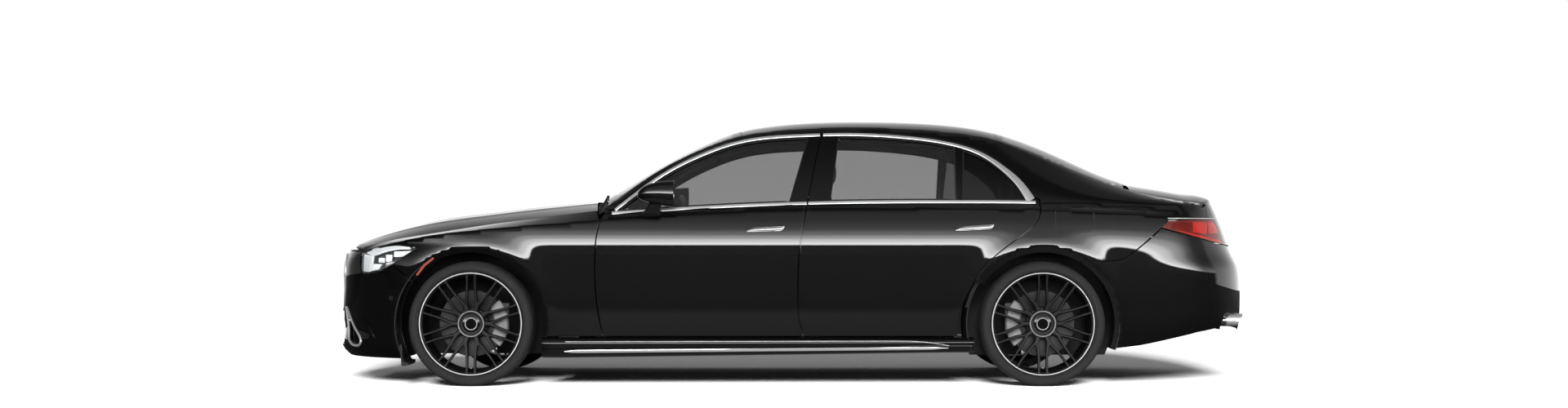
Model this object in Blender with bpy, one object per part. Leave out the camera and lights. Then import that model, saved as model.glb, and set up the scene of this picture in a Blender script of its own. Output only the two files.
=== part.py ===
# Long wheelbase luxury sedan, metres, front towards -X, car's left side towards -Y, +Z up.
# The origin is on the ground under the middle of the car.
import math

import bmesh
import bpy
import numpy as np
from mathutils import Matrix, Vector

# Main sizes
FRONT_AXLE_X = -1.797
REAR_AXLE_X = 1.419
HUB_Z = 0.351
TYRE_RADIUS = 0.351
TYRE_HALF_WIDTH = 0.128
WHEEL_Y = 0.815
RIM_RADIUS = 0.2905
RIM_GAP = 0.0004
WIDEST = 0.958
ARCH_RADIUS = 0.402
LINER_RADIUS = 0.446
LINER_THICK = 0.012
FRONT_PLAN_X = -1.60
REAR_PLAN_X = 1.50
FRONT_POWER = 2.5
REAR_POWER = 3.0
SHUT_GAP = 0.006
PANEL = 0.018
DOOR_THICK = 0.105
FRAME_THICK = 0.028
PANE_DEPTH = 0.008
PANE_THICK = 0.005
TOUCH = 0.0003
MIRROR_GAP = 0.0012
DOOR_BOTTOM = 0.284
SILL_TOP = 0.385
SHUT_DRAFT = 0.22
FRAME_DRAFT = 0.36

# Doors, lids and steering
HINGE_Y = 0.9585
FRONT_HINGE_X = -1.0975
REAR_HINGE_X = 0.0405
DOOR_HINGE_Z = 0.600
HOOD_HINGE = (-1.088, 0.0, 1.064)
BOOT_HINGE = (1.953, 0.0, 1.162)
WHEEL_AXIS_TILT = math.radians(24)
STEER_CENTRE = (-0.560, -0.375, 0.905)

SIDES = (("left", -1.0), ("right", 1.0))


def spline(points):
    """Smooth curve through the points, with natural ends carried on straight."""
    xs = np.array([p[0] for p in points], float)
    ys = np.array([p[1] for p in points], float)
    n = len(xs)
    h = np.diff(xs)
    grid = np.zeros((n, n))
    right = np.zeros(n)
    grid[0, 0] = grid[-1, -1] = 1.0
    for i in range(1, n - 1):
        grid[i, i - 1] = h[i - 1]
        grid[i, i] = 2 * (h[i - 1] + h[i])
        grid[i, i + 1] = h[i]
        right[i] = 6 * ((ys[i + 1] - ys[i]) / h[i] - (ys[i] - ys[i - 1]) / h[i - 1])
    curve = np.linalg.solve(grid, right)

    def value(x):
        x = np.asarray(x, float)
        k = np.clip(np.searchsorted(xs, x) - 1, 0, n - 2)
        inside = np.clip(x, xs[0], xs[-1])
        a = (xs[k + 1] - inside) / h[k]
        b = (inside - xs[k]) / h[k]
        body = a * ys[k] + b * ys[k + 1]
        body = body + ((a ** 3 - a) * curve[k] + (b ** 3 - b) * curve[k + 1]) * h[k] ** 2 / 6
        first = (ys[1] - ys[0]) / h[0] - h[0] * curve[1] / 6
        last = (ys[-1] - ys[-2]) / h[-1] + h[-1] * curve[-2] / 6
        return body + np.minimum(x - xs[0], 0) * first + np.maximum(x - xs[-1], 0) * last

    return value


# Height to distance along the car
NOSE = spline([(0.14, -2.600), (0.18, -2.645), (0.28, -2.655), (0.45, -2.651), (0.60, -2.655),
               (0.70, -2.647), (0.75, -2.622), (0.79, -2.585)])
TAIL = spline([(0.20, 2.600), (0.30, 2.642), (0.43, 2.655), (0.60, 2.653), (0.67, 2.640),
               (0.73, 2.610), (0.81, 2.577), (0.87, 2.556), (0.93, 2.532), (1.00, 2.503),
               (1.05, 2.479)])
SHUT_FRONT = spline([(0.284, -1.052), (0.385, -1.074), (0.522, -1.093), (0.66, -1.097),
                     (0.797, -1.093), (0.898, -1.078), (0.957, -1.058), (1.03, -1.018)])
SHUT_MID = spline([(0.284, 0.073), (0.362, 0.052), (0.477, 0.042), (0.614, 0.042),
                   (0.843, 0.061), (1.036, 0.097), (1.262, 0.141), (1.429, 0.179)])
SHUT_REAR = spline([(0.284, 0.940), (0.36, 0.943), (0.44, 0.958), (0.52, 0.993), (0.60, 1.036),
                    (0.68, 1.092), (0.75, 1.165), (0.81, 1.243), (0.865, 1.318), (0.92, 1.376),
                    (0.97, 1.401), (1.03, 1.409)])
# Height to the inward drop of the side from its widest line
DROP = spline([(0.14, 0.056), (0.20, 0.042), (0.28, 0.030), (0.45, 0.013), (0.62, 0.004),
               (0.80, 0.0), (0.88, 0.006), (0.95, 0.019), (1.00, 0.034), (1.05, 0.060)])
# Distance along the car to heights and half widths
CREASE_Z = spline([(-2.46, 0.748), (-2.356, 0.781), (-2.256, 0.804), (-2.157, 0.824),
                   (-2.01, 0.850), (-1.87, 0.867),
                   (-1.50, 0.900), (-1.05, 0.932), (-0.77, 0.952), (-0.31, 0.974),
                   (0.15, 0.990), (0.61, 0.997), (1.07, 0.999), (1.53, 0.990), (2.00, 0.968),
                   (2.30, 0.945), (2.55, 0.925)])
BELT_Z = spline([(-1.06, 0.966), (-0.54, 0.999), (-0.31, 1.011), (0.15, 1.027), (0.61, 1.034),
                 (1.07, 1.034), (1.39, 1.031), (1.70, 1.018), (2.05, 0.996), (2.45, 0.965)])
DOOR_TOP = spline([(-1.03, 0.969), (-0.96, 1.027), (-0.871, 1.099), (-0.78, 1.168),
                   (-0.643, 1.253), (-0.504, 1.320), (-0.318, 1.387), (-0.13, 1.420),
                   (0.058, 1.432), (0.34, 1.439), (0.621, 1.425), (0.81, 1.404),
                   (0.997, 1.363), (1.134, 1.305), (1.246, 1.224), (1.334, 1.135),
                   (1.392, 1.045)])
RAIL_Z = spline([(-1.10, 0.985), (-1.0, 1.040), (-0.87, 1.132), (-0.69, 1.248),
                 (-0.505, 1.339), (-0.32, 1.406), (-0.13, 1.441), (0.06, 1.458),
                 (0.34, 1.467), (0.62, 1.461), (0.81, 1.448), (1.0, 1.428), (1.186, 1.392),
                 (1.28, 1.359), (1.47, 1.279), (1.66, 1.196), (1.85, 1.129), (2.03, 1.083),
                 (2.22, 1.046), (2.31, 1.033), (2.50, 1.010)])
RAIL_Y = spline([(-1.10, 0.840), (-1.0, 0.826), (-0.69, 0.741), (-0.32, 0.646), (0.06, 0.604),
                 (0.34, 0.597), (0.81, 0.594), (1.186, 0.592), (1.47, 0.606), (1.66, 0.622),
                 (1.85, 0.640), (2.03, 0.655), (2.22, 0.652), (2.50, 0.620)])
CENTRE_Z = spline([(-1.10, 1.062), (-0.92, 1.170), (-0.725, 1.283), (-0.527, 1.381),
                   (-0.33, 1.460), (-0.135, 1.499), (0.06, 1.518), (0.45, 1.5275),
                   (0.85, 1.514), (1.045, 1.494), (1.24, 1.453), (1.44, 1.386),
                   (1.635, 1.302), (1.83, 1.214), (1.94, 1.172)])
DECK_Z = spline([(1.90, 1.172), (2.03, 1.149), (2.22, 1.118), (2.32, 1.102), (2.42, 1.090),
                 (2.464, 1.076)])
HOOD_Z = spline([(-2.60, 0.778), (-2.54, 0.811), (-2.44, 0.852), (-2.25, 0.909),
                 (-2.05, 0.954), (-1.75, 0.994), (-1.56, 1.017), (-1.36, 1.037),
                 (-1.10, 1.060)])
HOOD_EDGE_Y = spline([(-2.50, 0.590), (-2.30, 0.640), (-2.0, 0.690), (-1.7, 0.735),
                      (-1.4, 0.775), (-1.08, 0.818)])
HOOD_EDGE_Z = spline([(-2.50, 0.768), (-2.30, 0.818), (-2.0, 0.872), (-1.7, 0.914),
                      (-1.4, 0.951), (-1.08, 0.990)])


def plan_scale(x, z):
    """Share of the full half width that is left towards the nose and the tail."""
    nose, tail = NOSE(np.minimum(z, 0.80)), TAIL(z)
    front = np.clip((FRONT_PLAN_X - x) / (FRONT_PLAN_X - nose), 0, 1)
    back = np.clip((x - REAR_PLAN_X) / (tail - REAR_PLAN_X), 0, 1)
    shape = (1 - front ** FRONT_POWER) ** (1 / FRONT_POWER)
    return shape * (1 - back ** REAR_POWER) ** (1 / REAR_POWER)


def low_side(x, z):
    return plan_scale(x, z) * (WIDEST - DROP(z))


def glass_side(x, z):
    d = z - 1.03
    middle = x - 0.1
    base = 0.885 - np.where(middle < 0, 0.016, 0.028) * (middle / 1.1) ** 2
    plain = base - 0.50 * d - 0.355 * d * d
    top = RAIL_Z(x)
    dt = top - 1.03
    at_top = base - 0.50 * dt - 0.355 * dt * dt
    share = np.clip(d / np.maximum(dt, 0.02), 0, 1)
    return plain - (at_top - RAIL_Y(x)) * share ** 2


def side_y(x, z):
    """Half width of the painted and glazed side at a place along the car and a height."""
    x, z = np.asarray(x, float), np.asarray(z, float)
    zc, zb = CREASE_Z(x), BELT_Z(x)
    low = low_side(x, np.minimum(z, zc))
    high = glass_side(x, np.maximum(z, zb))
    share = np.clip((z - zc) / np.maximum(zb - zc, 0.005), 0, 1)
    return np.where(z <= zc, low, np.where(z >= zb, high, low * (1 - share) + high * share))


def top_z(x, y):
    """Height of the screen, roof and rear window."""
    centre, rail = CENTRE_Z(x), RAIL_Z(x)
    return centre - (centre - rail) * np.abs(y / RAIL_Y(x)) ** 2.3


def hood_z(x, y):
    centre, edge = HOOD_Z(x), HOOD_EDGE_Z(x)
    return centre - (centre - edge) * np.abs(y / HOOD_EDGE_Y(x)) ** 2.2


def deck_z(x, y):
    centre, edge = DECK_Z(x), RAIL_Z(x)
    return centre - (centre - edge) * np.abs(y / RAIL_Y(x)) ** 2.3


# Materials
def material(name, color, roughness, metallic=0.0, alpha=1.0):
    mat = bpy.data.materials.new(name)
    mat.use_nodes = True
    shader = mat.node_tree.nodes["Principled BSDF"]
    shader.inputs["Base Color"].default_value = (*color, 1.0)
    shader.inputs["Roughness"].default_value = roughness
    shader.inputs["Metallic"].default_value = metallic
    shader.inputs["Alpha"].default_value = alpha
    mat.diffuse_color = (*color, alpha)
    return mat


for old in list(bpy.data.objects):
    bpy.data.objects.remove(old, do_unlink=True)
car = bpy.data.collections.new("luxury_sedan")
bpy.context.scene.collection.children.link(car)
cutters = bpy.data.collections.new("cutters")
bpy.context.scene.collection.children.link(cutters)

PAINT = material("black_paint", (0.012, 0.012, 0.014), 0.16, 0.2)
TRIM = material("black_trim", (0.02, 0.02, 0.02), 0.45)
GLASS = material("tinted_glass", (0.10, 0.11, 0.11), 0.05, 0.0, 0.4)
LAMP = material("lamp_glass", (0.55, 0.57, 0.60), 0.08, 0.1, 0.6)
RED_LAMP = material("red_lamp", (0.45, 0.02, 0.02), 0.12)
CHROME = material("chrome", (0.85, 0.85, 0.86), 0.08, 1.0)
RUBBER = material("tyre_rubber", (0.018, 0.018, 0.018), 0.8)
RIM = material("rim_paint", (0.03, 0.03, 0.032), 0.35, 0.5)
LEATHER = material("leather", (0.05, 0.045, 0.04), 0.6)
CABIN = material("cabin_trim", (0.03, 0.03, 0.03), 0.7)
STEEL = material("steel", (0.30, 0.30, 0.31), 0.5, 0.9)
UNDER = material("underbody", (0.04, 0.04, 0.04), 0.75)


def finish(name, bm, mat, collection=car):
    bmesh.ops.recalc_face_normals(bm, faces=bm.faces)
    mesh = bpy.data.meshes.new(name)
    bm.to_mesh(mesh)
    bm.free()
    ob = bpy.data.objects.new(name, mesh)
    if mat:
        mesh.materials.append(mat)
    collection.objects.link(ob)
    if collection is cutters:
        ob.hide_render = True
        ob.display_type = "WIRE"
    return ob


def shell(name, outer, inner, mat, collection=car):
    """Closed solid between two grids of points of one size."""
    outer, inner = np.asarray(outer), np.asarray(inner)
    rows, cols = outer.shape[:2]
    bm = bmesh.new()
    a = [[bm.verts.new(p) for p in row] for row in outer]
    b = [[bm.verts.new(p) for p in row] for row in inner]
    for i in range(rows - 1):
        for j in range(cols - 1):
            bm.faces.new((a[i][j], a[i][j + 1], a[i + 1][j + 1], a[i + 1][j]))
            bm.faces.new((b[i][j], b[i + 1][j], b[i + 1][j + 1], b[i][j + 1]))
    for i in range(rows - 1):
        bm.faces.new((a[i][0], a[i + 1][0], b[i + 1][0], b[i][0]))
        bm.faces.new((a[i][-1], b[i][-1], b[i + 1][-1], a[i + 1][-1]))
    for j in range(cols - 1):
        bm.faces.new((a[0][j], b[0][j], b[0][j + 1], a[0][j + 1]))
        bm.faces.new((a[-1][j], a[-1][j + 1], b[-1][j + 1], b[-1][j]))
    return finish(name, bm, mat, collection)


def box(name, low, high, mat, collection=car):
    bm = bmesh.new()
    bmesh.ops.create_cube(bm, size=1.0)
    size = [h - l for l, h in zip(low, high)]
    middle = [(h + l) / 2 for l, h in zip(low, high)]
    bmesh.ops.scale(bm, vec=size, verts=bm.verts)
    bmesh.ops.translate(bm, vec=middle, verts=bm.verts)
    return finish(name, bm, mat, collection)


def rod(name, start, end, radius, mat, segments=16, collection=car):
    start, end = Vector(start), Vector(end)
    line = end - start
    bm = bmesh.new()
    bmesh.ops.create_cone(bm, cap_ends=True, segments=segments, radius1=radius, radius2=radius,
                          depth=line.length)
    turn = Vector((0, 0, 1)).rotation_difference(line).to_matrix().to_4x4()
    bmesh.ops.transform(bm, matrix=Matrix.Translation((start + end) / 2) @ turn, verts=bm.verts)
    return finish(name, bm, mat, collection)


def lathe(name, profile, centre, mat, segments=40, collection=car):
    """Closed ring turned about a line along Y; the profile holds (radius, y) pairs."""
    bm = bmesh.new()
    rings = []
    for k in range(segments):
        turn = 2 * math.pi * k / segments
        rings.append([bm.verts.new((centre[0] + r * math.cos(turn), centre[1] + y,
                                    centre[2] + r * math.sin(turn))) for r, y in profile])
    count = len(profile)
    for k in range(segments):
        one, two = rings[k], rings[(k + 1) % segments]
        for i in range(count):
            j = (i + 1) % count
            bm.faces.new((one[i], one[j], two[j], two[i]))
    return finish(name, bm, mat, collection)


def prism(name, outline, y0, y1, collection=cutters):
    """Solid with an outline in X and Z, from one Y to another."""
    bm = bmesh.new()
    near = [bm.verts.new((x, y0, z)) for x, z in outline]
    far = [bm.verts.new((x, y1, z)) for x, z in outline]
    bm.faces.new(near)
    bm.faces.new(list(reversed(far)))
    for i in range(len(near)):
        j = (i + 1) % len(near)
        bm.faces.new((near[j], near[i], far[i], far[j]))
    return finish(name, bm, None, collection)


def combine(ob, others, operation):
    """Applies EXACT Booleans one by one and removes the parts used up by a union."""
    for other in others:
        mod = ob.modifiers.new(operation.lower(), "BOOLEAN")
        mod.operation = operation
        mod.solver = "EXACT"
        mod.object = other
        depsgraph = bpy.context.evaluated_depsgraph_get()
        mesh = bpy.data.meshes.new_from_object(ob.evaluated_get(depsgraph))
        ob.modifiers.clear()
        old = ob.data
        ob.data = mesh
        mesh.name = ob.name
        bpy.data.meshes.remove(old)
        bpy.data.objects.remove(other, do_unlink=True)
    return ob


def join(ob, *others):
    return combine(ob, others, "UNION")


def cut(ob, *others):
    return combine(ob, others, "DIFFERENCE")


def offset_line(points, distance):
    """Line moved square to itself, to the right of its direction for a positive distance."""
    pts = np.array(points, float)
    step = np.gradient(pts, axis=0)
    step /= np.linalg.norm(step, axis=1)[:, None]
    return pts + distance * np.stack([step[:, 1], -step[:, 0]], axis=1)


def side_patch(side, x, z, depth):
    """Outer and inner points of a side panel from grids of x, z and depth."""
    y = side_y(x, z)
    return (np.stack([x, side * y, z], -1), np.stack([x, side * (y - depth), z], -1))


# Doors
LOW_LEVELS = (0.0, 0.20, 0.34, 0.48, 0.61, 0.74, 0.86, 0.94, 1.0)
FRONT_COLUMNS = (0, 0.02, 0.05, 0.11, 0.20, 0.32, 0.46, 0.64, 0.82, 1)
REAR_COLUMNS = tuple(1 - u for u in FRONT_COLUMNS[::-1])


def door_grid(x_front, x_rear, gap_front, gap_rear, shares, draft_front, draft_rear):
    """x, z, depth and the inner shift for a door: body part, shoulder and window frame."""
    u = np.array(shares, float)
    columns = len(u)
    xs, zs, depths = [], [], []

    def row(z_of_x, depth):
        x = np.zeros(columns)
        z = np.full(columns, 0.7)
        for _ in range(12):
            xf = x_front(z[0]) + gap_front
            xr = x_rear(z[-1]) - gap_rear
            x = xf + (xr - xf) * u
            z = z_of_x(x)
        xs.append(x)
        zs.append(z)
        depths.append(np.full(columns, depth))

    for share in LOW_LEVELS:
        row(lambda x, s=share: DOOR_BOTTOM + (CREASE_Z(x) - DOOR_BOTTOM) * s, DOOR_THICK)
    row(lambda x: BELT_Z(x) - 0.002, DOOR_THICK - 0.02)
    row(lambda x: BELT_Z(x) + 0.008, FRAME_THICK)
    for share in (0.35, 0.70, 1.0):
        row(lambda x, s=share: BELT_Z(x) + 0.008
            + (np.maximum(DOOR_TOP(x), BELT_Z(x) + 0.020) - BELT_Z(x) - 0.008) * s, FRAME_THICK)
    x, z, depth = np.array(xs), np.array(zs), np.array(depths)
    slope = np.where(depth > 0.05, SHUT_DRAFT, FRAME_DRAFT)
    near_ends = draft_front * np.clip(1 - u / 0.15, 0, 1) + draft_rear * np.clip(
        1 - (1 - u) / 0.15, 0, 1)
    shift = -slope * depth * near_ends
    return x, z, depth, shift


def door(name, side, grid):
    x, z, depth, shift = grid
    outer, inner = side_patch(side, x, z, depth)
    inner[:, :, 0] += shift
    return shell(name, outer, inner, PAINT)


def window_outline(x0, x1, rise, inset, count, end_front=None, end_rear=None):
    """Outline of a window: belt line below, door's top edge above, straight posts."""
    xs = np.linspace(-1.03, 1.398, 160)
    top = offset_line(np.stack([xs, DOOR_TOP(xs)], 1), inset)
    tx, tz = top[:, 0], top[:, 1]
    low = BELT_Z(tx) + rise
    keep = tz > low + 0.012
    tx, tz = tx[keep], tz[keep]

    def limits(z):
        lo = end_front(z) if end_front else tx.min()
        hi = end_rear(z) if end_rear else tx.max()
        return lo, hi

    ok = np.array([limits(zz)[0] <= xx <= limits(zz)[1] for xx, zz in zip(tx, tz)])
    tx, tz = tx[ok], tz[ok]
    pick = np.unique(np.linspace(0, len(tx) - 1, count).round().astype(int))
    upper = [(float(tx[i]), float(tz[i])) for i in pick]
    first = end_front(BELT_Z(x0) + rise) if end_front else upper[0][0]
    last = end_rear(BELT_Z(x1) + rise) if end_rear else upper[-1][0]
    lower = [(float(xx), float(BELT_Z(xx) + rise)) for xx in np.linspace(first, last, 4)]
    return lower + upper[::-1]


def shrink(outline, distance):
    """Outline moved inwards by a small distance."""
    pts = np.array(outline)
    count = len(pts)
    area = sum(pts[i][0] * pts[(i + 1) % count][1] - pts[(i + 1) % count][0] * pts[i][1]
               for i in range(count))
    turn = 1.0 if area > 0 else -1.0
    out = []
    for i in range(count):
        before, here, after = pts[i - 1], pts[i], pts[(i + 1) % count]
        a = (here - before) / np.linalg.norm(here - before)
        b = (after - here) / np.linalg.norm(after - here)
        na, nb = np.array([-a[1], a[0]]) * turn, np.array([-b[1], b[0]]) * turn
        mid = (na + nb) / max(np.linalg.norm(na + nb), 0.2)
        out.append(tuple(here + mid * distance / max(float(np.dot(mid, na)), 0.3)))
    return out


def pane(name, side, outline):
    """Side window: a curved pane cut to its outline."""
    pts = np.array(outline)
    xs = np.linspace(pts[:, 0].min() - 0.02, pts[:, 0].max() + 0.02, 5)
    zs = np.linspace(pts[:, 1].min() - 0.02, pts[:, 1].max() + 0.02, 4)
    x, z = np.meshgrid(xs, zs)
    y = glass_side(x, z)
    outer = np.stack([x, side * (y - PANE_DEPTH), z], -1)
    inner = np.stack([x, side * (y - PANE_DEPTH - PANE_THICK), z], -1)
    glass = shell(name, outer, inner, GLASS)
    return combine(glass, [prism(name + "_cut", outline, side * 0.3, side * 1.2)], "INTERSECT")


def post_a(z):
    return SHUT_MID(z) - 0.100 + (z - 1.036) * 0.10


def post_b(z):
    return SHUT_MID(z) + 0.122 - (z - 1.036) * 0.11


def bar_front(z):
    return 0.939 + (z - 1.03) * 0.035


def bar_rear(z):
    return 0.967 + (z - 1.03) * 0.035


WINDOWS = {
    "front": [("door_glass_front", window_outline(-0.9, 0.0, 0.016, 0.022, 12, None, post_a))],
    "rear": [("door_glass_rear", window_outline(0.2, 0.94, 0.016, 0.022, 9, post_b, bar_front)),
             ("quarter_glass", window_outline(0.97, 1.3, 0.016, 0.026, 9, bar_rear, None))],
}

for side_name, side in SIDES:
    grids = {
        "front": door_grid(SHUT_FRONT, SHUT_MID, SHUT_GAP / 2, SHUT_GAP / 2, FRONT_COLUMNS,
                           0.0, 1.0),
        "rear": door_grid(SHUT_MID, SHUT_REAR, SHUT_GAP / 2, SHUT_GAP / 2, REAR_COLUMNS,
                          1.0, 1.0),
    }
    for place, grid in grids.items():
        leaf = door("door_%s_%s" % (place, side_name), side, grid)
        for glass_name, outline in WINDOWS[place]:
            cut(leaf, prism("window", outline, side * 0.3, side * 1.2))
            pane("%s_%s" % (glass_name, side_name), side, shrink(outline, TOUCH))

# Door mirrors
for side_name, side in SIDES:
    bm = bmesh.new()
    bmesh.ops.create_uvsphere(bm, u_segments=14, v_segments=8, radius=1.0)
    for v in bm.verts:
        x, y, z = v.co
        tail = 0.5 + 0.5 * x
        v.co = (-0.745 + 0.112 * x, side * (1.004 + 0.064 * y), 1.082 + z * (0.052 + 0.022 * tail))
        v.co.x = min(v.co.x, -0.655)
    head = finish("mirror_" + side_name, bm, PAINT)
    bmesh_fix = bmesh.new()
    bmesh_fix.from_mesh(head.data)
    bmesh.ops.remove_doubles(bmesh_fix, verts=bmesh_fix.verts, dist=0.0001)
    bmesh_fix.to_mesh(head.data)
    bmesh_fix.free()
    fx, fz = np.meshgrid(np.linspace(-0.795, -0.695, 4), np.linspace(0.955, 0.978, 4))
    close = side_y(fx, fz) + MIRROR_GAP
    foot = shell("foot", np.stack([fx, side * np.full_like(fx, 1.02), fz], -1),
                 np.stack([fx, side * close, fz], -1), PAINT)
    stalk = box("stalk", (-0.785, min(side * 0.970, side * 1.016), 0.966),
                (-0.705, max(side * 0.970, side * 1.016), 1.060), PAINT)
    join(head, stalk, foot)


# Front end outlines, x and z
LAMP_LOW = [(-2.4576, 0.640), (-2.434, 0.630), (-2.333, 0.645), (-2.256, 0.682),
            (-2.185, 0.729), (-2.106, 0.777)]
LAMP_HIGH = [(-2.150, 0.789), (-2.235, 0.797), (-2.310, 0.788), (-2.380, 0.770),
             (-2.4576, 0.743)]
HEADLAMP = LAMP_LOW + LAMP_HIGH
NOSE_ZONE = [(-2.75, 0.02), (-2.00, 0.02), (-2.00, 0.589), (-2.12, 0.589), (-2.253, 0.6815),
             (-2.187, 0.7255), (-2.101, 0.7775), (-2.150, 0.792), (-2.235, 0.800),
             (-2.310, 0.791), (-2.380, 0.773), (-2.4606, 0.746), (-2.4620, 0.90), (-2.75, 0.90)]
FENDER_ZONE = [(-2.00, 0.585), (-2.122, 0.585), (-2.2575, 0.679), (-2.333, 0.642),
               (-2.436, 0.627), (-2.4606, 0.638), (-2.4606, 0.95), (-2.00, 0.95)]


def arch(x, radius=ARCH_RADIUS):
    """Cutter for a wheel arch on both sides."""
    return rod("arch", (x, -1.3, HUB_Z), (x, 1.3, HUB_Z), radius, None, 40, cutters)


def trim_zone(side, outline):
    return prism("zone", outline, side * 0.20, side * 1.30)


def front_point(angle, z):
    """Place on the front end's plan curve: angle 0 at the side, a quarter turn at the nose."""
    share = np.sin(angle) ** (2 / FRONT_POWER)
    x = FRONT_PLAN_X - (FRONT_PLAN_X - NOSE(z)) * share
    y = (WIDEST - DROP(z)) * np.cos(angle) ** (2 / FRONT_POWER)
    return x, y


def rear_point(angle, z):
    share = np.sin(angle) ** (2 / REAR_POWER)
    x = REAR_PLAN_X + (TAIL(z) - REAR_PLAN_X) * share
    y = (WIDEST - DROP(z)) * np.cos(angle) ** (2 / REAR_POWER)
    return x, y


def wrap(point, angles, low, high, rows, depth, name, mat):
    """Shell round the front or the rear, from the left side to the right side."""
    columns = [(a, -1.0) for a in angles] + [(a, 1.0) for a in angles[::-1] if a < 1.5707]
    outer = np.zeros((rows, len(columns), 3))
    inner = np.zeros((rows, len(columns), 3))
    for j, (angle, side) in enumerate(columns):
        angle = min(angle, 1.5707963)
        ends = (low(angle), high(angle))
        for i, share in enumerate(np.linspace(0, 1, rows)):
            z = ends[0] + (ends[1] - ends[0]) * share
            x, y = point(angle, z)
            xa, ya = point(max(angle - 0.02, 0.001), z)
            xb, yb = point(min(angle + 0.02, 1.5707963), z)
            length = math.hypot(xb - xa, yb - ya)
            ahead = 1.0 if point is front_point else -1.0
            nx, ny = ahead * abs(yb - ya) / length, -abs(xb - xa) / length
            outer[i, j] = (x, side * y, z)
            inner[i, j] = (x + nx * depth, side * (y + ny * depth), z)
    return shell(name, outer, inner, mat)


# Fenders
def fender(side):
    xs = np.concatenate([np.linspace(0, 0.25, 5), np.linspace(0.35, 1.0, 8)])
    outer, inner = [], []
    for share in (0.0, 0.22, 0.42, 0.60, 0.76, 0.90, 1.0):
        x = -2.455 + (SHUT_FRONT(DOOR_BOTTOM + 0.65 * share) - SHUT_GAP / 2 + 2.455) * xs
        for _ in range(4):
            z = DOOR_BOTTOM + (CREASE_Z(x) - DOOR_BOTTOM) * share
            end = SHUT_FRONT(z[-1]) - SHUT_GAP / 2
            x = -2.455 + (end + 2.455) * xs
        y = side_y(x, z)
        roll = 0.6 if share == 1.0 else 0.0
        outer.append(np.stack([x, side * y, z], -1))
        inner.append(np.stack([x, side * (y - PANEL), z - PANEL * roll], -1))
    crease = outer[-1]
    for share in (0.5, 1.0):
        x = crease[:, 0] + (np.minimum(crease[:, 0], -1.10) - crease[:, 0]) * share
        yh = HOOD_EDGE_Y(x) + SHUT_GAP / 2
        zh = HOOD_EDGE_Z(x)
        ys, zs = np.abs(crease[:, 1]), crease[:, 2]
        y = ys + (yh - ys) * share
        z = zs + (zh - zs) * share + 0.010 * share * (1 - share) * 4 * (ys - yh)
        outer.append(np.stack([x, side * y, z], -1))
        inner.append(np.stack([x, side * (y - PANEL * 0.3), z - PANEL], -1))
    ob = shell("fender_" + ("left" if side < 0 else "right"), outer, inner, PAINT)
    cut(ob, arch(FRONT_AXLE_X), trim_zone(side, NOSE_ZONE))
    return ob


for side_name, side in SIDES:
    fender(side)

# Front bumper, with the openings of the grille and of the lower intakes
def bumper_top(angle):
    x = float(front_point(angle, 0.76)[0])
    return float(min(CREASE_Z(max(x, -2.46)) - 0.002, 0.765)) if x > -2.46 else 0.748 + 0.016 * (
        (angle - 0.95) / 0.62)


FRONT_ANGLES = [0.33, 0.42, 0.52, 0.63, 0.75, 0.88, 1.03, 1.20, 1.38, 1.5708]
bumper = wrap(front_point, FRONT_ANGLES, lambda a: 0.150, bumper_top, 8, PANEL,
              "front_bumper", PAINT)
for side_name, side in SIDES:
    cut(bumper, trim_zone(side, FENDER_ZONE))
cut(bumper, arch(FRONT_AXLE_X))
GRILLE_LOW = 0.410
GRILLE_HIGH = 0.735


def ring_cut(outline):
    """Cutter along X through the nose from an outline in Y and Z."""
    bm = bmesh.new()
    near = [bm.verts.new((-2.75, y, z)) for y, z in outline]
    far = [bm.verts.new((-2.30, y, z)) for y, z in outline]
    bm.faces.new(near)
    bm.faces.new(list(reversed(far)))
    for i in range(len(near)):
        j = (i + 1) % len(near)
        bm.faces.new((near[j], near[i], far[i], far[j]))
    return finish("opening", bm, None, cutters)


def mirror_outline(points):
    return points + [(-y, z) for y, z in reversed(points)]


GRILLE_OUTLINE = mirror_outline([(-0.30, GRILLE_LOW), (-0.37, 0.430), (-0.425, 0.520),
                                 (-0.450, 0.640), (-0.430, 0.715), (-0.385, GRILLE_HIGH)])
cut(bumper, ring_cut(GRILLE_OUTLINE))
cut(bumper, ring_cut(mirror_outline([(-0.46, 0.215), (-0.48, 0.28), (-0.42, 0.345)])))
for side_name, side in SIDES:
    cut(bumper, ring_cut([(side * 0.56, 0.235), (side * 0.72, 0.250), (side * 0.745, 0.36),
                          (side * 0.58, 0.365)]))

# Grille: frame, upright bars and mesh plates behind the lower openings
def nose_x(y, z):
    half = WIDEST - DROP(z)
    return FRONT_PLAN_X - (FRONT_PLAN_X - NOSE(z)) * (
        1 - (np.abs(y) / half) ** FRONT_POWER) ** (1 / FRONT_POWER)


def nose_plate(name, y0, y1, z0, z1, back, thick, mat, columns=15):
    y, z = np.meshgrid(np.linspace(y0, y1, columns), np.linspace(z0, z1, 4))
    x = nose_x(y, z) + back
    return shell(name, np.stack([x, y, z], -1), np.stack([x + thick, y, z], -1), mat)


grille = nose_plate("grille", -0.465, 0.465, GRILLE_LOW - 0.025, GRILLE_HIGH,
                    PANEL + 0.013, 0.012, CHROME)
count = 15
for k in range(count):
    y = -0.35 + 0.70 * k / (count - 1)
    low = GRILLE_LOW + 0.012 + (0.02 if abs(y) > 0.30 else 0.0)
    high = GRILLE_HIGH - 0.014 - (0.01 if abs(y) > 0.36 else 0.0)
    zz = np.array([low, (low + high) / 2, high])
    front = [[(float(nose_x(y, z)) + 0.004, y + dy, z) for dy in (-0.006, 0.006)] for z in zz]
    back = [[(float(nose_x(y, z)) + PANEL + 0.016, y + dy, z) for dy in (-0.006, 0.006)]
            for z in zz]
    join(grille, shell("bar", front, back, CHROME))

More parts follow.
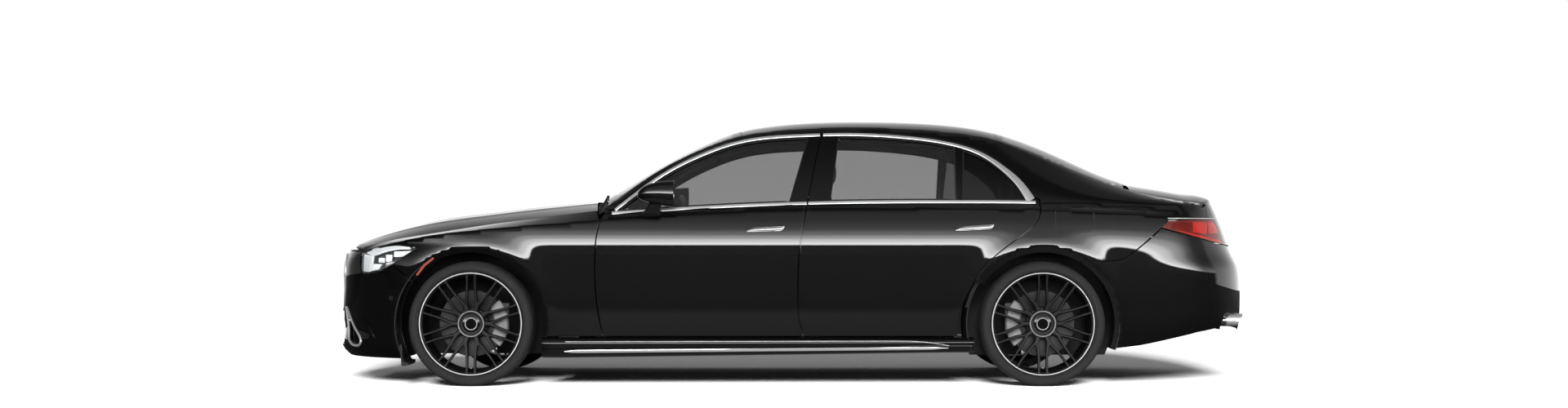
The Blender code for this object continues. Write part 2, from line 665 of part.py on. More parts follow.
# Headlamps
for side_name, side in SIDES:
    angles = np.linspace(0.42, 1.05, 9)
    zs = np.linspace(0.60, 0.83, 6)
    outer, inner = [], []
    for z in zs:
        row_out, row_in = [], []
        for a in angles:
            x, y = front_point(a, min(z, 0.78))
            row_out.append((x + 0.001, side * (y - 0.001), z))
            row_in.append((x + 0.075, side * (y - 0.055), z))
        outer.append(row_out)
        inner.append(row_in)
    lamp = shell("headlamp_" + side_name, outer, inner, LAMP)
    combine(lamp, [trim_zone(side, HEADLAMP)], "INTERSECT")

# Hood
us = np.linspace(-1, 1, 11)
rows_out, rows_in = [], []
for share in (0.0, 0.03, 0.10, 0.25, 0.45, 0.70, 1.0):
    nose_line = -2.592 + 0.137 * np.abs(us) ** 2.2
    back_line = -1.135 + 0.045 * np.abs(us) ** 2
    x = nose_line + (back_line - nose_line) * share
    y = us * (HOOD_EDGE_Y(x) - SHUT_GAP / 2)
    z = hood_z(x, y)
    if share == 0.0:
        z = z - 0.010
    rows_out.append(np.stack([x, y, z], -1))
    rows_in.append(np.stack([x + (0.010 if share == 0 else 0.0), y * (1 - 0.010), z - PANEL], -1))
shell("hood", rows_out, rows_in, PAINT)


# Screen, roof and rear window
def top_panel(name, front_line, back_line, rows, thick, mat, inset=0.0305, cols=9):
    u = np.linspace(-1, 1, cols)
    outer, inner = [], []
    for share in np.linspace(0, 1, rows):
        x = front_line(u) + (back_line(u) - front_line(u)) * share
        y = u * (RAIL_Y(x) - inset)
        z = top_z(x, y)
        outer.append(np.stack([x, y, z], -1))
        slope = (CENTRE_Z(x + 0.01) - CENTRE_Z(x - 0.01)) / 0.02
        n = np.sqrt(1 + slope ** 2)
        xi = x + slope / n * thick
        yi = u * (RAIL_Y(xi) - inset - 0.0008)
        inner.append(np.stack([xi, yi, z - thick / n], -1))
    return shell(name, outer, inner, mat)


def screen_front(u):
    return -1.085 + 0.055 * u ** 2


def screen_back(u):
    return -0.305 + 0.030 * u ** 2


def window_front(u):
    return 1.205 - 0.020 * u ** 2


def window_back(u):
    return 1.945 - 0.030 * u ** 2


top_panel("windscreen", screen_front, lambda u: screen_back(u) - 0.0015, 7, 0.006, GLASS,
          0.0325)
top_panel("roof", lambda u: screen_back(u) + 0.0015, lambda u: window_front(u) - 0.0015, 9,
          0.013, PAINT)
top_panel("rear_window", lambda u: window_front(u) + 0.0015, window_back, 6, 0.006, GLASS)

def aperture(first, second, first_gap, second_gap, top_gap):
    """Outline of a door opening in the inner frame."""
    zs = np.linspace(SILL_TOP, 0.95, 7)
    lead = [(float(first(z)) + first_gap, float(z)) for z in zs]
    trail = [(float(second(z)) + second_gap, float(z)) for z in zs]
    posts = (1.10, 1.20, 1.30, 1.37)
    x0, x1 = lead[-1][0] + 0.010, trail[-1][0] - 0.010
    if first is SHUT_MID:
        lead = lead + [(float(first(z)) + first_gap, z) for z in posts]
        x0 = lead[-1][0] + 0.020
    else:
        trail = trail + [(float(second(z)) + second_gap, z) for z in posts]
        x1 = trail[-1][0] - 0.004
    tops = []
    for x in np.linspace(x0, x1, 10):
        z = float(DOOR_TOP(x)) + top_gap
        if z > float(BELT_Z(x)) - 0.015:
            tops.append((float(x), z))
    return lead + tops + trail[::-1]


def span_outline():
    """Both doors as one outline, with the shut gap round them."""
    lead = [(float(SHUT_FRONT(z)) - SHUT_GAP / 2, float(z)) for z in np.linspace(0.20, 0.96, 10)]
    trail = [(float(SHUT_REAR(z)) + SHUT_GAP / 2, float(z)) for z in np.linspace(0.20, 1.045, 14)]
    xs = np.linspace(float(SHUT_FRONT(0.98)) + 0.004, trail[-1][0] - 0.001, 34)
    tops = [(float(x), float(max(DOOR_TOP(x), BELT_Z(x) + 0.020)) + SHUT_GAP) for x in xs]
    return lead + tops + trail[::-1]


# Quarter panels with rear pillars and roof rails, in one skin
TAIL_ZONE = [(1.60, 0.02), (1.60, 0.7025), (1.702, 0.7025), (1.790, 0.705), (1.875, 0.719),
             (1.975, 0.797), (2.083, 0.8905), (2.133, 0.934), (2.250, 0.941), (2.420, 0.943),
             (2.75, 0.943), (2.75, 0.02)]
TAIL_LAMP = [(2.088, 0.893), (2.135, 0.931), (2.250, 0.938), (2.420, 0.940), (2.62, 0.940),
             (2.62, 0.770), (2.431, 0.806), (2.300, 0.838), (2.180, 0.869)]


def skin(side):
    outer, inner = [], []
    levels = [("low", 0.0), ("low", 0.3), ("low", 0.55), ("low", 0.75), ("low", 0.9),
              ("low", 1.0), ("high", 0.0), ("high", 0.3), ("high", 0.6), ("high", 0.92),
              ("high", 1.0)]
    one = np.array(1.0)
    x = np.concatenate([[-1.045], np.linspace(screen_front(one), screen_back(one) - 0.0015, 7),
                        np.linspace(screen_back(one) + 0.0015, window_front(one) - 0.0015, 9),
                        np.linspace(window_front(one) + 0.0015, window_back(one), 6),
                        np.linspace(1.985, 2.385, 5)])
    for kind, share in levels:
        if kind == "low":
            z = DOOR_BOTTOM + (CREASE_Z(x) - DOOR_BOTTOM) * share
            depth = np.full_like(x, PANEL)
        else:
            low = np.minimum(BELT_Z(x), RAIL_Z(x) - 0.030)
            z = low + (RAIL_Z(x) - low) * share
            depth = np.full_like(x, 0.052 if 0 < share < 0.9 else 0.030)
        y = side_y(x, z)
        if kind == "high" and share == 1.0:
            y = RAIL_Y(x)
        zi = z.copy()
        if kind == "high" and share == 1.0:
            zi = np.where(x < 1.94, top_z(x, y - depth), z + 0.004)
        outer.append(np.stack([x, side * y, z], -1))
        inner.append(np.stack([x, side * (y - depth), zi], -1))
    ob = shell("body_side_" + ("left" if side < 0 else "right"), outer, inner, PAINT)
    cut(ob, prism("opening", span_outline(), side * 0.3, side * 1.3), arch(REAR_AXLE_X),
        trim_zone(side, TAIL_ZONE))
    return ob


def post_frame(side):
    """Inner frame behind the doors: sill, posts and rail, with both door openings."""
    outer, inner = [], []
    for kind, share in (("low", 0.0), ("low", 0.4), ("low", 0.75), ("low", 1.0),
                        ("mid", -0.006), ("mid", 0.004), ("high", 0.0), ("high", 0.35),
                        ("high", 0.7), ("high", 1.0)):
        x = np.linspace(-1.150 if kind == "low" else -1.050, 1.56, 15)
        low = BELT_Z(x) + 0.016
        top = np.maximum(RAIL_Z(x) - 0.012, low + 0.010)
        if kind == "low":
            z = 0.215 + (CREASE_Z(x) - 0.215) * share
            y = side_y(x, z) - DOOR_THICK - SHUT_GAP
        elif kind == "mid":
            z = BELT_Z(x) + share
            y = side_y(x, z) - DOOR_THICK - SHUT_GAP + 0.018
        else:
            z = low + (top - low) * share
            y = side_y(x, z) - FRAME_THICK - SHUT_GAP
        outer.append(np.stack([x, side * y, z], -1))
        inner.append(np.stack([x, side * (y - 0.042), z], -1))
    frame = shell("post_frame", outer, inner, PAINT)
    front = aperture(SHUT_FRONT, SHUT_MID, 0.060, -0.045, -0.042)
    rear = aperture(SHUT_MID, SHUT_REAR, 0.050, -0.060, -0.042)
    cutters_list = [prism("aperture", front, side * 0.3, side * 1.3),
                    prism("aperture", rear, side * 0.3, side * 1.3)]
    cut(frame, *cutters_list, arch(REAR_AXLE_X, LINER_RADIUS + 0.006))
    return frame


for side_name, side in SIDES:
    whole = skin(side)
    join(whole, post_frame(side))


# Boot lid: deck and rear face in one panel
LIP_Z = 1.048
LID_LOW = 0.806


def tail_x(y, z):
    half = WIDEST - DROP(z)
    share = 1 - (np.abs(y) / half) ** REAR_POWER
    return REAR_PLAN_X + (TAIL(z) - REAR_PLAN_X) * share ** (1 / REAR_POWER)


us = np.linspace(-1, 1, 11)
rows_out, rows_in = [], []
for share in (0.0, 0.33, 0.66, 0.92):
    start = 1.985 - 0.030 * us ** 2
    lip = tail_x(us * 0.585, LIP_Z)
    x = start + (lip - start) * share
    y = us * (np.minimum(RAIL_Y(x) - 0.036, 0.615) * (1 - share) + 0.585 * share)
    z = deck_z(x, y)
    rows_out.append(np.stack([x, y, z], -1))
    rows_in.append(np.stack([x - 0.004 * share, y * 0.992, z - PANEL], -1))
for z0 in (1.040, 0.98, 0.90, LID_LOW):
    y = us * 0.585
    z = np.full_like(y, z0) + (deck_z(tail_x(y, LIP_Z), y) - 1.085) * (z0 - LID_LOW) / 0.24
    x = tail_x(y, z0)
    rows_out.append(np.stack([x, y, z], -1))
    rows_in.append(np.stack([x - PANEL, y * 0.992, z - (0.012 if z0 > 1.02 else 0.0)], -1))
shell("boot_lid", rows_out, rows_in, PAINT)

# Rear bumper and tail lamps
REAR_ANGLES = [0.10, 0.20, 0.32, 0.46, 0.60, 0.74, 0.90, 1.08, 1.30, 1.5708]
rear = wrap(rear_point, REAR_ANGLES, lambda a: 0.235, lambda a: 0.89, 9, PANEL,
            "rear_bumper", PAINT)
QUARTER_ZONE = [(1.40, 0.6985), (1.702, 0.6985), (1.790, 0.701), (1.877, 0.715),
                (1.977, 0.793), (2.087, 0.8865), (2.180, 0.866), (2.300, 0.835),
                (2.431, 0.803), (2.62, 0.767), (2.75, 0.740), (2.75, 1.00), (1.40, 1.00)]
for side_name, side in SIDES:
    cut(rear, prism("zone", QUARTER_ZONE, side * 0.5935, side * 1.30))
cut(rear, arch(REAR_AXLE_X), box("top", (2.30, -0.64, 0.798), (2.75, 0.64, 0.95), None, cutters),
    box("tips", (2.30, 0.445, 0.285), (2.75, 0.700, 0.375), None, cutters),
    box("tips", (2.30, -0.700, 0.285), (2.75, -0.445, 0.375), None, cutters))
for side_name, side in SIDES:
    angles = np.linspace(0.55, 1.16, 9)
    zs = np.linspace(0.76, 0.948, 5)
    outer, inner = [], []
    for z in zs:
        pts = [rear_point(a, z) for a in angles]
        outer.append([(x - 0.001, side * (y - 0.001), z) for x, y in pts])
        inner.append([(x - 0.050, side * (y - 0.040), z) for x, y in pts])
    lamp = shell("tail_lamp_" + side_name, outer, inner, RED_LAMP)
    combine(lamp, [prism("zone", TAIL_LAMP, side * 0.595, side * 1.30)], "INTERSECT")

# Side skirts
for side_name, side in SIDES:
    x = np.concatenate([np.linspace(-1.400, -1.28, 3), np.linspace(-1.10, 0.85, 7),
                        np.linspace(0.90, 1.02, 3)])
    outer, inner = [], []
    for z, push in ((0.158, -0.035), (0.168, -0.010), (0.195, 0.008), (0.228, 0.014),
                    (0.252, 0.010), (0.266, 0.0), (0.278, -0.010)):
        y = low_side(x, np.full_like(x, z)) + push
        outer.append(np.stack([x, side * y, np.full_like(x, z)], -1))
        inner.append(np.stack([x, np.full_like(x, side * 0.800), np.full_like(x, z)], -1))
    sill = shell("side_skirt_" + side_name, outer, inner, TRIM)
    cut(sill, arch(FRONT_AXLE_X), arch(REAR_AXLE_X),
        box("step", (-2, side * 0.86 if side < 0 else 0.78, 0.205),
            (2, side * 0.78 if side < 0 else 0.86, 0.30), None, cutters))


# Floor, bulkheads, rails, boot floor and wheelhouses
def union_boxes(name, sizes, mat):
    ob = box(name, *sizes[0], mat)
    return join(ob, *[box("piece", low, high, mat) for low, high in sizes[1:]])


underbody = union_boxes("underbody", [
    ((-1.190, -0.760, 0.205), (0.955, 0.760, 0.235)),
    ((0.900, -0.588, 0.206), (1.330, 0.588, 0.234)),
    ((-1.180, -0.130, 0.215), (1.310, 0.130, 0.400)),
    ((-1.200, -0.755, 0.207), (-1.160, 0.755, 0.940)),
    ((1.300, -0.586, 0.208), (1.328, 0.586, 0.498)),
    ((-2.470, 0.400, 0.520), (-1.170, 0.452, 0.600)),
    ((-2.470, -0.452, 0.520), (-1.170, -0.400, 0.600)),
    ((-2.505, -0.520, 0.500), (-2.460, 0.520, 0.605)),
], UNDER)
ys = np.linspace(-0.740, 0.740, 9)
cowl_out, cowl_in = [], []
for x in (-1.185, -1.120, -1.060, -1.020):
    z = (hood_z(x, ys) if x < -1.10 else np.minimum(hood_z(x, ys), top_z(x, ys))) - 0.032
    cowl_out.append(np.stack([np.full_like(ys, x), ys, z], -1))
    cowl_in.append(np.stack([np.full_like(ys, x), ys, z - (0.040 if x < -1.15 else 0.008)], -1))
join(underbody, shell("cowl", cowl_out, cowl_in, UNDER))
cut(underbody, box("channel", (-1.30, -0.100, 0.10), (1.36, 0.100, 0.330), None, cutters))
rear_floor = union_boxes("rear_floor", [
    ((1.3283, -0.595, 0.470), (2.450, 0.595, 0.500)),
    ((1.500, -0.585, 0.480), (1.530, 0.585, 1.080)),
    ((1.505, -0.575, 1.060), (1.950, 0.575, 1.078)),
    ((1.925, -0.580, 1.050), (1.955, 0.580, 1.100)),
    ((2.430, -0.590, 0.475), (2.462, 0.590, 0.770)),
], UNDER)


def liner(x, y0, y1, low_angle, high_angle):
    angles = np.radians(np.linspace(low_angle, high_angle, 13))
    outer, inner = [], []
    for y in (y0, y1):
        for radius, rows in ((LINER_RADIUS, outer), (LINER_RADIUS - LINER_THICK, inner)):
            rows.append([(x + radius * math.cos(a), y, HUB_Z + radius * math.sin(a))
                         for a in angles])
    return shell("liner", outer, inner, UNDER)


for side_name, side in SIDES:
    join(underbody, liner(FRONT_AXLE_X, side * 0.448, side * 0.775, -8, 188))
    join(rear_floor, liner(REAR_AXLE_X, side * 0.592, side * 0.905, 12, 168))

# Dashboard with console and steering column
def extrude(name, outline, y0, y1, mat):
    ob = prism(name, outline, y0, y1, car)
    ob.data.materials.append(mat)
    return ob


dash = extrude("dashboard", [(-1.140, 0.560), (-1.140, 0.900), (-1.050, 0.955), (-0.900, 0.985),
                             (-0.740, 0.968), (-0.680, 0.905), (-0.690, 0.820), (-0.800, 0.740),
                             (-0.860, 0.560)], -0.745, 0.745, CABIN)
console = extrude("console", [(-0.880, 0.401), (-0.880, 0.760), (-0.760, 0.740), (-0.520, 0.600),
                              (0.020, 0.600), (0.060, 0.560), (0.060, 0.401)], -0.128, 0.128,
                  CABIN)
axis = Vector((-math.cos(WHEEL_AXIS_TILT), 0, -math.sin(WHEEL_AXIS_TILT)))
hub = Vector(STEER_CENTRE)
column = rod("column", hub + axis * 0.045, hub + axis * 0.26, 0.034, CABIN)
join(dash, console, column)

wheel_parts = []
turn = Vector((0, 0, 1)).rotation_difference(axis).to_matrix().to_4x4()
bm = bmesh.new()
ring_count, tube_count = 24, 6
rings = []
for k in range(ring_count):
    a = 2 * math.pi * k / ring_count
    ring = []
    for m in range(tube_count):
        b = 2 * math.pi * m / tube_count
        r = 0.182 + 0.015 * math.cos(b)
        ring.append(bm.verts.new((r * math.cos(a), r * math.sin(a), 0.015 * math.sin(b))))
    rings.append(ring)
for k in range(ring_count):
    one, two = rings[k], rings[(k + 1) % ring_count]
    for m in range(tube_count):
        n = (m + 1) % tube_count
        bm.faces.new((one[m], two[m], two[n], one[n]))
bmesh.ops.transform(bm, matrix=Matrix.Translation(hub) @ turn, verts=bm.verts)
steering = finish("steering_wheel", bm, CABIN)
place = Matrix.Translation(hub) @ turn
boss = rod("boss", place @ Vector((0, 0, -0.030)), place @ Vector((0, 0, 0.038)), 0.062, CABIN)
spokes = []
for angle in (0, 180, 90):
    a = math.radians(angle)
    start = place @ Vector((0.03 * math.cos(a), 0.03 * math.sin(a), 0.0))
    end = place @ Vector((0.180 * math.cos(a), 0.180 * math.sin(a), 0.0))
    spokes.append(rod("spoke", start, end, 0.012, CABIN, 8))
join(steering, boss, *spokes)


# Seats
def block(name, rows, mat):
    """Rounded block lofted through outlines: each row holds x0, x1, half width, z and middle y."""
    outer = []
    steps = 12
    for x0, x1, half, z, tilt, y in rows:
        ring = []
        for k in range(steps):
            a = 2 * math.pi * (k + 0.5) / steps
            c, q = math.cos(a), math.sin(a)
            px = (x0 + x1) / 2 + (x1 - x0) / 2 * math.copysign(abs(c) ** 0.45, c)
            py = y + half * math.copysign(abs(q) ** 0.45, q)
            ring.append((px, py, z + tilt * (px - (x0 + x1) / 2)))
        outer.append(ring)
    bm = bmesh.new()
    rings = [[bm.verts.new(p) for p in ring] for ring in outer]
    for one, two in zip(rings, rings[1:]):
        for k in range(steps):
            j = (k + 1) % steps
            bm.faces.new((one[k], one[j], two[j], two[k]))
    bm.faces.new(rings[0])
    bm.faces.new(rings[-1])
    return finish(name, bm, mat)


def seat(name, x, y, half, low, mat):
    base = block(name, [(x - 0.50, x + 0.05, half * 0.92, low, 0, y),
                        (x - 0.53, x + 0.07, half, low + 0.040, -0.05, y),
                        (x - 0.55, x + 0.07, half, 0.500, -0.10, y),
                        (x - 0.52, x + 0.04, half * 0.94, 0.540, -0.10, y)], mat)
    back = block("back", [(x - 0.075, x + 0.100, half * 0.90, 0.400, 0, y),
                          (x - 0.050, x + 0.125, half, 0.560, 0, y),
                          (x + 0.045, x + 0.200, half * 0.98, 0.860, 0, y),
                          (x + 0.115, x + 0.240, half * 0.80, 1.070, 0, y),
                          (x + 0.135, x + 0.235, half * 0.60, 1.110, 0, y)], mat)
    head = block("head", [(x + 0.140, x + 0.215, 0.085, 1.090, 0, y),
                          (x + 0.125, x + 0.235, 0.130, 1.150, 0, y),
                          (x + 0.140, x + 0.250, 0.130, 1.250, 0, y),
                          (x + 0.165, x + 0.240, 0.095, 1.285, 0, y)], mat)
    join(base, back, head)
    if name.startswith("seat_front"):
        join(base, box("slide", (x - 0.42, y - 0.19, 0.2354), (x - 0.02, y + 0.19, 0.320), mat))
    return base


for side_name, side in SIDES:
    seat("seat_front_" + side_name, 0.020, side * 0.380, 0.235, 0.300, LEATHER)
rear_seat = seat("seat_rear", 1.175, 0.0, 0.580, 0.410, LEATHER)
for y in (-0.375, 0.375):
    join(rear_seat, block("head", [(1.300, 1.390, 0.080, 1.050, 0, y),
                                   (1.290, 1.400, 0.130, 1.110, 0, y),
                                   (1.310, 1.410, 0.125, 1.190, 0, y),
                                   (1.330, 1.405, 0.090, 1.215, 0, y)], LEATHER))
for side_name, side in SIDES:
    join(rear_seat, box("base", (0.72, 0.14 if side > 0 else -0.52, 0.2354),
                        (1.10, 0.52 if side > 0 else -0.14, 0.430), LEATHER))

# Engine as one plain block
box("engine_block", (-2.080, -0.270, 0.300), (-1.380, 0.270, 0.850), STEEL)


# Wheels, made once and copied to the four corners
def copy_wheel(name, source, x, side, mat):
    ob = bpy.data.objects.new(name, source.data.copy())
    ob.data.name = name
    turn = Matrix.Rotation(math.pi, 4, "Z") if side > 0 else Matrix.Identity(4)
    ob.data.transform(turn)
    ob.location = (x, side * WHEEL_Y, HUB_Z)
    ob.data.materials.clear()
    ob.data.materials.append(mat)
    car.objects.link(ob)
    return ob


TYRE_PROFILE = [(RIM_RADIUS + RIM_GAP, 0.104), (0.303, 0.124), (0.322, TYRE_HALF_WIDTH),
                (0.344, 0.114), (TYRE_RADIUS, 0.088)]
tyre_profile = TYRE_PROFILE + [(r, -y) for r, y in TYRE_PROFILE[::-1]]
tyre = lathe("tyre_source", tyre_profile, (0, 0, 0), RUBBER, 36)
BARREL = [(RIM_RADIUS, -0.116), (RIM_RADIUS, 0.116), (0.262, 0.112), (0.262, -0.112)]
rim = lathe("rim_source", BARREL, (0, 0, 0), RIM, 36)
hub_ring = lathe("hub", [(0.034, -0.085), (0.068, -0.085), (0.068, 0.015), (0.034, 0.015)],
                 (0, 0, 0), RIM, 20)
cap = rod("cap", (0, -0.050, 0), (0, -0.090, 0), 0.060, RIM, 20)
disc = lathe("disc", [(0.060, -0.015), (0.190, -0.015), (0.190, 0.015), (0.060, 0.015)],
             (0, 0, 0), RIM, 24)
bars = bmesh.new()
PAIRS = 10
for k in range(PAIRS):
    for way in (-1, 1):
        a0 = 2 * math.pi * k / PAIRS + way * math.radians(6.5)
        a1 = 2 * math.pi * k / PAIRS + way * math.radians(9.5)
        p0 = np.array([0.062 * math.cos(a0), 0.062 * math.sin(a0)])
        p1 = np.array([0.270 * math.cos(a1), 0.270 * math.sin(a1)])
        line = (p1 - p0) / np.linalg.norm(p1 - p0)
        side_step = np.array([-line[1], line[0]])
        verts = []
        for pt, wide, ya, yb in ((p0, 0.0055, -0.082, -0.052), (p1, 0.0075, -0.092, -0.062)):
            for dy in (ya, yb):
                for w in (-wide, wide):
                    q = pt + side_step * w
                    verts.append(bars.verts.new((q[0], dy, q[1])))
        a, b, c, d, e, f, g, h = verts
        for quad in ((a, b, d, c), (e, g, h, f), (a, e, f, b), (c, d, h, g), (a, c, g, e),
                     (b, f, h, d)):
            bars.faces.new(quad)
spokes = finish("spokes", bars, RIM)
join(rim, hub_ring, cap, disc, spokes)
for side_name, side in SIDES:
    for place, x in (("front", FRONT_AXLE_X), ("rear", REAR_AXLE_X)):
        copy_wheel("tyre_%s_%s" % (place, side_name), tyre, x, side, RUBBER)
        copy_wheel("rim_%s_%s" % (place, side_name), rim, x, side, RIM)
bpy.data.objects.remove(tyre, do_unlink=True)
bpy.data.objects.remove(rim, do_unlink=True)

# Knuckles, arms, axle and exhaust
KING_Y = 0.760


def span(side, y0, y1):
    return (min(side * y0, side * y1), max(side * y0, side * y1))


def caliper(side, x, behind, mat):
    """Brake caliper with its slot for the disc, ahead of the hub or behind it."""
    y0, y1 = span(side, 0.772, 0.856)
    xa, xb = sorted((x + behind * 0.118, x + behind * 0.208))
    ob = box("caliper", (xa, y0, HUB_Z - 0.060), (xb, y1, HUB_Z + 0.115), mat)
    slot = rod("slot", (x, side * 0.793, HUB_Z), (x, side * 0.837, HUB_Z), 0.198, None, 20,
               cutters)
    cut(ob, slot)
    y0, y1 = span(side, 0.735, 0.785)
    xa, xb = sorted((x + behind * 0.010, x + behind * 0.150))
    return ob, box("bracket", (xa, y0, HUB_Z - 0.030), (xb, y1, HUB_Z + 0.050), mat)


for side_name, side in SIDES:
    y0, y1 = span(side, 0.705, 0.778)
    upright = box("knuckle_" + side_name, (FRONT_AXLE_X - 0.032, y0, 0.2205),
                  (FRONT_AXLE_X + 0.032, y1, 0.4800), STEEL)
    stub = rod("stub", (FRONT_AXLE_X, side * 0.74, HUB_Z), (FRONT_AXLE_X, side * 0.835, HUB_Z),
               0.028, STEEL, 16)
    join(upright, stub, *caliper(side, FRONT_AXLE_X, 1, STEEL))

pieces = [((FRONT_AXLE_X - 0.080, -0.390, 0.190), (FRONT_AXLE_X + 0.080, 0.390, 0.260))]
for side_name, side in SIDES:
    y0, y1 = span(side, 0.370, 0.775)
    pieces.append(((FRONT_AXLE_X - 0.026, y0, 0.190), (FRONT_AXLE_X + 0.026, y1, 0.2145)))
    pieces.append(((FRONT_AXLE_X - 0.022, y0, 0.4865), (FRONT_AXLE_X + 0.022, y1, 0.508)))
    y0, y1 = span(side, 0.365, 0.3995)
    pieces.append(((FRONT_AXLE_X - 0.060, y0, 0.200), (FRONT_AXLE_X + 0.060, y1, 0.510)))
subframe = union_boxes("front_subframe", pieces, STEEL)

rear_pieces = [((REAR_AXLE_X - 0.070, -0.420, 0.250), (REAR_AXLE_X + 0.090, 0.420, 0.345))]
for side_name, side in SIDES:
    y0, y1 = span(side, 0.410, 0.745)
    rear_pieces.append(((REAR_AXLE_X - 0.030, y0, 0.255), (REAR_AXLE_X + 0.030, y1, 0.280)))
    rear_pieces.append(((REAR_AXLE_X - 0.024, y0, 0.430), (REAR_AXLE_X + 0.024, y1, 0.452)))
    y0, y1 = span(side, 0.705, 0.778)
    rear_pieces.append(((REAR_AXLE_X - 0.036, y0, 0.240), (REAR_AXLE_X + 0.036, y1, 0.460)))
    y0, y1 = span(side, 0.380, 0.415)
    rear_pieces.append(((REAR_AXLE_X - 0.050, y0, 0.300), (REAR_AXLE_X + 0.050, y1, 0.456)))
rear_axle = union_boxes("rear_axle", rear_pieces, STEEL)
for side_name, side in SIDES:
    shaft = rod("shaft", (REAR_AXLE_X, side * 0.10, HUB_Z), (REAR_AXLE_X, side * 0.835, HUB_Z),
                0.024, STEEL, 16)
    join(rear_axle, shaft, *caliper(side, REAR_AXLE_X, -1, STEEL))
join(rear_axle, rod("gear", (REAR_AXLE_X, -0.13, HUB_Z), (REAR_AXLE_X, 0.13, HUB_Z), 0.085,
                    STEEL, 20))


def tube(name, path, radius, mat, segments=8):
    """Round bar along a path of points."""
    pts = [Vector(p) for p in path]
    bm = bmesh.new()
    rings = []
    for i, p in enumerate(pts):
        ahead = (pts[min(i + 1, len(pts) - 1)] - pts[max(i - 1, 0)]).normalized()
        side_dir = ahead.cross(Vector((0, 0, 1))).normalized()
        up = side_dir.cross(ahead)
        rings.append([bm.verts.new(p + radius * (math.cos(2 * math.pi * k / segments) * side_dir
                                                 + math.sin(2 * math.pi * k / segments) * up))
                      for k in range(segments)])
    for one, two in zip(rings, rings[1:]):
        for k in range(segments):
            j = (k + 1) % segments
            bm.faces.new((one[k], one[j], two[j], two[k]))
    bm.faces.new(rings[0])
    bm.faces.new(rings[-1])
    return finish(name, bm, mat)


muffler = box("exhaust", (1.900, -0.520, 0.255), (2.300, 0.520, 0.400), STEEL)
for side in (-1, 1):
    pipe = tube("pipe", [(-1.30, side * 0.052, 0.262), (1.05, side * 0.052, 0.262),
                         (1.22, side * 0.060, 0.214), (1.62, side * 0.060, 0.214),
                         (1.80, side * 0.100, 0.290), (1.95, side * 0.140, 0.320)], 0.030, STEEL)
    join(muffler, pipe)
    for y in (0.500, 0.610):
        join(muffler, tube("tip", [(2.22, side * 0.43, 0.335), (2.36, side * y, 0.330),
                                   (2.575 - (0.02 if y > 0.55 else 0), side * y, 0.330)],
                           0.034, STEEL, 10))


# Moving pieces turn about their own origins
def set_origin(name, place):
    ob = bpy.data.objects[name]
    ob.data.transform(Matrix.Translation(-Vector(place)))
    ob.location = place


for side_name, side in SIDES:
    set_origin("door_front_" + side_name, (FRONT_HINGE_X, side * HINGE_Y, DOOR_HINGE_Z))
    set_origin("door_rear_" + side_name, (REAR_HINGE_X, side * HINGE_Y, DOOR_HINGE_Z))
    set_origin("knuckle_" + side_name, (FRONT_AXLE_X, side * KING_Y, HUB_Z))
set_origin("hood", HOOD_HINGE)
set_origin("boot_lid", BOOT_HINGE)
set_origin("steering_wheel", STEER_CENTRE)
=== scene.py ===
import math

import bmesh
import bpy
import numpy as np
from mathutils import Matrix, Vector
from mathutils.bvhtree import BVHTree
from mathutils.geometry import delaunay_2d_cdt


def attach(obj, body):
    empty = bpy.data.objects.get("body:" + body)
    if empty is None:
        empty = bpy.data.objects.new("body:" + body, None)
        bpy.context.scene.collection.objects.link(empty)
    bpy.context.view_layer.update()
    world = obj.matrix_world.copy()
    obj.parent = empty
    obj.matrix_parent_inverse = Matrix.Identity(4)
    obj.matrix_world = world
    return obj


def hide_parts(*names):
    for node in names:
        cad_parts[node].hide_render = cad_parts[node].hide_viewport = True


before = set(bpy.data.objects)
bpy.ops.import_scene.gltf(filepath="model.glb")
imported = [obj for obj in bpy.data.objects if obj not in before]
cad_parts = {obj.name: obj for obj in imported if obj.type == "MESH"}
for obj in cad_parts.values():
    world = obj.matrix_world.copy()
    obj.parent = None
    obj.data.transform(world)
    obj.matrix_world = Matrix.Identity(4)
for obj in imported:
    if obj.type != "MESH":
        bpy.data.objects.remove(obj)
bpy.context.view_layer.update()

scene = bpy.context.scene
sideSigns = {"left": -1.0, "right": 1.0}
frontAxle, rearAxle, hubHeight, wheelOut = -1.797, 1.419, 0.351, 0.815
widestHalf, frontPlanX, rearPlanX, frontPower, rearPower = 0.958, -1.60, 1.50, 2.5, 3.0
shutGap, doorBottom = 0.006, 0.284

# the camera stands where the photo's stood, level, beside the car
cameraSetup = {"place": (-0.0365, -13.9, 0.87), "lens": 53.05, "shiftUp": 0.0177}
camData = bpy.data.cameras.new("sideCamera")
camData.lens = cameraSetup["lens"]
camData.sensor_width = 36.0
camData.shift_y = cameraSetup["shiftUp"]
camData.clip_end = 200.0
cam = bpy.data.objects.new("sideCamera", camData)
cam.location = cameraSetup["place"]
cam.rotation_euler = (math.radians(90), 0, 0)
scene.collection.objects.link(cam)
scene.camera = cam
scene.view_settings.view_transform = "Standard"


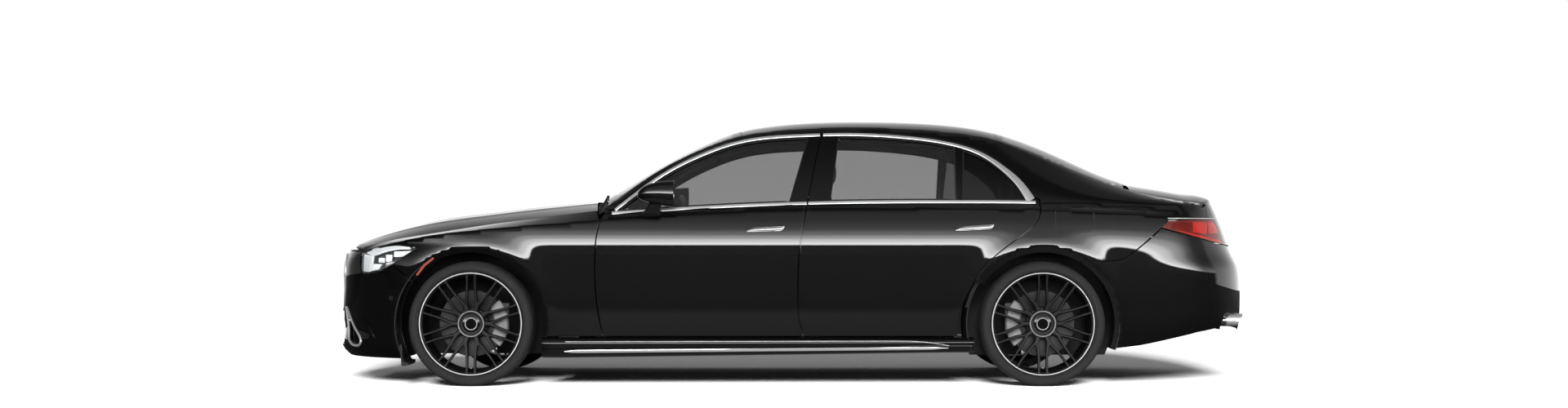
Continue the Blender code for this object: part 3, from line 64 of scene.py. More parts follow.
# the body's shape: smooth curves along the car and up its sides
def smoothCurve(points):
    xs = np.array([p[0] for p in points], float)
    ys = np.array([p[1] for p in points], float)
    n = len(xs)
    h = np.diff(xs)
    grid = np.zeros((n, n))
    right = np.zeros(n)
    grid[0, 0] = grid[-1, -1] = 1.0
    for i in range(1, n - 1):
        grid[i, i - 1] = h[i - 1]
        grid[i, i] = 2 * (h[i - 1] + h[i])
        grid[i, i + 1] = h[i]
        right[i] = 6 * ((ys[i + 1] - ys[i]) / h[i] - (ys[i] - ys[i - 1]) / h[i - 1])
    curve = np.linalg.solve(grid, right)

    def value(x):
        x = np.asarray(x, float)
        k = np.clip(np.searchsorted(xs, x) - 1, 0, n - 2)
        inside = np.clip(x, xs[0], xs[-1])
        a = (xs[k + 1] - inside) / h[k]
        b = (inside - xs[k]) / h[k]
        body = a * ys[k] + b * ys[k + 1]
        body = body + ((a ** 3 - a) * curve[k] + (b ** 3 - b) * curve[k + 1]) * h[k] ** 2 / 6
        first = (ys[1] - ys[0]) / h[0] - h[0] * curve[1] / 6
        last = (ys[-1] - ys[-2]) / h[-1] + h[-1] * curve[-2] / 6
        return body + np.minimum(x - xs[0], 0) * first + np.maximum(x - xs[-1], 0) * last

    return value


# Height to distance along the car
noseX = smoothCurve([(0.14, -2.600), (0.18, -2.645), (0.28, -2.655), (0.45, -2.651), (0.60, -2.655),
               (0.70, -2.647), (0.75, -2.622), (0.79, -2.585)])
tailX = smoothCurve([(0.20, 2.600), (0.30, 2.642), (0.43, 2.655), (0.60, 2.653), (0.67, 2.640),
               (0.73, 2.610), (0.81, 2.577), (0.87, 2.556), (0.93, 2.532), (1.00, 2.503),
               (1.05, 2.479)])
shutFront = smoothCurve([(0.284, -1.052), (0.385, -1.074), (0.522, -1.093), (0.66, -1.097),
                     (0.797, -1.093), (0.898, -1.078), (0.957, -1.058), (1.03, -1.018)])
shutMid = smoothCurve([(0.284, 0.073), (0.362, 0.052), (0.477, 0.042), (0.614, 0.042),
                   (0.843, 0.061), (1.036, 0.097), (1.262, 0.141), (1.429, 0.179)])
shutRear = smoothCurve([(0.284, 0.940), (0.36, 0.943), (0.44, 0.958), (0.52, 0.993), (0.60, 1.036),
                    (0.68, 1.092), (0.75, 1.165), (0.81, 1.243), (0.865, 1.318), (0.92, 1.376),
                    (0.97, 1.401), (1.03, 1.409)])
# Height to the inward drop of the side from its widest line
sideDrop = smoothCurve([(0.14, 0.056), (0.20, 0.042), (0.28, 0.030), (0.45, 0.013), (0.62, 0.004),
               (0.80, 0.0), (0.88, 0.006), (0.95, 0.019), (1.00, 0.034), (1.05, 0.060)])
# Distance along the car to heights and half widths
creaseZ = smoothCurve([(-2.46, 0.748), (-2.356, 0.781), (-2.256, 0.804), (-2.157, 0.824),
                   (-2.01, 0.850), (-1.87, 0.867),
                   (-1.50, 0.900), (-1.05, 0.932), (-0.77, 0.952), (-0.31, 0.974),
                   (0.15, 0.990), (0.61, 0.997), (1.07, 0.999), (1.53, 0.990), (2.00, 0.968),
                   (2.30, 0.945), (2.55, 0.925)])
beltZ = smoothCurve([(-1.06, 0.966), (-0.54, 0.999), (-0.31, 1.011), (0.15, 1.027), (0.61, 1.034),
                 (1.07, 1.034), (1.39, 1.031), (1.70, 1.018), (2.05, 0.996), (2.45, 0.965)])
doorTop = smoothCurve([(-1.03, 0.969), (-0.96, 1.027), (-0.871, 1.099), (-0.78, 1.168),
                   (-0.643, 1.253), (-0.504, 1.320), (-0.318, 1.387), (-0.13, 1.420),
                   (0.058, 1.432), (0.34, 1.439), (0.621, 1.425), (0.81, 1.404),
                   (0.997, 1.363), (1.134, 1.305), (1.246, 1.224), (1.334, 1.135),
                   (1.392, 1.045)])
railZ = smoothCurve([(-1.10, 0.985), (-1.0, 1.040), (-0.87, 1.132), (-0.69, 1.248),
                 (-0.505, 1.339), (-0.32, 1.406), (-0.13, 1.441), (0.06, 1.458),
                 (0.34, 1.467), (0.62, 1.461), (0.81, 1.448), (1.0, 1.428), (1.186, 1.392),
                 (1.28, 1.359), (1.47, 1.279), (1.66, 1.196), (1.85, 1.129), (2.03, 1.083),
                 (2.22, 1.046), (2.31, 1.033), (2.50, 1.010)])
railY = smoothCurve([(-1.10, 0.840), (-1.0, 0.826), (-0.69, 0.741), (-0.32, 0.646), (0.06, 0.604),
                 (0.34, 0.597), (0.81, 0.594), (1.186, 0.592), (1.47, 0.606), (1.66, 0.622),
                 (1.85, 0.640), (2.03, 0.655), (2.22, 0.652), (2.50, 0.620)])
centreZ = smoothCurve([(-1.10, 1.062), (-0.92, 1.170), (-0.725, 1.283), (-0.527, 1.381),
                   (-0.33, 1.460), (-0.135, 1.499), (0.06, 1.518), (0.45, 1.5275),
                   (0.85, 1.514), (1.045, 1.494), (1.24, 1.453), (1.44, 1.386),
                   (1.635, 1.302), (1.83, 1.214), (1.94, 1.172)])
deckLineZ = smoothCurve([(1.90, 1.172), (2.03, 1.149), (2.22, 1.118), (2.32, 1.102), (2.42, 1.090),
                 (2.464, 1.076)])
hoodLineZ = smoothCurve([(-2.60, 0.778), (-2.54, 0.811), (-2.44, 0.852), (-2.25, 0.909),
                 (-2.05, 0.954), (-1.75, 0.994), (-1.56, 1.017), (-1.36, 1.037),
                 (-1.10, 1.060)])
hoodEdgeY = smoothCurve([(-2.50, 0.590), (-2.30, 0.640), (-2.0, 0.690), (-1.7, 0.735),
                      (-1.4, 0.775), (-1.08, 0.818)])
hoodEdgeZ = smoothCurve([(-2.50, 0.768), (-2.30, 0.818), (-2.0, 0.872), (-1.7, 0.914),
                      (-1.4, 0.951), (-1.08, 0.990)])


def planScale(x, z):
    nose, tail = noseX(np.minimum(z, 0.80)), tailX(z)
    front = np.clip((frontPlanX - x) / (frontPlanX - nose), 0, 1)
    back = np.clip((x - rearPlanX) / (tail - rearPlanX), 0, 1)
    shape = (1 - front ** frontPower) ** (1 / frontPower)
    return shape * (1 - back ** rearPower) ** (1 / rearPower)


def lowSide(x, z):
    return planScale(x, z) * (widestHalf - sideDrop(z))


def glassSide(x, z):
    d = z - 1.03
    middle = x - 0.1
    base = 0.885 - np.where(middle < 0, 0.016, 0.028) * (middle / 1.1) ** 2
    plain = base - 0.50 * d - 0.355 * d * d
    top = railZ(x)
    dt = top - 1.03
    atTop = base - 0.50 * dt - 0.355 * dt * dt
    share = np.clip(d / np.maximum(dt, 0.02), 0, 1)
    return plain - (atTop - railY(x)) * share ** 2


def sideY(x, z):
    x, z = np.asarray(x, float), np.asarray(z, float)
    zc, zb = creaseZ(x), beltZ(x)
    low = lowSide(x, np.minimum(z, zc))
    high = glassSide(x, np.maximum(z, zb))
    share = np.clip((z - zc) / np.maximum(zb - zc, 0.005), 0, 1)
    return np.where(z <= zc, low, np.where(z >= zb, high, low * (1 - share) + high * share))


def topZ(x, y):
    centre, rail = centreZ(x), railZ(x)
    return centre - (centre - rail) * np.abs(y / railY(x)) ** 2.3


def hoodZ(x, y):
    centre, edge = hoodLineZ(x), hoodEdgeZ(x)
    return centre - (centre - edge) * np.abs(y / hoodEdgeY(x)) ** 2.2


def deckZ(x, y):
    centre, edge = deckLineZ(x), railZ(x)
    return centre - (centre - edge) * np.abs(y / railY(x)) ** 2.3




def sidePlace(side):
    return lambda u, v: np.stack([u, side * flaredY(u, v), v], -1)


# the wheel arches stand out a little round the wheels, with a lip turned in
archShape = {"lip": 0.433, "bulge": 0.0065, "reach": 0.075, "tuck": 0.42}


def flaredY(x, z):
    y = sideY(x, z)
    for axle in (frontAxle, rearAxle):
        r = np.hypot(x - axle, z - hubHeight)
        fade = np.clip((z - 0.30) / 0.25, 0, 1)
        out = archShape["bulge"] * np.exp(-((r - archShape["lip"]) / archShape["reach"]) ** 2)
        tuck = archShape["tuck"] * np.clip(archShape["lip"] - r, 0, 0.05)
        y = y + out * fade - tuck * np.where(z > 0.1, 1.0, 0.0)
    return y


def hoodPlace(u, v):
    return np.stack([u, v, hoodZ(u, v)], -1)


def topPlace(u, v):
    return np.stack([u, v, topZ(u, v)], -1)


def nosePlace(u, v):  # u runs round the nose from the middle, v is the height
    a = np.clip(math.pi / 2 - np.abs(u), 0.001, math.pi / 2 - 1e-7)
    x = frontPlanX - (frontPlanX - noseX(v)) * np.sin(a) ** (2 / frontPower)
    y = np.sign(u) * (widestHalf - sideDrop(v)) * np.cos(a) ** (2 / frontPower)
    return np.stack([x, archTuck(x, y, v), v], -1)


def tailPlace(u, v):
    a = np.clip(math.pi / 2 - np.abs(u), 0.001, math.pi / 2 - 1e-7)
    x = rearPlanX + (tailX(v) - rearPlanX) * np.sin(a) ** (2 / rearPower)
    y = np.sign(u) * (widestHalf - sideDrop(v)) * np.cos(a) ** (2 / rearPower)
    return np.stack([x, archTuck(x, y, v), v], -1)


def archTuck(x, y, z):
    return np.sign(y) * (np.abs(y) + flaredY(x, z) - sideY(x, z))


def noseU(x, z, side=1.0):
    share = np.clip((frontPlanX - x) / (frontPlanX - noseX(z)), 0, 1)
    return side * (math.pi / 2 - np.arcsin(share ** (frontPower / 2)))


def noseUofY(y, z):
    share = np.clip(np.abs(y) / (widestHalf - sideDrop(z)), 0, 1)
    return np.sign(y) * (math.pi / 2 - np.arccos(share ** (frontPower / 2)))


def tailU(x, z, side=1.0):
    share = np.clip((x - rearPlanX) / (tailX(z) - rearPlanX), 0, 1)
    return side * (math.pi / 2 - np.arcsin(share ** (rearPower / 2)))


def tailUofY(y, z):
    share = np.clip(np.abs(y) / (widestHalf - sideDrop(z)), 0, 1)
    return np.sign(y) * (math.pi / 2 - np.arccos(share ** (rearPower / 2)))


def tailFace(y, z):
    half = widestHalf - sideDrop(z)
    share = 1 - (np.abs(y) / half) ** rearPower
    return rearPlanX + (tailX(z) - rearPlanX) * share ** (1 / rearPower)


def noseFace(y, z):
    half = widestHalf - sideDrop(z)
    share = 1 - (np.abs(y) / half) ** frontPower
    return frontPlanX - (frontPlanX - noseX(z)) * share ** (1 / frontPower)


# mesh kit
def inPolygon(points, polygon):
    poly = np.asarray(polygon, float)
    inside = np.zeros(len(points), bool)
    x, y = points[:, 0], points[:, 1]
    for (x0, y0), (x1, y1) in zip(poly, np.roll(poly, -1, 0)):
        if y0 == y1:
            continue
        cross = (y0 > y) != (y1 > y)
        inside ^= cross & (x < (x1 - x0) * (y - y0) / (y1 - y0) + x0)
    return inside


def edgeDistance(points, polygon, closed=True):
    poly = np.asarray(polygon, float)
    ends = np.roll(poly, -1, 0) if closed else poly[1:]
    best = np.full(len(points), 1e9)
    for a, b in zip(poly if closed else poly[:-1], ends):
        ab = b - a
        t = np.clip(((points - a) @ ab) / max(ab @ ab, 1e-12), 0, 1)
        d = np.linalg.norm(points - a - t[:, None] * ab, axis=1)
        best = np.minimum(best, d)
    return best


def resample(points, step, closed=True):
    pts = np.asarray(points, float)
    ends = np.roll(pts, -1, 0) if closed else pts[1:]
    out = []
    for a, b in zip(pts if closed else pts[:-1], ends):
        n = max(1, int(math.ceil(np.linalg.norm(b - a) / step)))
        out += [a + (b - a) * k / n for k in range(n)]
    if not closed:
        out.append(pts[-1])
    return np.array(out)


def circle(x, z, radius, count=120):
    return [(x + radius * math.cos(2 * math.pi * k / count),
             z + radius * math.sin(2 * math.pi * k / count)) for k in range(count)]


def rounded(points, radius, steps=5):  # the outline with each corner rounded
    pts = [np.array(p, float) for p in points]
    out = []
    for i, p in enumerate(pts):
        a, b = pts[i - 1] - p, pts[(i + 1) % len(pts)] - p
        la, lb = np.linalg.norm(a), np.linalg.norm(b)
        r = min(radius, la * 0.45, lb * 0.45)
        for k in range(steps + 1):
            t = k / steps
            q = (1 - t) ** 2 * (p + a / la * r) + 2 * t * (1 - t) * p + t * t * (p + b / lb * r)
            out.append(tuple(q))
    return out


def normalsOf(place, u, v, step=0.004):
    du = place(u + step, v) - place(u - step, v)
    dv = place(u, v + step) - place(u, v - step)
    n = np.cross(du, dv)
    n /= np.maximum(np.linalg.norm(n, axis=1), 1e-12)[:, None]
    p = place(u, v)
    out = np.einsum("ij,ij->i", n, p - np.array([0, 0, 0.6])) < 0
    n[out] *= -1
    return n


def build(name, verts, faces, mats, body, slots=None, normals=None, smooth=True):
    mesh = bpy.data.meshes.new(name)
    mesh.from_pydata([tuple(v) for v in verts], [], [tuple(int(i) for i in f) for f in faces])
    for m in mats if isinstance(mats, (list, tuple)) else [mats]:
        mesh.materials.append(m)
    if slots is not None:
        mesh.polygons.foreach_set("material_index", np.asarray(slots, dtype=np.int32))
    mesh.polygons.foreach_set("use_smooth", np.full(len(mesh.polygons), smooth))
    mesh.update()
    if normals is not None:
        mesh.normals_split_custom_set_from_vertices([tuple(n) for n in normals])
    obj = bpy.data.objects.new(name, mesh)
    scene.collection.objects.link(obj)
    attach(obj, body)
    return obj


# triangles inside keep and outside every cut
def flatten(keep, cuts, spacing, lines=(), stretch=1.0):
    scale = np.array([1.0, stretch])
    loops = [resample(np.asarray(p, float) * scale, spacing * 0.8) for p in [keep, *cuts]]
    open_ = [resample(np.asarray(p, float) * scale, spacing * 0.8, False) for p in lines]
    low, high = loops[0].min(0), loops[0].max(0)
    us = np.arange(low[0] + spacing / 2, high[0], spacing)
    vs = np.arange(low[1] + spacing / 2, high[1], spacing * 0.9)
    grid = np.array([(u + (spacing / 2 if j % 2 else 0), v) for j, v in enumerate(vs) for u in us])
    good = inPolygon(grid, loops[0])
    for loop in loops[1:]:
        good &= ~inPolygon(grid, loop)
    grid = grid[good]
    away = np.full(len(grid), 1e9)
    for loop in loops:
        away = np.minimum(away, edgeDistance(grid, loop))
    for line in open_:
        away = np.minimum(away, edgeDistance(grid, line, False))
    grid = grid[away > spacing * 0.45]
    points, edges = [], []
    for loop, closed in [(l, True) for l in loops] + [(l, False) for l in open_]:
        start, n = len(points), len(loop)
        points += [tuple(p) for p in loop]
        edges += [(start + k, start + (k + 1) % n) for k in range(n if closed else n - 1)]
    points += [tuple(p) for p in grid]
    result = delaunay_2d_cdt([Vector(p) for p in points], edges, [], 0, 1e-7)
    coords = np.array([tuple(p) for p in result[0]])
    tris = np.array([tuple(f) for f in result[2] if len(f) == 3])
    middle = coords[tris].mean(1)
    good = inPolygon(middle, loops[0])
    for loop in loops[1:]:
        good &= ~inPolygon(middle, loop)
    tris = tris[good]
    used = np.unique(tris)
    back = np.full(len(coords), -1)
    back[used] = np.arange(len(used))
    return coords[used] / scale, back[tris]


def panel(name, keep, cuts, place, spacing, depth, mats, body, pick=None, lines=(), radius=0.0016,
          lift=None, stretch=1.0, step=0.004, inner=None, draft=None, backSlot=None):
    # a sheet on a surface with rounded edges, and a back at the given depth
    uv, tris = flatten(keep, cuts, spacing, lines, stretch)
    u, v = uv[:, 0], uv[:, 1]
    pos = place(u, v)
    nor = normalsOf(place, u, v, step)
    if lift is not None:
        pos = pos + nor * lift(u, v)[:, None]
        raised = lambda a, b: place(a, b) + normalsOf(place, a, b, step) * lift(a, b)[:, None]
        nor = normalsOf(raised, u, v, step * 0.5)
    face = np.cross(pos[tris[:, 1]] - pos[tris[:, 0]], pos[tris[:, 2]] - pos[tris[:, 0]])
    flip = np.einsum("ij,ij->i", face, nor[tris[:, 0]]).sum() < 0
    if flip:
        tris = tris[:, ::-1]
    directed = {}
    for k, (a, b, c) in enumerate(tris):
        for e in ((a, b), (b, c), (c, a)):
            directed[e] = k
    border = [(a, b, k) for (a, b), k in directed.items() if (b, a) not in directed]
    n = len(pos)
    outward = np.zeros((n, 3))
    for a, b, k in border:
        t = pos[b] - pos[a]
        o = np.cross(t, nor[a])
        o /= max(np.linalg.norm(o), 1e-12)
        outward[a] += o
        outward[b] += o
    ring = np.array(sorted({i for a, b, k in border for i in (a, b)}))
    o = outward[ring]
    o /= np.maximum(np.linalg.norm(o, axis=1), 1e-9)[:, None]
    p, m = pos[ring].copy(), nor[ring]
    pos[ring] = p - o * radius
    backShift = depth if inner is None else inner(u, v)
    back = pos - nor * np.reshape(backShift, (-1, 1))
    ringDepth = depth if inner is None else backShift[ring]
    back[ring] = p - m * np.reshape(ringDepth, (-1, 1))
    if draft is not None:
        back[:, 0] += draft(u, v)
    mid = p - (o + m) * radius * 0.29
    low = p - m * radius
    verts = np.concatenate([pos, back, mid, low])
    norm = np.concatenate([nor, -nor, (o + m) / 1.4142, o])
    if inner is not None or depth > 0.006:
        norm[n + ring] = (o - m) / 1.4142
    order = np.full(n, -1)
    order[ring] = np.arange(len(ring))
    slots = np.zeros(len(tris), int)
    if pick is not None:
        slots = pick(u[tris].mean(1), v[tris].mean(1))
    faces = [tuple(t) for t in tris] + [tuple(t[::-1] + n) for t in tris]
    allSlots = list(slots) + (list(slots) if backSlot is None else [backSlot] * len(slots))
    m0, l0 = 2 * n, 2 * n + len(ring)
    for a, b, k in border:
        ia, ib = order[a], order[b]
        faces += [(b, a, m0 + ia, m0 + ib), (m0 + ib, m0 + ia, l0 + ia, l0 + ib),
                  (l0 + ib, l0 + ia, n + a, n + b)]
        allSlots += [slots[k]] * 3
    return build(name, verts, faces, mats, body, allSlots, norm)


def strip(name, path, widths, crown, place, mats, body, sink=0.002, rows=9, power=2.0):
    # a crowned bar that lies along a line on a surface
    pts = np.asarray(path, float)
    step = np.gradient(pts, axis=0)
    step /= np.maximum(np.linalg.norm(step, axis=1), 1e-9)[:, None]
    side = np.stack([-step[:, 1], step[:, 0]], 1)
    widths = np.broadcast_to(np.asarray(widths, float), len(pts))
    across = np.linspace(-1, 1, rows)
    grid = []
    for t in across:
        uv = pts + side * (widths * t / 2)[:, None]
        p = place(uv[:, 0], uv[:, 1])
        n = normalsOf(place, uv[:, 0], uv[:, 1])
        high = crown * (1 - abs(t) ** power) ** (1 / power)
        grid.append(p + n * high)
    for t in (1, -1):
        uv = pts + side * (widths * t / 2 * 0.96)[:, None]
        grid.append(place(uv[:, 0], uv[:, 1]) - normalsOf(place, uv[:, 0], uv[:, 1]) * sink)
    grid = np.array(grid)
    count, n = len(grid), len(pts)
    verts = grid.reshape(-1, 3)
    faces = []
    for i in range(count):
        j = (i + 1) % count
        for k in range(n - 1):
            faces.append((i * n + k, i * n + k + 1, j * n + k + 1, j * n + k))
    faces.append([i * n for i in range(count)])
    faces.append([i * n + n - 1 for i in range(count)][::-1])
    obj = build(name, verts, faces, mats, body)
    tidyMesh(obj)
    return obj


def tidyMesh(obj, angle=40.0):  # faces outwards, sharp where the surface turns sharply
    bm = bmesh.new()
    bm.from_mesh(obj.data)
    bmesh.ops.remove_doubles(bm, verts=bm.verts, dist=0.00002)
    bmesh.ops.recalc_face_normals(bm, faces=bm.faces)
    for e in bm.edges:
        if len(e.link_faces) == 2 and e.calc_face_angle(0) > math.radians(angle):
            e.smooth = False
    bm.to_mesh(obj.data)
    bm.free()
    return obj


def loft(name, rings, mats, body, capped=True, angle=40.0, closedAlong=False):
    # skin over rings of points with one count
    rings = [np.asarray(r, float) for r in rings]
    n = len(rings[0])
    verts = np.concatenate(rings)
    faces = []
    last = len(rings) if closedAlong else len(rings) - 1
    for i in range(last):
        a, b = i * n, ((i + 1) % len(rings)) * n
        for k in range(n):
            j = (k + 1) % n
            faces.append((a + k, a + j, b + j, b + k))
    if capped and not closedAlong:
        faces.append(list(range(n)))
        faces.append([(len(rings) - 1) * n + k for k in range(n)][::-1])
    return tidyMesh(build(name, verts, faces, mats, body), angle)


def turned(name, profile, centre, mats, body, count=96, slots=None, axis="y", angle=35.0,
           ring=True):
    # the profile holds (radius, distance along the axis) and is turned into a closed ring
    prof = np.asarray(profile, float)
    rings = []
    for k in range(count):
        a = 2 * math.pi * k / count
        c, s = math.cos(a), math.sin(a)
        if axis == "y":
            rings.append(np.stack([prof[:, 0] * c, prof[:, 1], prof[:, 0] * s], 1) + centre)
        else:
            rings.append(np.stack([prof[:, 1], prof[:, 0] * c, prof[:, 0] * s], 1) + centre)
    n = len(prof)
    verts = np.concatenate(rings)
    faces, chosen = [], []
    for k in range(count):
        a, b = k * n, ((k + 1) % count) * n
        for i in range(n if ring else n - 1):
            j = (i + 1) % n
            faces.append((a + i, a + j, b + j, b + i))
            chosen.append(slots[i] if slots else 0)
    return tidyMesh(build(name, verts, faces, mats, body, chosen), angle)


def tube(name, path, radius, mats, body, count=12, closed=False, flat=1.0):
    pts = np.asarray(path, float)
    ahead = np.gradient(pts, axis=0)
    if closed:
        ahead = np.roll(pts, -1, 0) - np.roll(pts, 1, 0)
    ahead /= np.maximum(np.linalg.norm(ahead, axis=1), 1e-9)[:, None]
    up = np.array([0, 0, 1.0]) if abs(ahead[0][2]) < 0.9 else np.array([1.0, 0, 0])
    rings = []
    for p, t in zip(pts, ahead):
        s = np.cross(t, up)
        s /= max(np.linalg.norm(s), 1e-9)
        up = np.cross(s, t)
        angles = np.arange(count) * 2 * math.pi / count
        rings.append(p + radius * (np.cos(angles)[:, None] * s
                                   + flat * np.sin(angles)[:, None] * up))
    return loft(name, rings, mats, body, True, 40.0, closed)


def block(name, low, high, mats, body, edge=0.004, turn=None, steps=2):  # a box with soft edges
    bm = bmesh.new()
    bmesh.ops.create_cube(bm, size=1.0)
    bmesh.ops.scale(bm, vec=[h - l for l, h in zip(low, high)], verts=bm.verts)
    if edge:
        bmesh.ops.bevel(bm, geom=list(bm.edges), offset=edge, segments=steps, profile=0.6,
                        affect="EDGES")
    if turn is not None:
        bmesh.ops.transform(bm, matrix=turn, verts=bm.verts)
    bmesh.ops.translate(bm, vec=[(h + l) / 2 for l, h in zip(low, high)], verts=bm.verts)
    mesh = bpy.data.meshes.new(name)
    bm.to_mesh(mesh)
    bm.free()
    mesh.materials.append(mats)
    mesh.polygons.foreach_set("use_smooth", [True] * len(mesh.polygons))
    obj = bpy.data.objects.new(name, mesh)
    scene.collection.objects.link(obj)
    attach(obj, body)
    return tidyMesh(obj, 45)


# shared effects, as node groups
def newGroup(name, inputs, outputs):
    group = bpy.data.node_groups.new(name, "ShaderNodeTree")
    for label, kind, value in inputs:
        socket = group.interface.new_socket(name=label, in_out="INPUT", socket_type=kind)
        if value is not None:
            socket.default_value = value
    for label, kind in outputs:
        group.interface.new_socket(name=label, in_out="OUTPUT", socket_type=kind)
    source = group.nodes.new("NodeGroupInput")
    sink = group.nodes.new("NodeGroupOutput")
    return group, source, sink


def put(tree, kind, values=(), **settings):  # a node with its settings, values and links
    node = tree.nodes.new("ShaderNode" + kind)
    for key, value in settings.items():
        setattr(node, key, value)
    for key, value in dict(values).items():
        if isinstance(value, bpy.types.NodeSocket):
            tree.links.new(value, node.inputs[key])
        else:
            node.inputs[key].default_value = value
    return node


def makeGrain():  # small mottling: a colour that varies, a roughness that varies, and a height
    group, source, sink = newGroup("surfaceGrain", [
        ("Colour", "NodeSocketColor", (0.5, 0.5, 0.5, 1)),
        ("Second Colour", "NodeSocketColor", (0.4, 0.4, 0.4, 1)),
        ("Scale", "NodeSocketFloat", 40.0), ("Roughness", "NodeSocketFloat", 0.5),
        ("Spread", "NodeSocketFloat", 0.1)],
        [("Colour", "NodeSocketColor"), ("Roughness", "NodeSocketFloat"),
         ("Height", "NodeSocketFloat")])
    given, link = source.outputs, group.links.new
    coord = put(group, "TexCoord")
    noise = put(group, "TexNoise", {"Vector": coord.outputs["Object"], "Scale": given["Scale"],
                                    "Detail": 5.0})
    mix = put(group, "Mix", {}, data_type="RGBA")
    link(noise.outputs["Fac"], mix.inputs["Factor"])
    link(given["Colour"], mix.inputs[6])
    link(given["Second Colour"], mix.inputs[7])
    centred = put(group, "Math", {0: noise.outputs["Fac"], 1: 0.5}, operation="SUBTRACT")
    vary = put(group, "Math", {0: centred.outputs[0], 1: given["Spread"], 2: given["Roughness"]},
               operation="MULTIPLY_ADD")
    link(mix.outputs[2], sink.inputs["Colour"])
    link(vary.outputs[0], sink.inputs["Roughness"])
    link(noise.outputs["Fac"], sink.inputs["Height"])
    return group


def makeCells():  # leather's or a casting's pebbles
    group, source, sink = newGroup("pebbleCells", [("Scale", "NodeSocketFloat", 300.0)],
                                   [("Height", "NodeSocketFloat")])
    coord = put(group, "TexCoord")
    cells = put(group, "TexVoronoi", {"Vector": coord.outputs["Object"],
                                      "Scale": source.outputs["Scale"]},
                feature="DISTANCE_TO_EDGE")
    ramp = put(group, "MapRange", {"From Max": 0.25, "Value": cells.outputs["Distance"]})
    group.links.new(ramp.outputs["Result"], sink.inputs["Height"])
    return group


grainGroup = makeGrain()
cellGroup = makeCells()


def surface(name, color, second, scale=40.0, roughness=0.5, spread=0.1, metallic=0.0, bump=0.0,
            bumpDistance=0.0005, cells=None, **sockets):
    mat = bpy.data.materials.new(name)
    mat.use_nodes = True
    tree = mat.node_tree
    shader = tree.nodes["Principled BSDF"]
    grain = put(tree, "Group", {}, node_tree=grainGroup)
    for key, value in (("Colour", (*color, 1)), ("Second Colour", (*second, 1)),
                       ("Scale", scale), ("Roughness", roughness), ("Spread", spread)):
        grain.inputs[key].default_value = value
    tree.links.new(grain.outputs["Colour"], shader.inputs["Base Color"])
    tree.links.new(grain.outputs["Roughness"], shader.inputs["Roughness"])
    shader.inputs["Metallic"].default_value = metallic
    if bump:
        height = grain.outputs["Height"]
        if cells:
            pebbles = put(tree, "Group", {}, node_tree=cellGroup)
            pebbles.inputs["Scale"].default_value = cells
            height = pebbles.outputs["Height"]
        node = put(tree, "Bump", {"Strength": bump, "Distance": bumpDistance, "Height": height})
        tree.links.new(node.outputs["Normal"], shader.inputs["Normal"])
    for key, value in sockets.items():
        shader.inputs[key.replace("_", " ")].default_value = value
    mat.diffuse_color = (*color, 1)
    return mat


blackPaint = surface("blackPaint", (0.0016, 0.0016, 0.0018), (0.0030, 0.0030, 0.0034), 2600.0,
                     0.42, 0.05, Specular_IOR_Level=0.06, Coat_Weight=1.0, Coat_Roughness=0.012,
                     Coat_IOR=1.5)
glossTrim = surface("glossTrim", (0.0030, 0.0030, 0.0032), (0.0050, 0.0050, 0.0052), 60.0, 0.09,
                    0.03, Specular_IOR_Level=0.45)
satinTrim = surface("satinTrim", (0.008, 0.008, 0.008), (0.012, 0.012, 0.012), 120.0, 0.42, 0.08,
                    bump=0.05)
mattTrim = surface("mattTrim", (0.006, 0.006, 0.006), (0.010, 0.010, 0.010), 200.0, 0.72, 0.1,
                   bump=0.15)
rubberSeal = surface("rubberSeal", (0.004, 0.004, 0.004), (0.007, 0.007, 0.007), 90.0, 0.6, 0.1,
                     bump=0.05)
brightTrim = surface("brightTrim", (0.90, 0.90, 0.89), (0.84, 0.84, 0.84), 25.0, 0.30, 0.06, 0.75)
handleTrim = surface("handleTrim", (0.46, 0.46, 0.46), (0.36, 0.36, 0.36), 60.0, 0.30, 0.08, 0.9)
brushedTrim = surface("brushedTrim", (0.62, 0.62, 0.62), (0.54, 0.54, 0.55), 300.0, 0.32, 0.1,
                      1.0, bump=0.04)
tyreRubber = surface("tyreRubber", (0.015, 0.015, 0.015), (0.021, 0.021, 0.021), 70.0, 0.78,
                     0.12, bump=0.12, bumpDistance=0.0004)
rimBlack = surface("rimBlack", (0.0060, 0.0060, 0.0060), (0.0090, 0.0090, 0.0090), 200.0, 0.40,
                   0.08, bump=0.03, Specular_IOR_Level=0.22)
rimFlange = surface("rimFlange", (0.50, 0.50, 0.50), (0.42, 0.42, 0.42), 150.0, 0.34, 0.08, 0.4,
                    bump=0.03)
capGrey = surface("capGrey", (0.17, 0.17, 0.172), (0.21, 0.21, 0.212), 150.0, 0.38, 0.08,
                  0.3)
discIron = surface("discIron", (0.022, 0.022, 0.023), (0.036, 0.036, 0.036), 120.0, 0.42, 0.1,
                   0.8, bump=0.1)
caliperGrey = surface("caliperGrey", (0.20, 0.20, 0.20), (0.25, 0.25, 0.25), 160.0, 0.45, 0.08,
                      0.2, bump=0.05)
castIron = surface("castIron", (0.045, 0.045, 0.046), (0.075, 0.075, 0.075), 60.0, 0.6, 0.15,
                   0.7, bump=0.2)
pipeSteel = surface("pipeSteel", (0.20, 0.19, 0.18), (0.32, 0.31, 0.30), 20.0, 0.38, 0.15, 1.0,
                    bump=0.05)
underCoat = surface("underCoat", (0.012, 0.012, 0.012), (0.020, 0.020, 0.020), 50.0, 0.8, 0.1,
                    bump=0.3)
cabinDark = surface("cabinDark", (0.012, 0.012, 0.012), (0.018, 0.018, 0.018), 150.0, 0.6, 0.1,
                    bump=0.3, cells=700.0, bumpDistance=0.0003)
cabinSoft = surface("cabinSoft", (0.020, 0.019, 0.018), (0.028, 0.027, 0.026), 90.0, 0.85, 0.1,
                    bump=0.15)
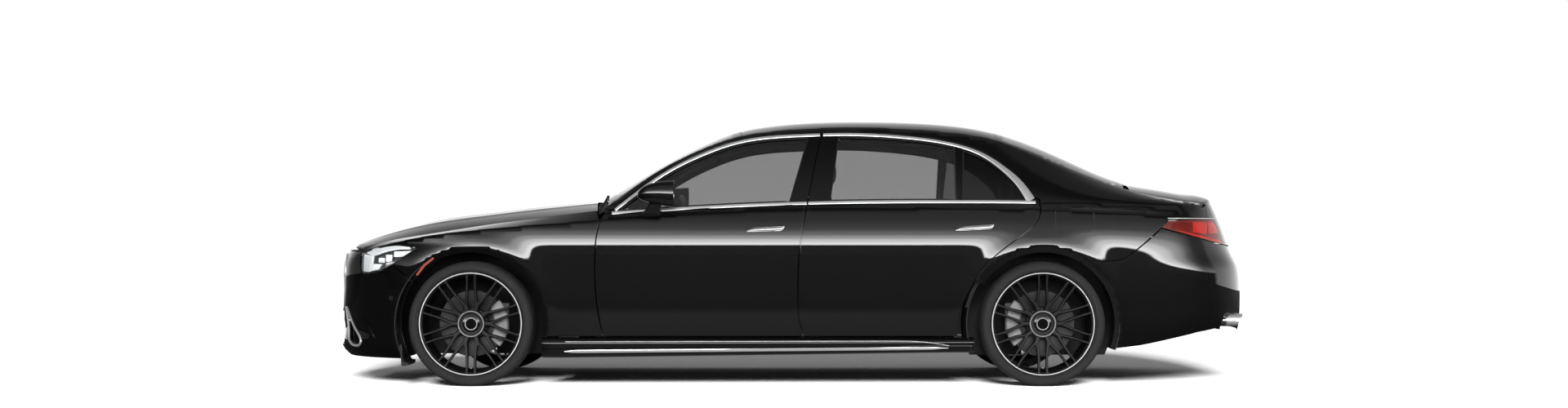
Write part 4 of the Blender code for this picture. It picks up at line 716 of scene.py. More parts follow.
carpet = surface("carpet", (0.006, 0.006, 0.006), (0.016, 0.016, 0.016), 900.0, 0.95, 0.05,
                 bump=0.8, bumpDistance=0.001)
seatLeather = surface("seatLeather", (0.016, 0.0155, 0.015), (0.024, 0.023, 0.022), 30.0, 0.46,
                      0.1, bump=0.35, cells=420.0, bumpDistance=0.0004)
seamThread = surface("seamThread", (0.03, 0.03, 0.03), (0.05, 0.05, 0.05), 500.0, 0.8, 0.1,
                     bump=0.3)
lampDark = surface("lampDark", (0.010, 0.010, 0.011), (0.018, 0.018, 0.018), 60.0, 0.25, 0.1)
lampSilver = surface("lampSilver", (0.80, 0.80, 0.80), (0.70, 0.70, 0.70), 50.0, 0.18, 0.1, 0.9)
lampWhite = surface("lampWhite", (0.52, 0.53, 0.54), (0.40, 0.41, 0.42), 80.0, 0.35, 0.1,
                    Specular_IOR_Level=0.2)
amber = surface("amberMarker", (0.46, 0.115, 0.085), (0.36, 0.080, 0.060), 200.0, 0.25, 0.1,
                bump=0.3)
redInner = surface("redInner", (0.95, 0.22, 0.18), (0.80, 0.10, 0.08), 220.0, 0.3, 0.1, bump=0.3)
redDark = surface("redDark", (0.20, 0.030, 0.028), (0.14, 0.020, 0.018), 240.0, 0.35, 0.1, bump=0.4)
tailBack = surface("tailBack", (0.28, 0.25, 0.25), (0.20, 0.18, 0.18), 150.0, 0.35, 0.1)
mirrorFace = surface("mirrorFace", (0.75, 0.77, 0.78), (0.72, 0.74, 0.75), 8.0, 0.03, 0.01, 1.0)


def glassMat(name, color, transmission=1.0, roughness=0.0, ior=1.45, specular=0.5, metallic=0.0):
    mat = surface(name, color, tuple(c * 0.985 for c in color), 3.0, roughness, 0.0, metallic)
    shader = mat.node_tree.nodes["Principled BSDF"]
    shader.inputs["Transmission Weight"].default_value = transmission
    shader.inputs["IOR"].default_value = ior
    shader.inputs["Specular IOR Level"].default_value = specular
    return mat


sideGlass = glassMat("sideGlass", (0.50, 0.50, 0.50))
darkGlass = glassMat("darkGlass", (0.13, 0.13, 0.13))
screenGlass = glassMat("screenGlass", (0.62, 0.64, 0.64), specular=0.15)
lampCover = glassMat("lampCover", (0.96, 0.97, 0.97))
redCover = glassMat("redCover", (0.86, 0.30, 0.26))

# floor, studio and lamps
def freshTree(name):
    mat = bpy.data.materials.new(name)
    mat.use_nodes = True
    return mat, mat.node_tree


def stageMesh(name, verts, faces, mat):
    mesh = bpy.data.meshes.new(name)
    mesh.from_pydata(verts, [], faces)
    mesh.materials.append(mat)
    obj = bpy.data.objects.new(name, mesh)
    scene.collection.objects.link(obj)
    return obj


def graded(tree, value, start, end, first, last, how="SMOOTHSTEP"):  # first to last over a span
    node = put(tree, "MapRange", {"From Min": start, "From Max": end, "To Min": first,
                                  "To Max": last, "Value": value}, interpolation_type=how)
    return node.outputs["Result"]


def blended(tree, factor, first, second):
    node = put(tree, "Mix", {"Factor": factor, 6: first, 7: second}, data_type="RGBA")
    return node.outputs[2]


def calculated(tree, how, first, second=0.0):
    return put(tree, "Math", {0: first, 1: second}, operation=how).outputs[0]


# the paint sees the floor only close to the car, and the camera sees it white
floorSetup = {"size": 60.0, "base": 0.90, "seen": 2.7, "mirrored": (0.50, 0.02),
              "beside": (2.6, 3.6), "ends": (1.2, 2.2), "endShare": 0.10}
floorMat, tree = freshTree("studioFloor")
shader = tree.nodes["Principled BSDF"]
shader.inputs["Roughness"].default_value = 0.9
shader.inputs["Specular IOR Level"].default_value = 0.0
path = put(tree, "LightPath")
apart = put(tree, "SeparateXYZ", {0: put(tree, "TexCoord").outputs["Object"]})
across = graded(tree, calculated(tree, "ABSOLUTE", apart.outputs["Y"]), *floorSetup["beside"],
                *floorSetup["mirrored"], "SMOOTHERSTEP")
along = graded(tree, calculated(tree, "ABSOLUTE", apart.outputs["X"]), *floorSetup["ends"], 1.0,
               floorSetup["endShare"])
pale = blended(tree, path.outputs["Is Glossy Ray"], (floorSetup["base"],) * 3 + (1,),
               calculated(tree, "MULTIPLY", across, along))
lift = blended(tree, path.outputs["Is Camera Ray"], pale, (floorSetup["seen"],) * 3 + (1,))
tree.links.new(lift, shader.inputs["Base Color"])
half = floorSetup["size"] / 2
stageMesh("floor", [(-half, -half, 0), (half, -half, 0), (half, half, 0), (-half, half, 0)],
          [(0, 1, 2, 3)], floorMat)

# reflection wall: what the black paint sees, a dark room with one long bright band
# each step is the share of the way up and the light there
wallSetup = {"radius": 22.0, "eye": 0.85, "steps": 12, "around": 64, "calm": 0.5,
             "near": [(0.0, 0.01), (0.022, 0.015), (0.030, 19.0), (0.055, 13.0), (0.085, 6.5),
                      (0.12, 2.8), (0.18, 0.9), (0.28, 0.42), (0.75, 0.30), (0.90, 0.30),
                      (1.0, 0.30)],
             "far": [(0.0, 1.7), (0.07, 1.4), (0.16, 0.7), (0.30, 0.22), (0.60, 0.12),
                     (1.0, 0.22)]}
wallMat, tree = freshTree("studioWall")
tree.nodes.remove(tree.nodes["Principled BSDF"])
where = put(tree, "TexCoord").outputs["Object"]
apart = put(tree, "SeparateXYZ", {0: where})
flat = put(tree, "VectorMath", {0: where, 1: (1, 1, 0)}, operation="MULTIPLY")
reach = put(tree, "VectorMath", {0: flat.outputs[0]}, operation="LENGTH")
climb = calculated(tree, "ARCTAN2", calculated(tree, "SUBTRACT", apart.outputs["Z"],
                                               wallSetup["eye"]), reach.outputs["Value"])
share = calculated(tree, "DIVIDE", climb, math.pi / 2)
skies = []
for label, how in (("near", "EASE"), ("far", "LINEAR")):
    ramp = put(tree, "ValToRGB", {"Fac": share})
    ramp.color_ramp.interpolation = how
    while len(ramp.color_ramp.elements) < len(wallSetup[label]):
        ramp.color_ramp.elements.new(0.5)
    for element, (at, level) in zip(ramp.color_ramp.elements, wallSetup[label]):
        element.position = at
        element.color = (level, level, level, 1)
    skies.append(ramp.outputs["Color"])


def dimmed(color, share):
    return put(tree, "VectorMath", {0: color, "Scale": share}, operation="SCALE").outputs[0]


near = dimmed(skies[0], graded(tree, apart.outputs["Y"], -14.0, -5.0, 1.0, 0.12))
sky = blended(tree, graded(tree, apart.outputs["Y"], -1.0, 1.0, 0.0, 1.0, "LINEAR"), near,
              skies[1])
shaded = dimmed(sky, graded(tree, apart.outputs["X"], -18.5, -12.5, 0.10, 1.0))
inside = calculated(tree, "MINIMUM", put(tree, "LightPath").outputs["Transmission Depth"], 1.0)
glow = put(tree, "Emission", {"Color": blended(tree, inside, shaded,
                                               (wallSetup["calm"],) * 3 + (1,))})
tree.links.new(glow.outputs[0], tree.nodes["Material Output"].inputs["Surface"])
around, steps = wallSetup["around"], wallSetup["steps"]
verts, faces = [], []
for k in range(steps):
    e = math.pi / 2 * k / steps
    for j in range(around):
        a, r = 2 * math.pi * j / around, wallSetup["radius"]
        verts.append((r * math.cos(e) * math.cos(a), r * math.cos(e) * math.sin(a),
                      r * math.sin(e) + 0.002))
verts.append((0, 0, wallSetup["radius"]))
for j in range(around):
    i = (j + 1) % around
    for k in range(steps - 1):
        faces.append((k * around + j, k * around + i, (k + 1) * around + i, (k + 1) * around + j))
    faces.append(((steps - 1) * around + j, (steps - 1) * around + i, steps * around))
wall = stageMesh("reflectionWall", verts, faces, wallMat)
for kind in ("camera", "diffuse", "transmission", "shadow", "volume_scatter"):
    setattr(wall, "visible_" + kind, False)

# the world: white to look at and in glass, and a soft fill for everything else
worldFill = 0.08
world = bpy.data.worlds.new("studio")
scene.world = world
world.use_nodes = True
tree = world.node_tree
back = tree.nodes["Background"]
seen = put(tree, "LightPath").outputs
both = calculated(tree, "MAXIMUM", calculated(tree, "MAXIMUM", seen["Is Camera Ray"],
                                              seen["Is Transmission Ray"]), seen["Is Glossy Ray"])
back.inputs["Color"].default_value = (1, 1, 1, 1)
tree.links.new(graded(tree, both, 0.0, 1.0, worldFill, 1.0, "LINEAR"), back.inputs["Strength"])


def lamp(name, place, aim, size, power):
    data = bpy.data.lights.new(name, "AREA")
    data.shape = "RECTANGLE"
    data.size, data.size_y = size
    data.energy = power
    obj = bpy.data.objects.new(name, data)
    obj.location = place
    obj.rotation_euler = (Vector(aim) - Vector(place)).to_track_quat("-Z", "Y").to_euler()
    obj.visible_glossy = False
    obj.visible_camera = False
    scene.collection.objects.link(obj)


sunSetup = {"energy": 3.1, "angle": 16.0, "aim": (0.0, 1.0, -0.42)}
key = bpy.data.lights.new("keyLight", "SUN")
key.energy = sunSetup["energy"]
key.angle = math.radians(sunSetup["angle"])
keyObj = bpy.data.objects.new("keyLight", key)
keyObj.rotation_euler = Vector(sunSetup["aim"]).to_track_quat("-Z", "Y").to_euler()
keyObj.visible_glossy = False
scene.collection.objects.link(keyObj)
lamp("nearSide", (0.0, -7.0, 3.5), (0, 0, 0.6), (9.0, 2.5), 40.0)
print("stage: floor, reflection wall, lamps")


# painted panels
panelSetup = {"skin": 0.0012}


def stand(obj, slotName, *nodes):
    if nodes:
        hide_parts(*nodes)
    return obj


def topWidth(x):
    return sideY(x, creaseZ(x)) - hoodEdgeY(x) - shutGap / 2


def fenderPlace(side):
    def place(u, v):
        crease = creaseZ(u)
        over = np.maximum(v - crease, 0)
        width = topWidth(u)
        share = np.clip(over / width, 0, 1.2)
        outer = sideY(u, crease)
        y = np.where(over > 0, outer - over, flaredY(u, np.minimum(v, crease)))
        rise = crease + (hoodEdgeZ(u) - crease) * share + 0.040 * share * (1 - share) * width
        return np.stack([u, side * y, np.where(over > 0, rise, v)], -1)
    return place


def arcPoints(axle, start, end, radius=0.402, steps=60):  # angles in degrees, from +X upwards
    return [(axle + radius * math.cos(a), hubHeight + radius * math.sin(a))
            for a in (math.radians(b) for b in np.linspace(start, end, steps))]


def shutLine(curve, shift, low, high, steps=16):
    return [(float(curve(z)) + shift, float(z)) for z in np.linspace(low, high, steps)]


def fenderOutline():
    bottom = [(-1.401, doorBottom)]
    rear = shutLine(shutFront, -shutGap / 2, doorBottom, 0.925)
    xs = np.linspace(-1.10, -2.455, 40)
    top = [(float(x), float(creaseZ(x) + topWidth(x))) for x in xs]
    lampLine = [(-2.4555, 0.7475), (-2.380, 0.773), (-2.310, 0.791), (-2.235, 0.800),
                (-2.150, 0.792), (-2.101, 0.7775), (-2.187, 0.7255), (-2.253, 0.6815)]
    angle = math.degrees(math.atan2(0.589 - hubHeight, -math.sqrt(0.402 ** 2 - 0.238 ** 2)))
    low = math.degrees(math.atan2(doorBottom - hubHeight, 0.396))
    return bottom + rear + top + lampLine + arcPoints(frontAxle, angle, low)


def creaseLine(x0, x1, shift=0.0, count=60):
    return [(float(x), float(creaseZ(x)) + shift) for x in np.linspace(x0, x1, count)]


for name, side in sideSigns.items():
    obj = panel("fenderSkin_" + name, fenderOutline(), [], fenderPlace(side), 0.022,
                panelSetup["skin"], [blackPaint], "shell", None,
                [creaseLine(-2.44, -1.09)], lift=None)
    stand(obj, "black_paint", "fender_" + name)
print("stage: fenders")

# doors: one closed leaf each, with the pane openings, trim inside and gloss black posts
doorSetup = {"thick": 0.105, "frame": 0.028, "draft": 0.22, "frameDraft": 0.36}


def doorHigh(x):
    return np.maximum(doorTop(x), beltZ(x) + 0.020)


def postA(z):
    return shutMid(z) - 0.100 + (z - 1.036) * 0.10


def postB(z):
    return shutMid(z) + 0.122 - (z - 1.036) * 0.11


def barFront(z):
    return 0.939 + (z - 1.03) * 0.035


def barRear(z):
    return 0.967 + (z - 1.03) * 0.035


def shiftLine(points, distance):
    pts = np.array(points, float)
    step = np.gradient(pts, axis=0)
    step /= np.linalg.norm(step, axis=1)[:, None]
    return pts + distance * np.stack([step[:, 1], -step[:, 0]], axis=1)


def windowOutline(rise, inset, front=None, rear=None):
    xs = np.linspace(-1.03, 1.398, 260)
    top = shiftLine(np.stack([xs, doorTop(xs)], 1), inset)
    top = top[top[:, 1] > beltZ(top[:, 0]) + rise + 0.006]
    if front:
        top = top[top[:, 0] >= front(top[:, 1])]
    if rear:
        top = top[top[:, 0] <= rear(top[:, 1])]
    z0 = float(beltZ(top[0, 0])) + rise
    z1 = float(beltZ(top[-1, 0])) + rise
    first = float(front(z0)) if front else top[0, 0]
    last = float(rear(z1)) if rear else top[-1, 0]
    lower = [(float(x), float(beltZ(x) + rise)) for x in np.linspace(first, last, 30)]
    return lower + [tuple(p) for p in top[::-2]]


windowSets = {
    "front": [("door_glass_front", windowOutline(0.016, 0.022, None, postA))],
    "rear": [("door_glass_rear", windowOutline(0.016, 0.022, postB, barFront)),
             ("quarter_glass", windowOutline(0.016, 0.026, barRear, None))],
}


def doorOutline(front, rear):
    lead = shutLine(front, shutGap / 2, doorBottom, 0.985 if front is shutFront else 1.432, 34)
    trail = shutLine(rear, -shutGap / 2, doorBottom, 1.040 if rear is shutRear else 1.432, 34)
    xs = np.linspace(lead[-1][0] + 0.004, trail[-1][0] - 0.004, 60)
    top = [(float(x), float(doorHigh(x))) for x in xs]
    lead = [p for p in lead if p[1] < top[0][1] - 0.002]
    trail = [p for p in trail if p[1] < top[-1][1] - 0.002]
    return trail + top[::-1] + lead[::-1]


def doorInner(u, v):
    share = np.clip((v - beltZ(u) + 0.004) / 0.010, 0, 1)
    return doorSetup["thick"] + (doorSetup["frame"] - doorSetup["thick"]) * share


def doorDraft(front, rear, frontToo):
    def shift(u, v):
        f, r = front(v), rear(v)
        share = (u - f) / (r - f)
        depth = doorInner(u, v)
        slope = np.where(depth > 0.05, doorSetup["draft"], doorSetup["frameDraft"])
        lead = np.clip(1 - share / 0.15, 0, 1) * (1.0 if frontToo else 0.0)
        return depth * slope * (lead - np.clip(1 - (1 - share) / 0.15, 0, 1))
    return shift


doorCurves = {"front": (shutFront, shutMid), "rear": (shutMid, shutRear)}


def doorPick(u, v):  # paint below the belt line, gloss black round the panes
    return np.where(v > beltZ(u) + 0.004, 1, 0)


for name, side in sideSigns.items():
    for where, (front, rear) in doorCurves.items():
        outline = doorOutline(front, rear)
        holes = [w for _, w in windowSets[where]]
        span = (front(0.9) + 0.01, rear(0.9) - 0.01)
        obj = panel("doorLeaf_%s_%s" % (where, name), outline, holes, sidePlace(side), 0.024, 0.0,
                    [blackPaint, glossTrim, cabinDark], "%s_door_%s" % (where, name), doorPick,
                    [creaseLine(float(span[0]) + .05, float(span[1]) - .05)], inner=doorInner,
                    draft=doorDraft(front, rear, where == "rear"), backSlot=2)
        stand(obj, "black_paint", "door_%s_%s" % (where, name))
print("stage: doors")

# bumpers
def mirrored(points):
    return points + [(-u, v) for u, v in reversed(points)]


def noseLine(points):  # points in x and z on the left side become angles round the nose
    return [(float(noseU(np.array(x), np.array(z))), z) for x, z in points]


def bumperOutline():
    right = [(-2.4600, 0.748), (-2.4600, 0.638), (-2.436, 0.627), (-2.333, 0.642),
             (-2.2575, 0.679), (-2.124, 0.586)]
    angle = math.degrees(math.atan2(0.585 - hubHeight, -0.327))
    arch = arcPoints(frontAxle, angle, 210.0, 0.402, 40)
    side = resample(np.array(noseLine(right + arch)), 0.02, False)
    top = [(u, 0.764 - 0.016 * (u / side[0][0]) ** 2)
           for u in np.linspace(0.02, side[0][0] - 0.01, 20)]
    low = [(u, 0.150) for u in np.linspace(side[-1][0] - 0.01, 0.02, 20)]
    return mirrored([tuple(p) for p in top] + [tuple(p) for p in side] + low)


def yzLoop(points):  # points in y and z on the nose become angles
    dense = resample(np.array(points), 0.012)
    return [(float(noseUofY(np.array(y), np.array(z))), float(z)) for y, z in dense]


grilleHalf = [(-0.30, 0.410), (-0.37, 0.430), (-0.425, 0.520), (-0.450, 0.640), (-0.430, 0.715),
              (-0.385, 0.735)]
grilleLoop = rounded(mirrored(grilleHalf), 0.03)
lowerLoop = rounded(mirrored([(-0.41, 0.215), (-0.42, 0.28), (-0.36, 0.345)]), 0.02)
intakeHalf = [(0.430, 0.432), (0.465, 0.424), (0.560, 0.330), (0.632, 0.268), (0.645, 0.236),
              (0.620, 0.214), (0.560, 0.214), (0.512, 0.245), (0.478, 0.330)]
sideLoops = {side: rounded([(side * y, z) for y, z in intakeHalf], 0.02) for side in (-1, 1)}
obj = panel("frontBumperSkin", bumperOutline(),
            [yzLoop(grilleLoop), yzLoop(lowerLoop), yzLoop(sideLoops[-1]), yzLoop(sideLoops[1])],
            nosePlace, 0.022, 0.004, [blackPaint], "shell", None)
stand(obj, "black_paint", "front_bumper")


def tailLine(points):
    return [(float(tailU(np.array(x), np.array(z))), z) for x, z in points]


def rearOutline():
    edge = [(2.56, 0.7800), (2.431, 0.803), (2.300, 0.835), (2.180, 0.866), (2.087, 0.8865),
            (1.977, 0.793), (1.877, 0.715), (1.790, 0.701), (1.702, 0.6985), (1.621, 0.6985)]
    angle = math.degrees(math.atan2(0.6985 - hubHeight, 0.202))
    arch = arcPoints(rearAxle, angle, -19.5, 0.402, 40)
    rise = [(1.819, 0.2130), (1.970, 0.2300), (2.150, 0.2660), (2.300, 0.2980), (2.420, 0.3180)]
    side = resample(np.array(tailLine(edge + arch + rise)), 0.02, False)
    top = [(u, 0.798)
           for u in np.linspace(0.02, float(tailUofY(np.array(0.64), np.array(0.797))), 24)]
    low = [(u, 0.300 + 0.018 * max(0.0, min(1.0, (u - 0.55) / 0.25)))
           for u in np.linspace(side[-1][0] - 0.01, 0.02, 30)]
    joinTop = [(side[0][0] - 0.02, 0.7905)]
    return mirrored(top + joinTop + [tuple(p) for p in side] + low)


tipLoops = {side: rounded([(side * 0.445, 0.285), (side * 0.700, 0.285), (side * 0.700, 0.375),
                           (side * 0.445, 0.375)], 0.035) for side in (-1, 1)}


def yzTail(points):
    dense = resample(np.array(points), 0.012)
    return [(float(tailUofY(np.array(y), np.array(z))), float(z)) for y, z in dense]


obj = panel("rearBumperSkin", rearOutline(), [yzTail(tipLoops[-1]), yzTail(tipLoops[1])],
            tailPlace, 0.024, 0.004, [blackPaint, mattTrim], "shell",
            lambda u, v: np.where((v < 0.316) & (np.abs(u) < 0.8), 1, 0))
stand(obj, "black_paint", "rear_bumper")
print("stage: bumpers")

# hood, roof, boot lid
def hoodNose(u):
    return -2.592 + 0.137 * np.abs(u) ** 2.2


def hoodBack(u):
    return -1.135 + 0.045 * np.abs(u) ** 2


def sheetOutline(front, back, edge, count=40):
    us = np.linspace(-1, 1, count)
    f = [(float(front(u)), float(u * edge(front(u)))) for u in us]
    b = [(float(back(u)), float(u * edge(back(u)))) for u in us[::-1]]
    right = [(float(x), float(edge(x))) for x in np.linspace(front(1.0), back(1.0), 50)[1:-1]]
    left = [(float(x), float(-edge(x))) for x in np.linspace(back(1.0), front(1.0), 50)[1:-1]]
    return f + right + b + left


def hoodLift(u, v):
    share = np.abs(v) / hoodEdgeY(u)
    nose = hoodNose(np.clip(share, 0, 1))
    ahead = np.clip(1 - (u - nose) / 0.030, 0, 1)
    ridge = 0.0030 * np.exp(-((share - 0.62) / 0.055) ** 2) * np.clip((u + 2.55) / 0.3, 0, 1)
    return -0.010 * ahead ** 2 + ridge


obj = panel("hoodSkin", sheetOutline(hoodNose, hoodBack, lambda x: hoodEdgeY(x) - shutGap / 2), [],
            hoodPlace, 0.030, 0.016, [blackPaint, mattTrim], "hood", None, lift=hoodLift,
            backSlot=1,
            radius=0.003)
stand(obj, "black_paint", "hood")


def screenFront(u):
    return -1.085 + 0.055 * u ** 2


def screenBack(u):
    return -0.305 + 0.030 * u ** 2


def windowFront(u):
    return 1.205 - 0.020 * u ** 2


def windowBack(u):
    return 1.945 - 0.030 * u ** 2


obj = panel("roofSkin", sheetOutline(lambda u: screenBack(u) + 0.0015,
                                     lambda u: windowFront(u) - 0.0015,
                                     lambda x: railY(x) - 0.0305), [], topPlace, 0.034, 0.012,
            [blackPaint, cabinSoft], "shell", None, backSlot=1)
stand(obj, "black_paint", "roof")


def lidPlace(u, v):  # u across, v from the front edge of the deck to the foot of the rear face
    start = 1.985 - 0.030 * (u / 0.585) ** 2
    lip = tailFace(u, 1.048 + 0 * u)
    s = np.clip(v / 0.5, 0, 0.93)
    deckX = start + (lip - start) * s
    deckAt = deckZ(deckX, u)
    low = np.clip((v - 0.545) / 0.229, 0, 1)
    faceZ = 1.035 - (1.035 - 0.806) * low
    faceX = tailFace(u, faceZ)
    t = np.clip((v - 0.465) / 0.08, 0, 1)
    cornerX, cornerZ = lip + 0.003, deckZ(lip, u) + 0.004
    mixX = (1 - t) ** 2 * deckX + 2 * t * (1 - t) * cornerX + t * t * faceX
    mixZ = (1 - t) ** 2 * deckAt + 2 * t * (1 - t) * cornerZ + t * t * faceZ
    return np.stack([mixX, u, mixZ], -1)


def lidWidth(v):
    share = np.clip(v / 0.5, 0, 1)
    return 0.612 * (1 - share) + 0.585 * share


lidOutline = ([(float(-lidWidth(v)), float(v)) for v in np.linspace(0, 0.774, 40)]
              + [(float(u), 0.774) for u in np.linspace(-0.56, 0.56, 30)]
              + [(float(lidWidth(v)), float(v)) for v in np.linspace(0.774, 0, 40)]
              + [(float(u), 0.0) for u in np.linspace(0.59, -0.59, 30)])
obj = panel("bootLidSkin", lidOutline, [], lidPlace, 0.028, 0.012, [blackPaint, cabinDark],
            "boot_lid", None, backSlot=1, radius=0.002)
stand(obj, "black_paint", "boot_lid")

# body side: pillar, rail and quarter in one skin, its top edge turned in to the roof
def skinTop(x):
    share = np.clip((x - 1.955) / 0.52, 0, 1)
    lid = 0.612 * (1 - share) + 0.585 * share
    wide = np.clip((x - 1.90) / 0.08, 0, 1)
    return 0.0290 + wide * (railY(x) - lid - 0.0055 - 0.0290)


def tailReach(x, z):  # how far out the tail surface still reaches back to x
    near, far = np.full(np.shape(x), 0.30), np.full(np.shape(x), 1.00)
    for _ in range(18):
        mid = (near + far) / 2
        behind = tailFace(mid, z) > x
        near, far = np.where(behind, mid, near), np.where(behind, far, mid)
    return near


def skinPlace(side):
    def place(u, v):
        rail = railZ(u)
        over = np.maximum(v - rail, 0)
        flank = flaredY(u, np.minimum(v, rail))
        flank = np.where(u > 2.05, np.minimum(flank, tailReach(u, np.minimum(v, rail))), flank)
        y = np.where(over > 0, railY(u) - over, flank)
        top = np.where(u < 1.94, topZ(u, y), deckZ(u, y))
        return np.stack([u, side * y, np.where(over > 0, top, v)], -1)
    return place


def skinOutline():
    xs = np.linspace(float(shutFront(0.99)) + 0.008, float(shutRear(1.04)) + 0.003, 70)
    doorEdge = [(float(x), float(doorHigh(x)) + shutGap) for x in xs]
    rear = [(float(shutRear(z)) + shutGap / 2, float(z)) for z in np.linspace(1.036, 0.60, 26)]
    reach = lambda x, z: math.hypot(x - rearAxle, z - hubHeight) > 0.4035
    rear = [p for p in rear if reach(*p)]
    start = rear[-1]
    angle = math.degrees(math.atan2(start[1] - hubHeight, start[0] - rearAxle))
    end = math.degrees(math.atan2(0.7025 - hubHeight, math.sqrt(0.402 ** 2 - 0.3515 ** 2)))
    arch = arcPoints(rearAxle, angle, end, 0.402, 40)
    lamp = [(1.702, 0.7025), (1.790, 0.705), (1.875, 0.719), (1.975, 0.797), (2.083, 0.8905),
            (2.133, 0.934), (2.250, 0.941), (2.385, 0.943)]
    top = [(float(x), float(railZ(x) + skinTop(x))) for x in np.linspace(2.385, -1.03, 110)]
    return doorEdge + rear + arch + lamp + top


skinLines = [[(float(x), float(railZ(x))) for x in np.linspace(-0.98, 2.375, 100)]]
for name, side in sideSigns.items():
    crease = creaseLine(1.44, 2.375, 0.0, 40)
    obj = panel("bodySideSkin_" + name, skinOutline(), [], skinPlace(side), 0.022, 0.0012,
                [blackPaint], "shell", None, [*skinLines, crease])
    stand(obj, "black_paint", "body_side_" + name)
    corner = [(2.3865, z) for z in np.linspace(0.944, 1.020, 8)]
    high = [(float(tailU(np.array(x), np.array(z))), z) for x, z in corner]
    inside = [(float(tailUofY(np.array(0.589), np.array(z))), z)
              for z in np.linspace(1.028, 0.944, 8)]
    loop = [(side * u, z) for u, z in high + inside]
    panel("tailCorner_" + name, loop, [], tailPlace, 0.014, 0.004, [blackPaint], "shell")


def framePlace(side):  # the structure behind the doors
    def place(u, v):
        share = np.clip((v - beltZ(u) + 0.010) / 0.03, 0, 1)
        y = sideY(u, v) - 0.111 + (0.111 - 0.034) * share
        return np.stack([u, side * y, v], -1)
    return place


def aperture(first, second, firstGap, secondGap, topGap):
    zs = np.linspace(0.385, 0.95, 12)
    lead = [(float(first(z)) + firstGap, float(z)) for z in zs]
    trail = [(float(second(z)) + secondGap, float(z)) for z in zs]
    posts = (1.10, 1.20, 1.30, 1.37)
    x0, x1 = lead[-1][0] + 0.010, trail[-1][0] - 0.010
    if first is shutMid:
        lead = lead + [(float(first(z)) + firstGap, z) for z in posts]
        x0 = lead[-1][0] + 0.020
    else:
        trail = trail + [(float(second(z)) + secondGap, z) for z in posts]
        x1 = trail[-1][0] - 0.004
    tops = [(float(x), float(doorTop(x)) + topGap) for x in np.linspace(x0, x1, 24)]
    tops = [p for p in tops if p[1] > float(beltZ(p[0])) - 0.015]
    return rounded(lead + tops + trail[::-1], 0.02, 3)


frameTop = [(float(x), max(float(railZ(x)) - 0.012, float(beltZ(x)) + 0.026))
            for x in np.linspace(1.56, -1.05, 60)]
frameLoop = [(-1.150, 0.216), (1.00, 0.216)] + arcPoints(rearAxle, 197.0, 75.0, 0.452, 40) + [
    (1.56, 0.88)] + frameTop + [(-1.05, 0.95), (-1.150, 0.93)]
apertures = [aperture(shutFront, shutMid, 0.060, -0.045, -0.042),
             aperture(shutMid, shutRear, 0.050, -0.060, -0.042)]
for name, side in sideSigns.items():
    panel("doorFrame_" + name, frameLoop, apertures, framePlace(side), 0.036, 0.030,
          [blackPaint, cabinDark], "shell", None, backSlot=1, radius=0.004)
print("stage: hood, roof, boot lid, body sides")


# glass: side panes set into the doors, windscreen and rear window with dark borders
paneSetup = {"deep": 0.008, "thick": 0.005, "clear": 0.0004}


def panePlace(side):
    return lambda u, v: np.stack([u, side * (glassSide(u, v) - paneSetup["deep"]), v], -1)


def inward(points, distance):
    pts = np.array(points, float)
    turn = np.roll(pts, -1, 0) - np.roll(pts, 1, 0)
    turn /= np.maximum(np.linalg.norm(turn, axis=1), 1e-9)[:, None]
    area = np.sum(pts[:, 0] * np.roll(pts[:, 1], -1) - np.roll(pts[:, 0], -1) * pts[:, 1])
    way = 1.0 if area > 0 else -1.0
    return pts + way * distance * np.stack([-turn[:, 1], turn[:, 0]], 1)


for name, side in sideSigns.items():
    for where, sets in windowSets.items():
        for nodeName, outline in sets:
            loop = inward(outline, paneSetup["clear"])
            mat = darkGlass if nodeName == "quarter_glass" else sideGlass
            obj = panel("%s_pane_%s" % (nodeName, name), loop, [], panePlace(side), 0.045,
                        paneSetup["thick"], [mat], "%s_door_%s" % (where, name), radius=0.0008,
                        step=0.05)
            stand(obj, "tinted_glass", "%s_%s" % (nodeName, name))
            ring = inward(outline, 0.0070)
            seal = panel("%s_seal_%s" % (nodeName, name), inward(outline, 0.0002), [ring],
                         sidePlace(side), 0.020, 0.0065, [rubberSeal],
                         "%s_door_%s" % (where, name), radius=0.0015,
                         lift=lambda u, v: -0.0012 + 0 * u)


def bordered(front, back, edge, depth):  # dark border printed round a screen
    def pick(u, v):
        share = np.abs(v) / edge(u)
        f, b = front(np.minimum(share, 1)), back(np.minimum(share, 1))
        near = np.minimum(u - f, b - u) < depth
        return np.where(near | (edge(u) - np.abs(v) < depth * 0.6), 1, 0)
    return pick


screenEdge = lambda x: railY(x) - 0.0325
obj = panel("windscreenPane", sheetOutline(screenFront, lambda u: screenBack(u) - 0.0015,
                                           screenEdge), [], topPlace, 0.036, 0.0055,
            [screenGlass, glossTrim], "shell",
            bordered(screenFront, screenBack, screenEdge, 0.055), radius=0.001)
stand(obj, "tinted_glass", "windscreen")
backEdge = lambda x: railY(x) - 0.0305
obj = panel("rearWindowPane", sheetOutline(lambda u: windowFront(u) + 0.0015, windowBack,
                                           backEdge), [], topPlace, 0.036, 0.0055,
            [sideGlass, glossTrim], "shell",
            bordered(windowFront, windowBack, backEdge, 0.045), radius=0.001)
stand(obj, "tinted_glass", "rear_window")
print("stage: glass")


# bright strips round the windows
def beltPlace(side):
    return lambda u, v: np.stack([u, side * (glassSide(u, v) + 0.0012), v], -1)


stripSetup = {"belt": 0.019, "top": 0.017, "foot": 0.052, "crown": 0.0035}


def beltPath(x0, x1, count=40):
    return [(x, float(beltZ(x)) + 0.0045) for x in np.linspace(x0, x1, count)]


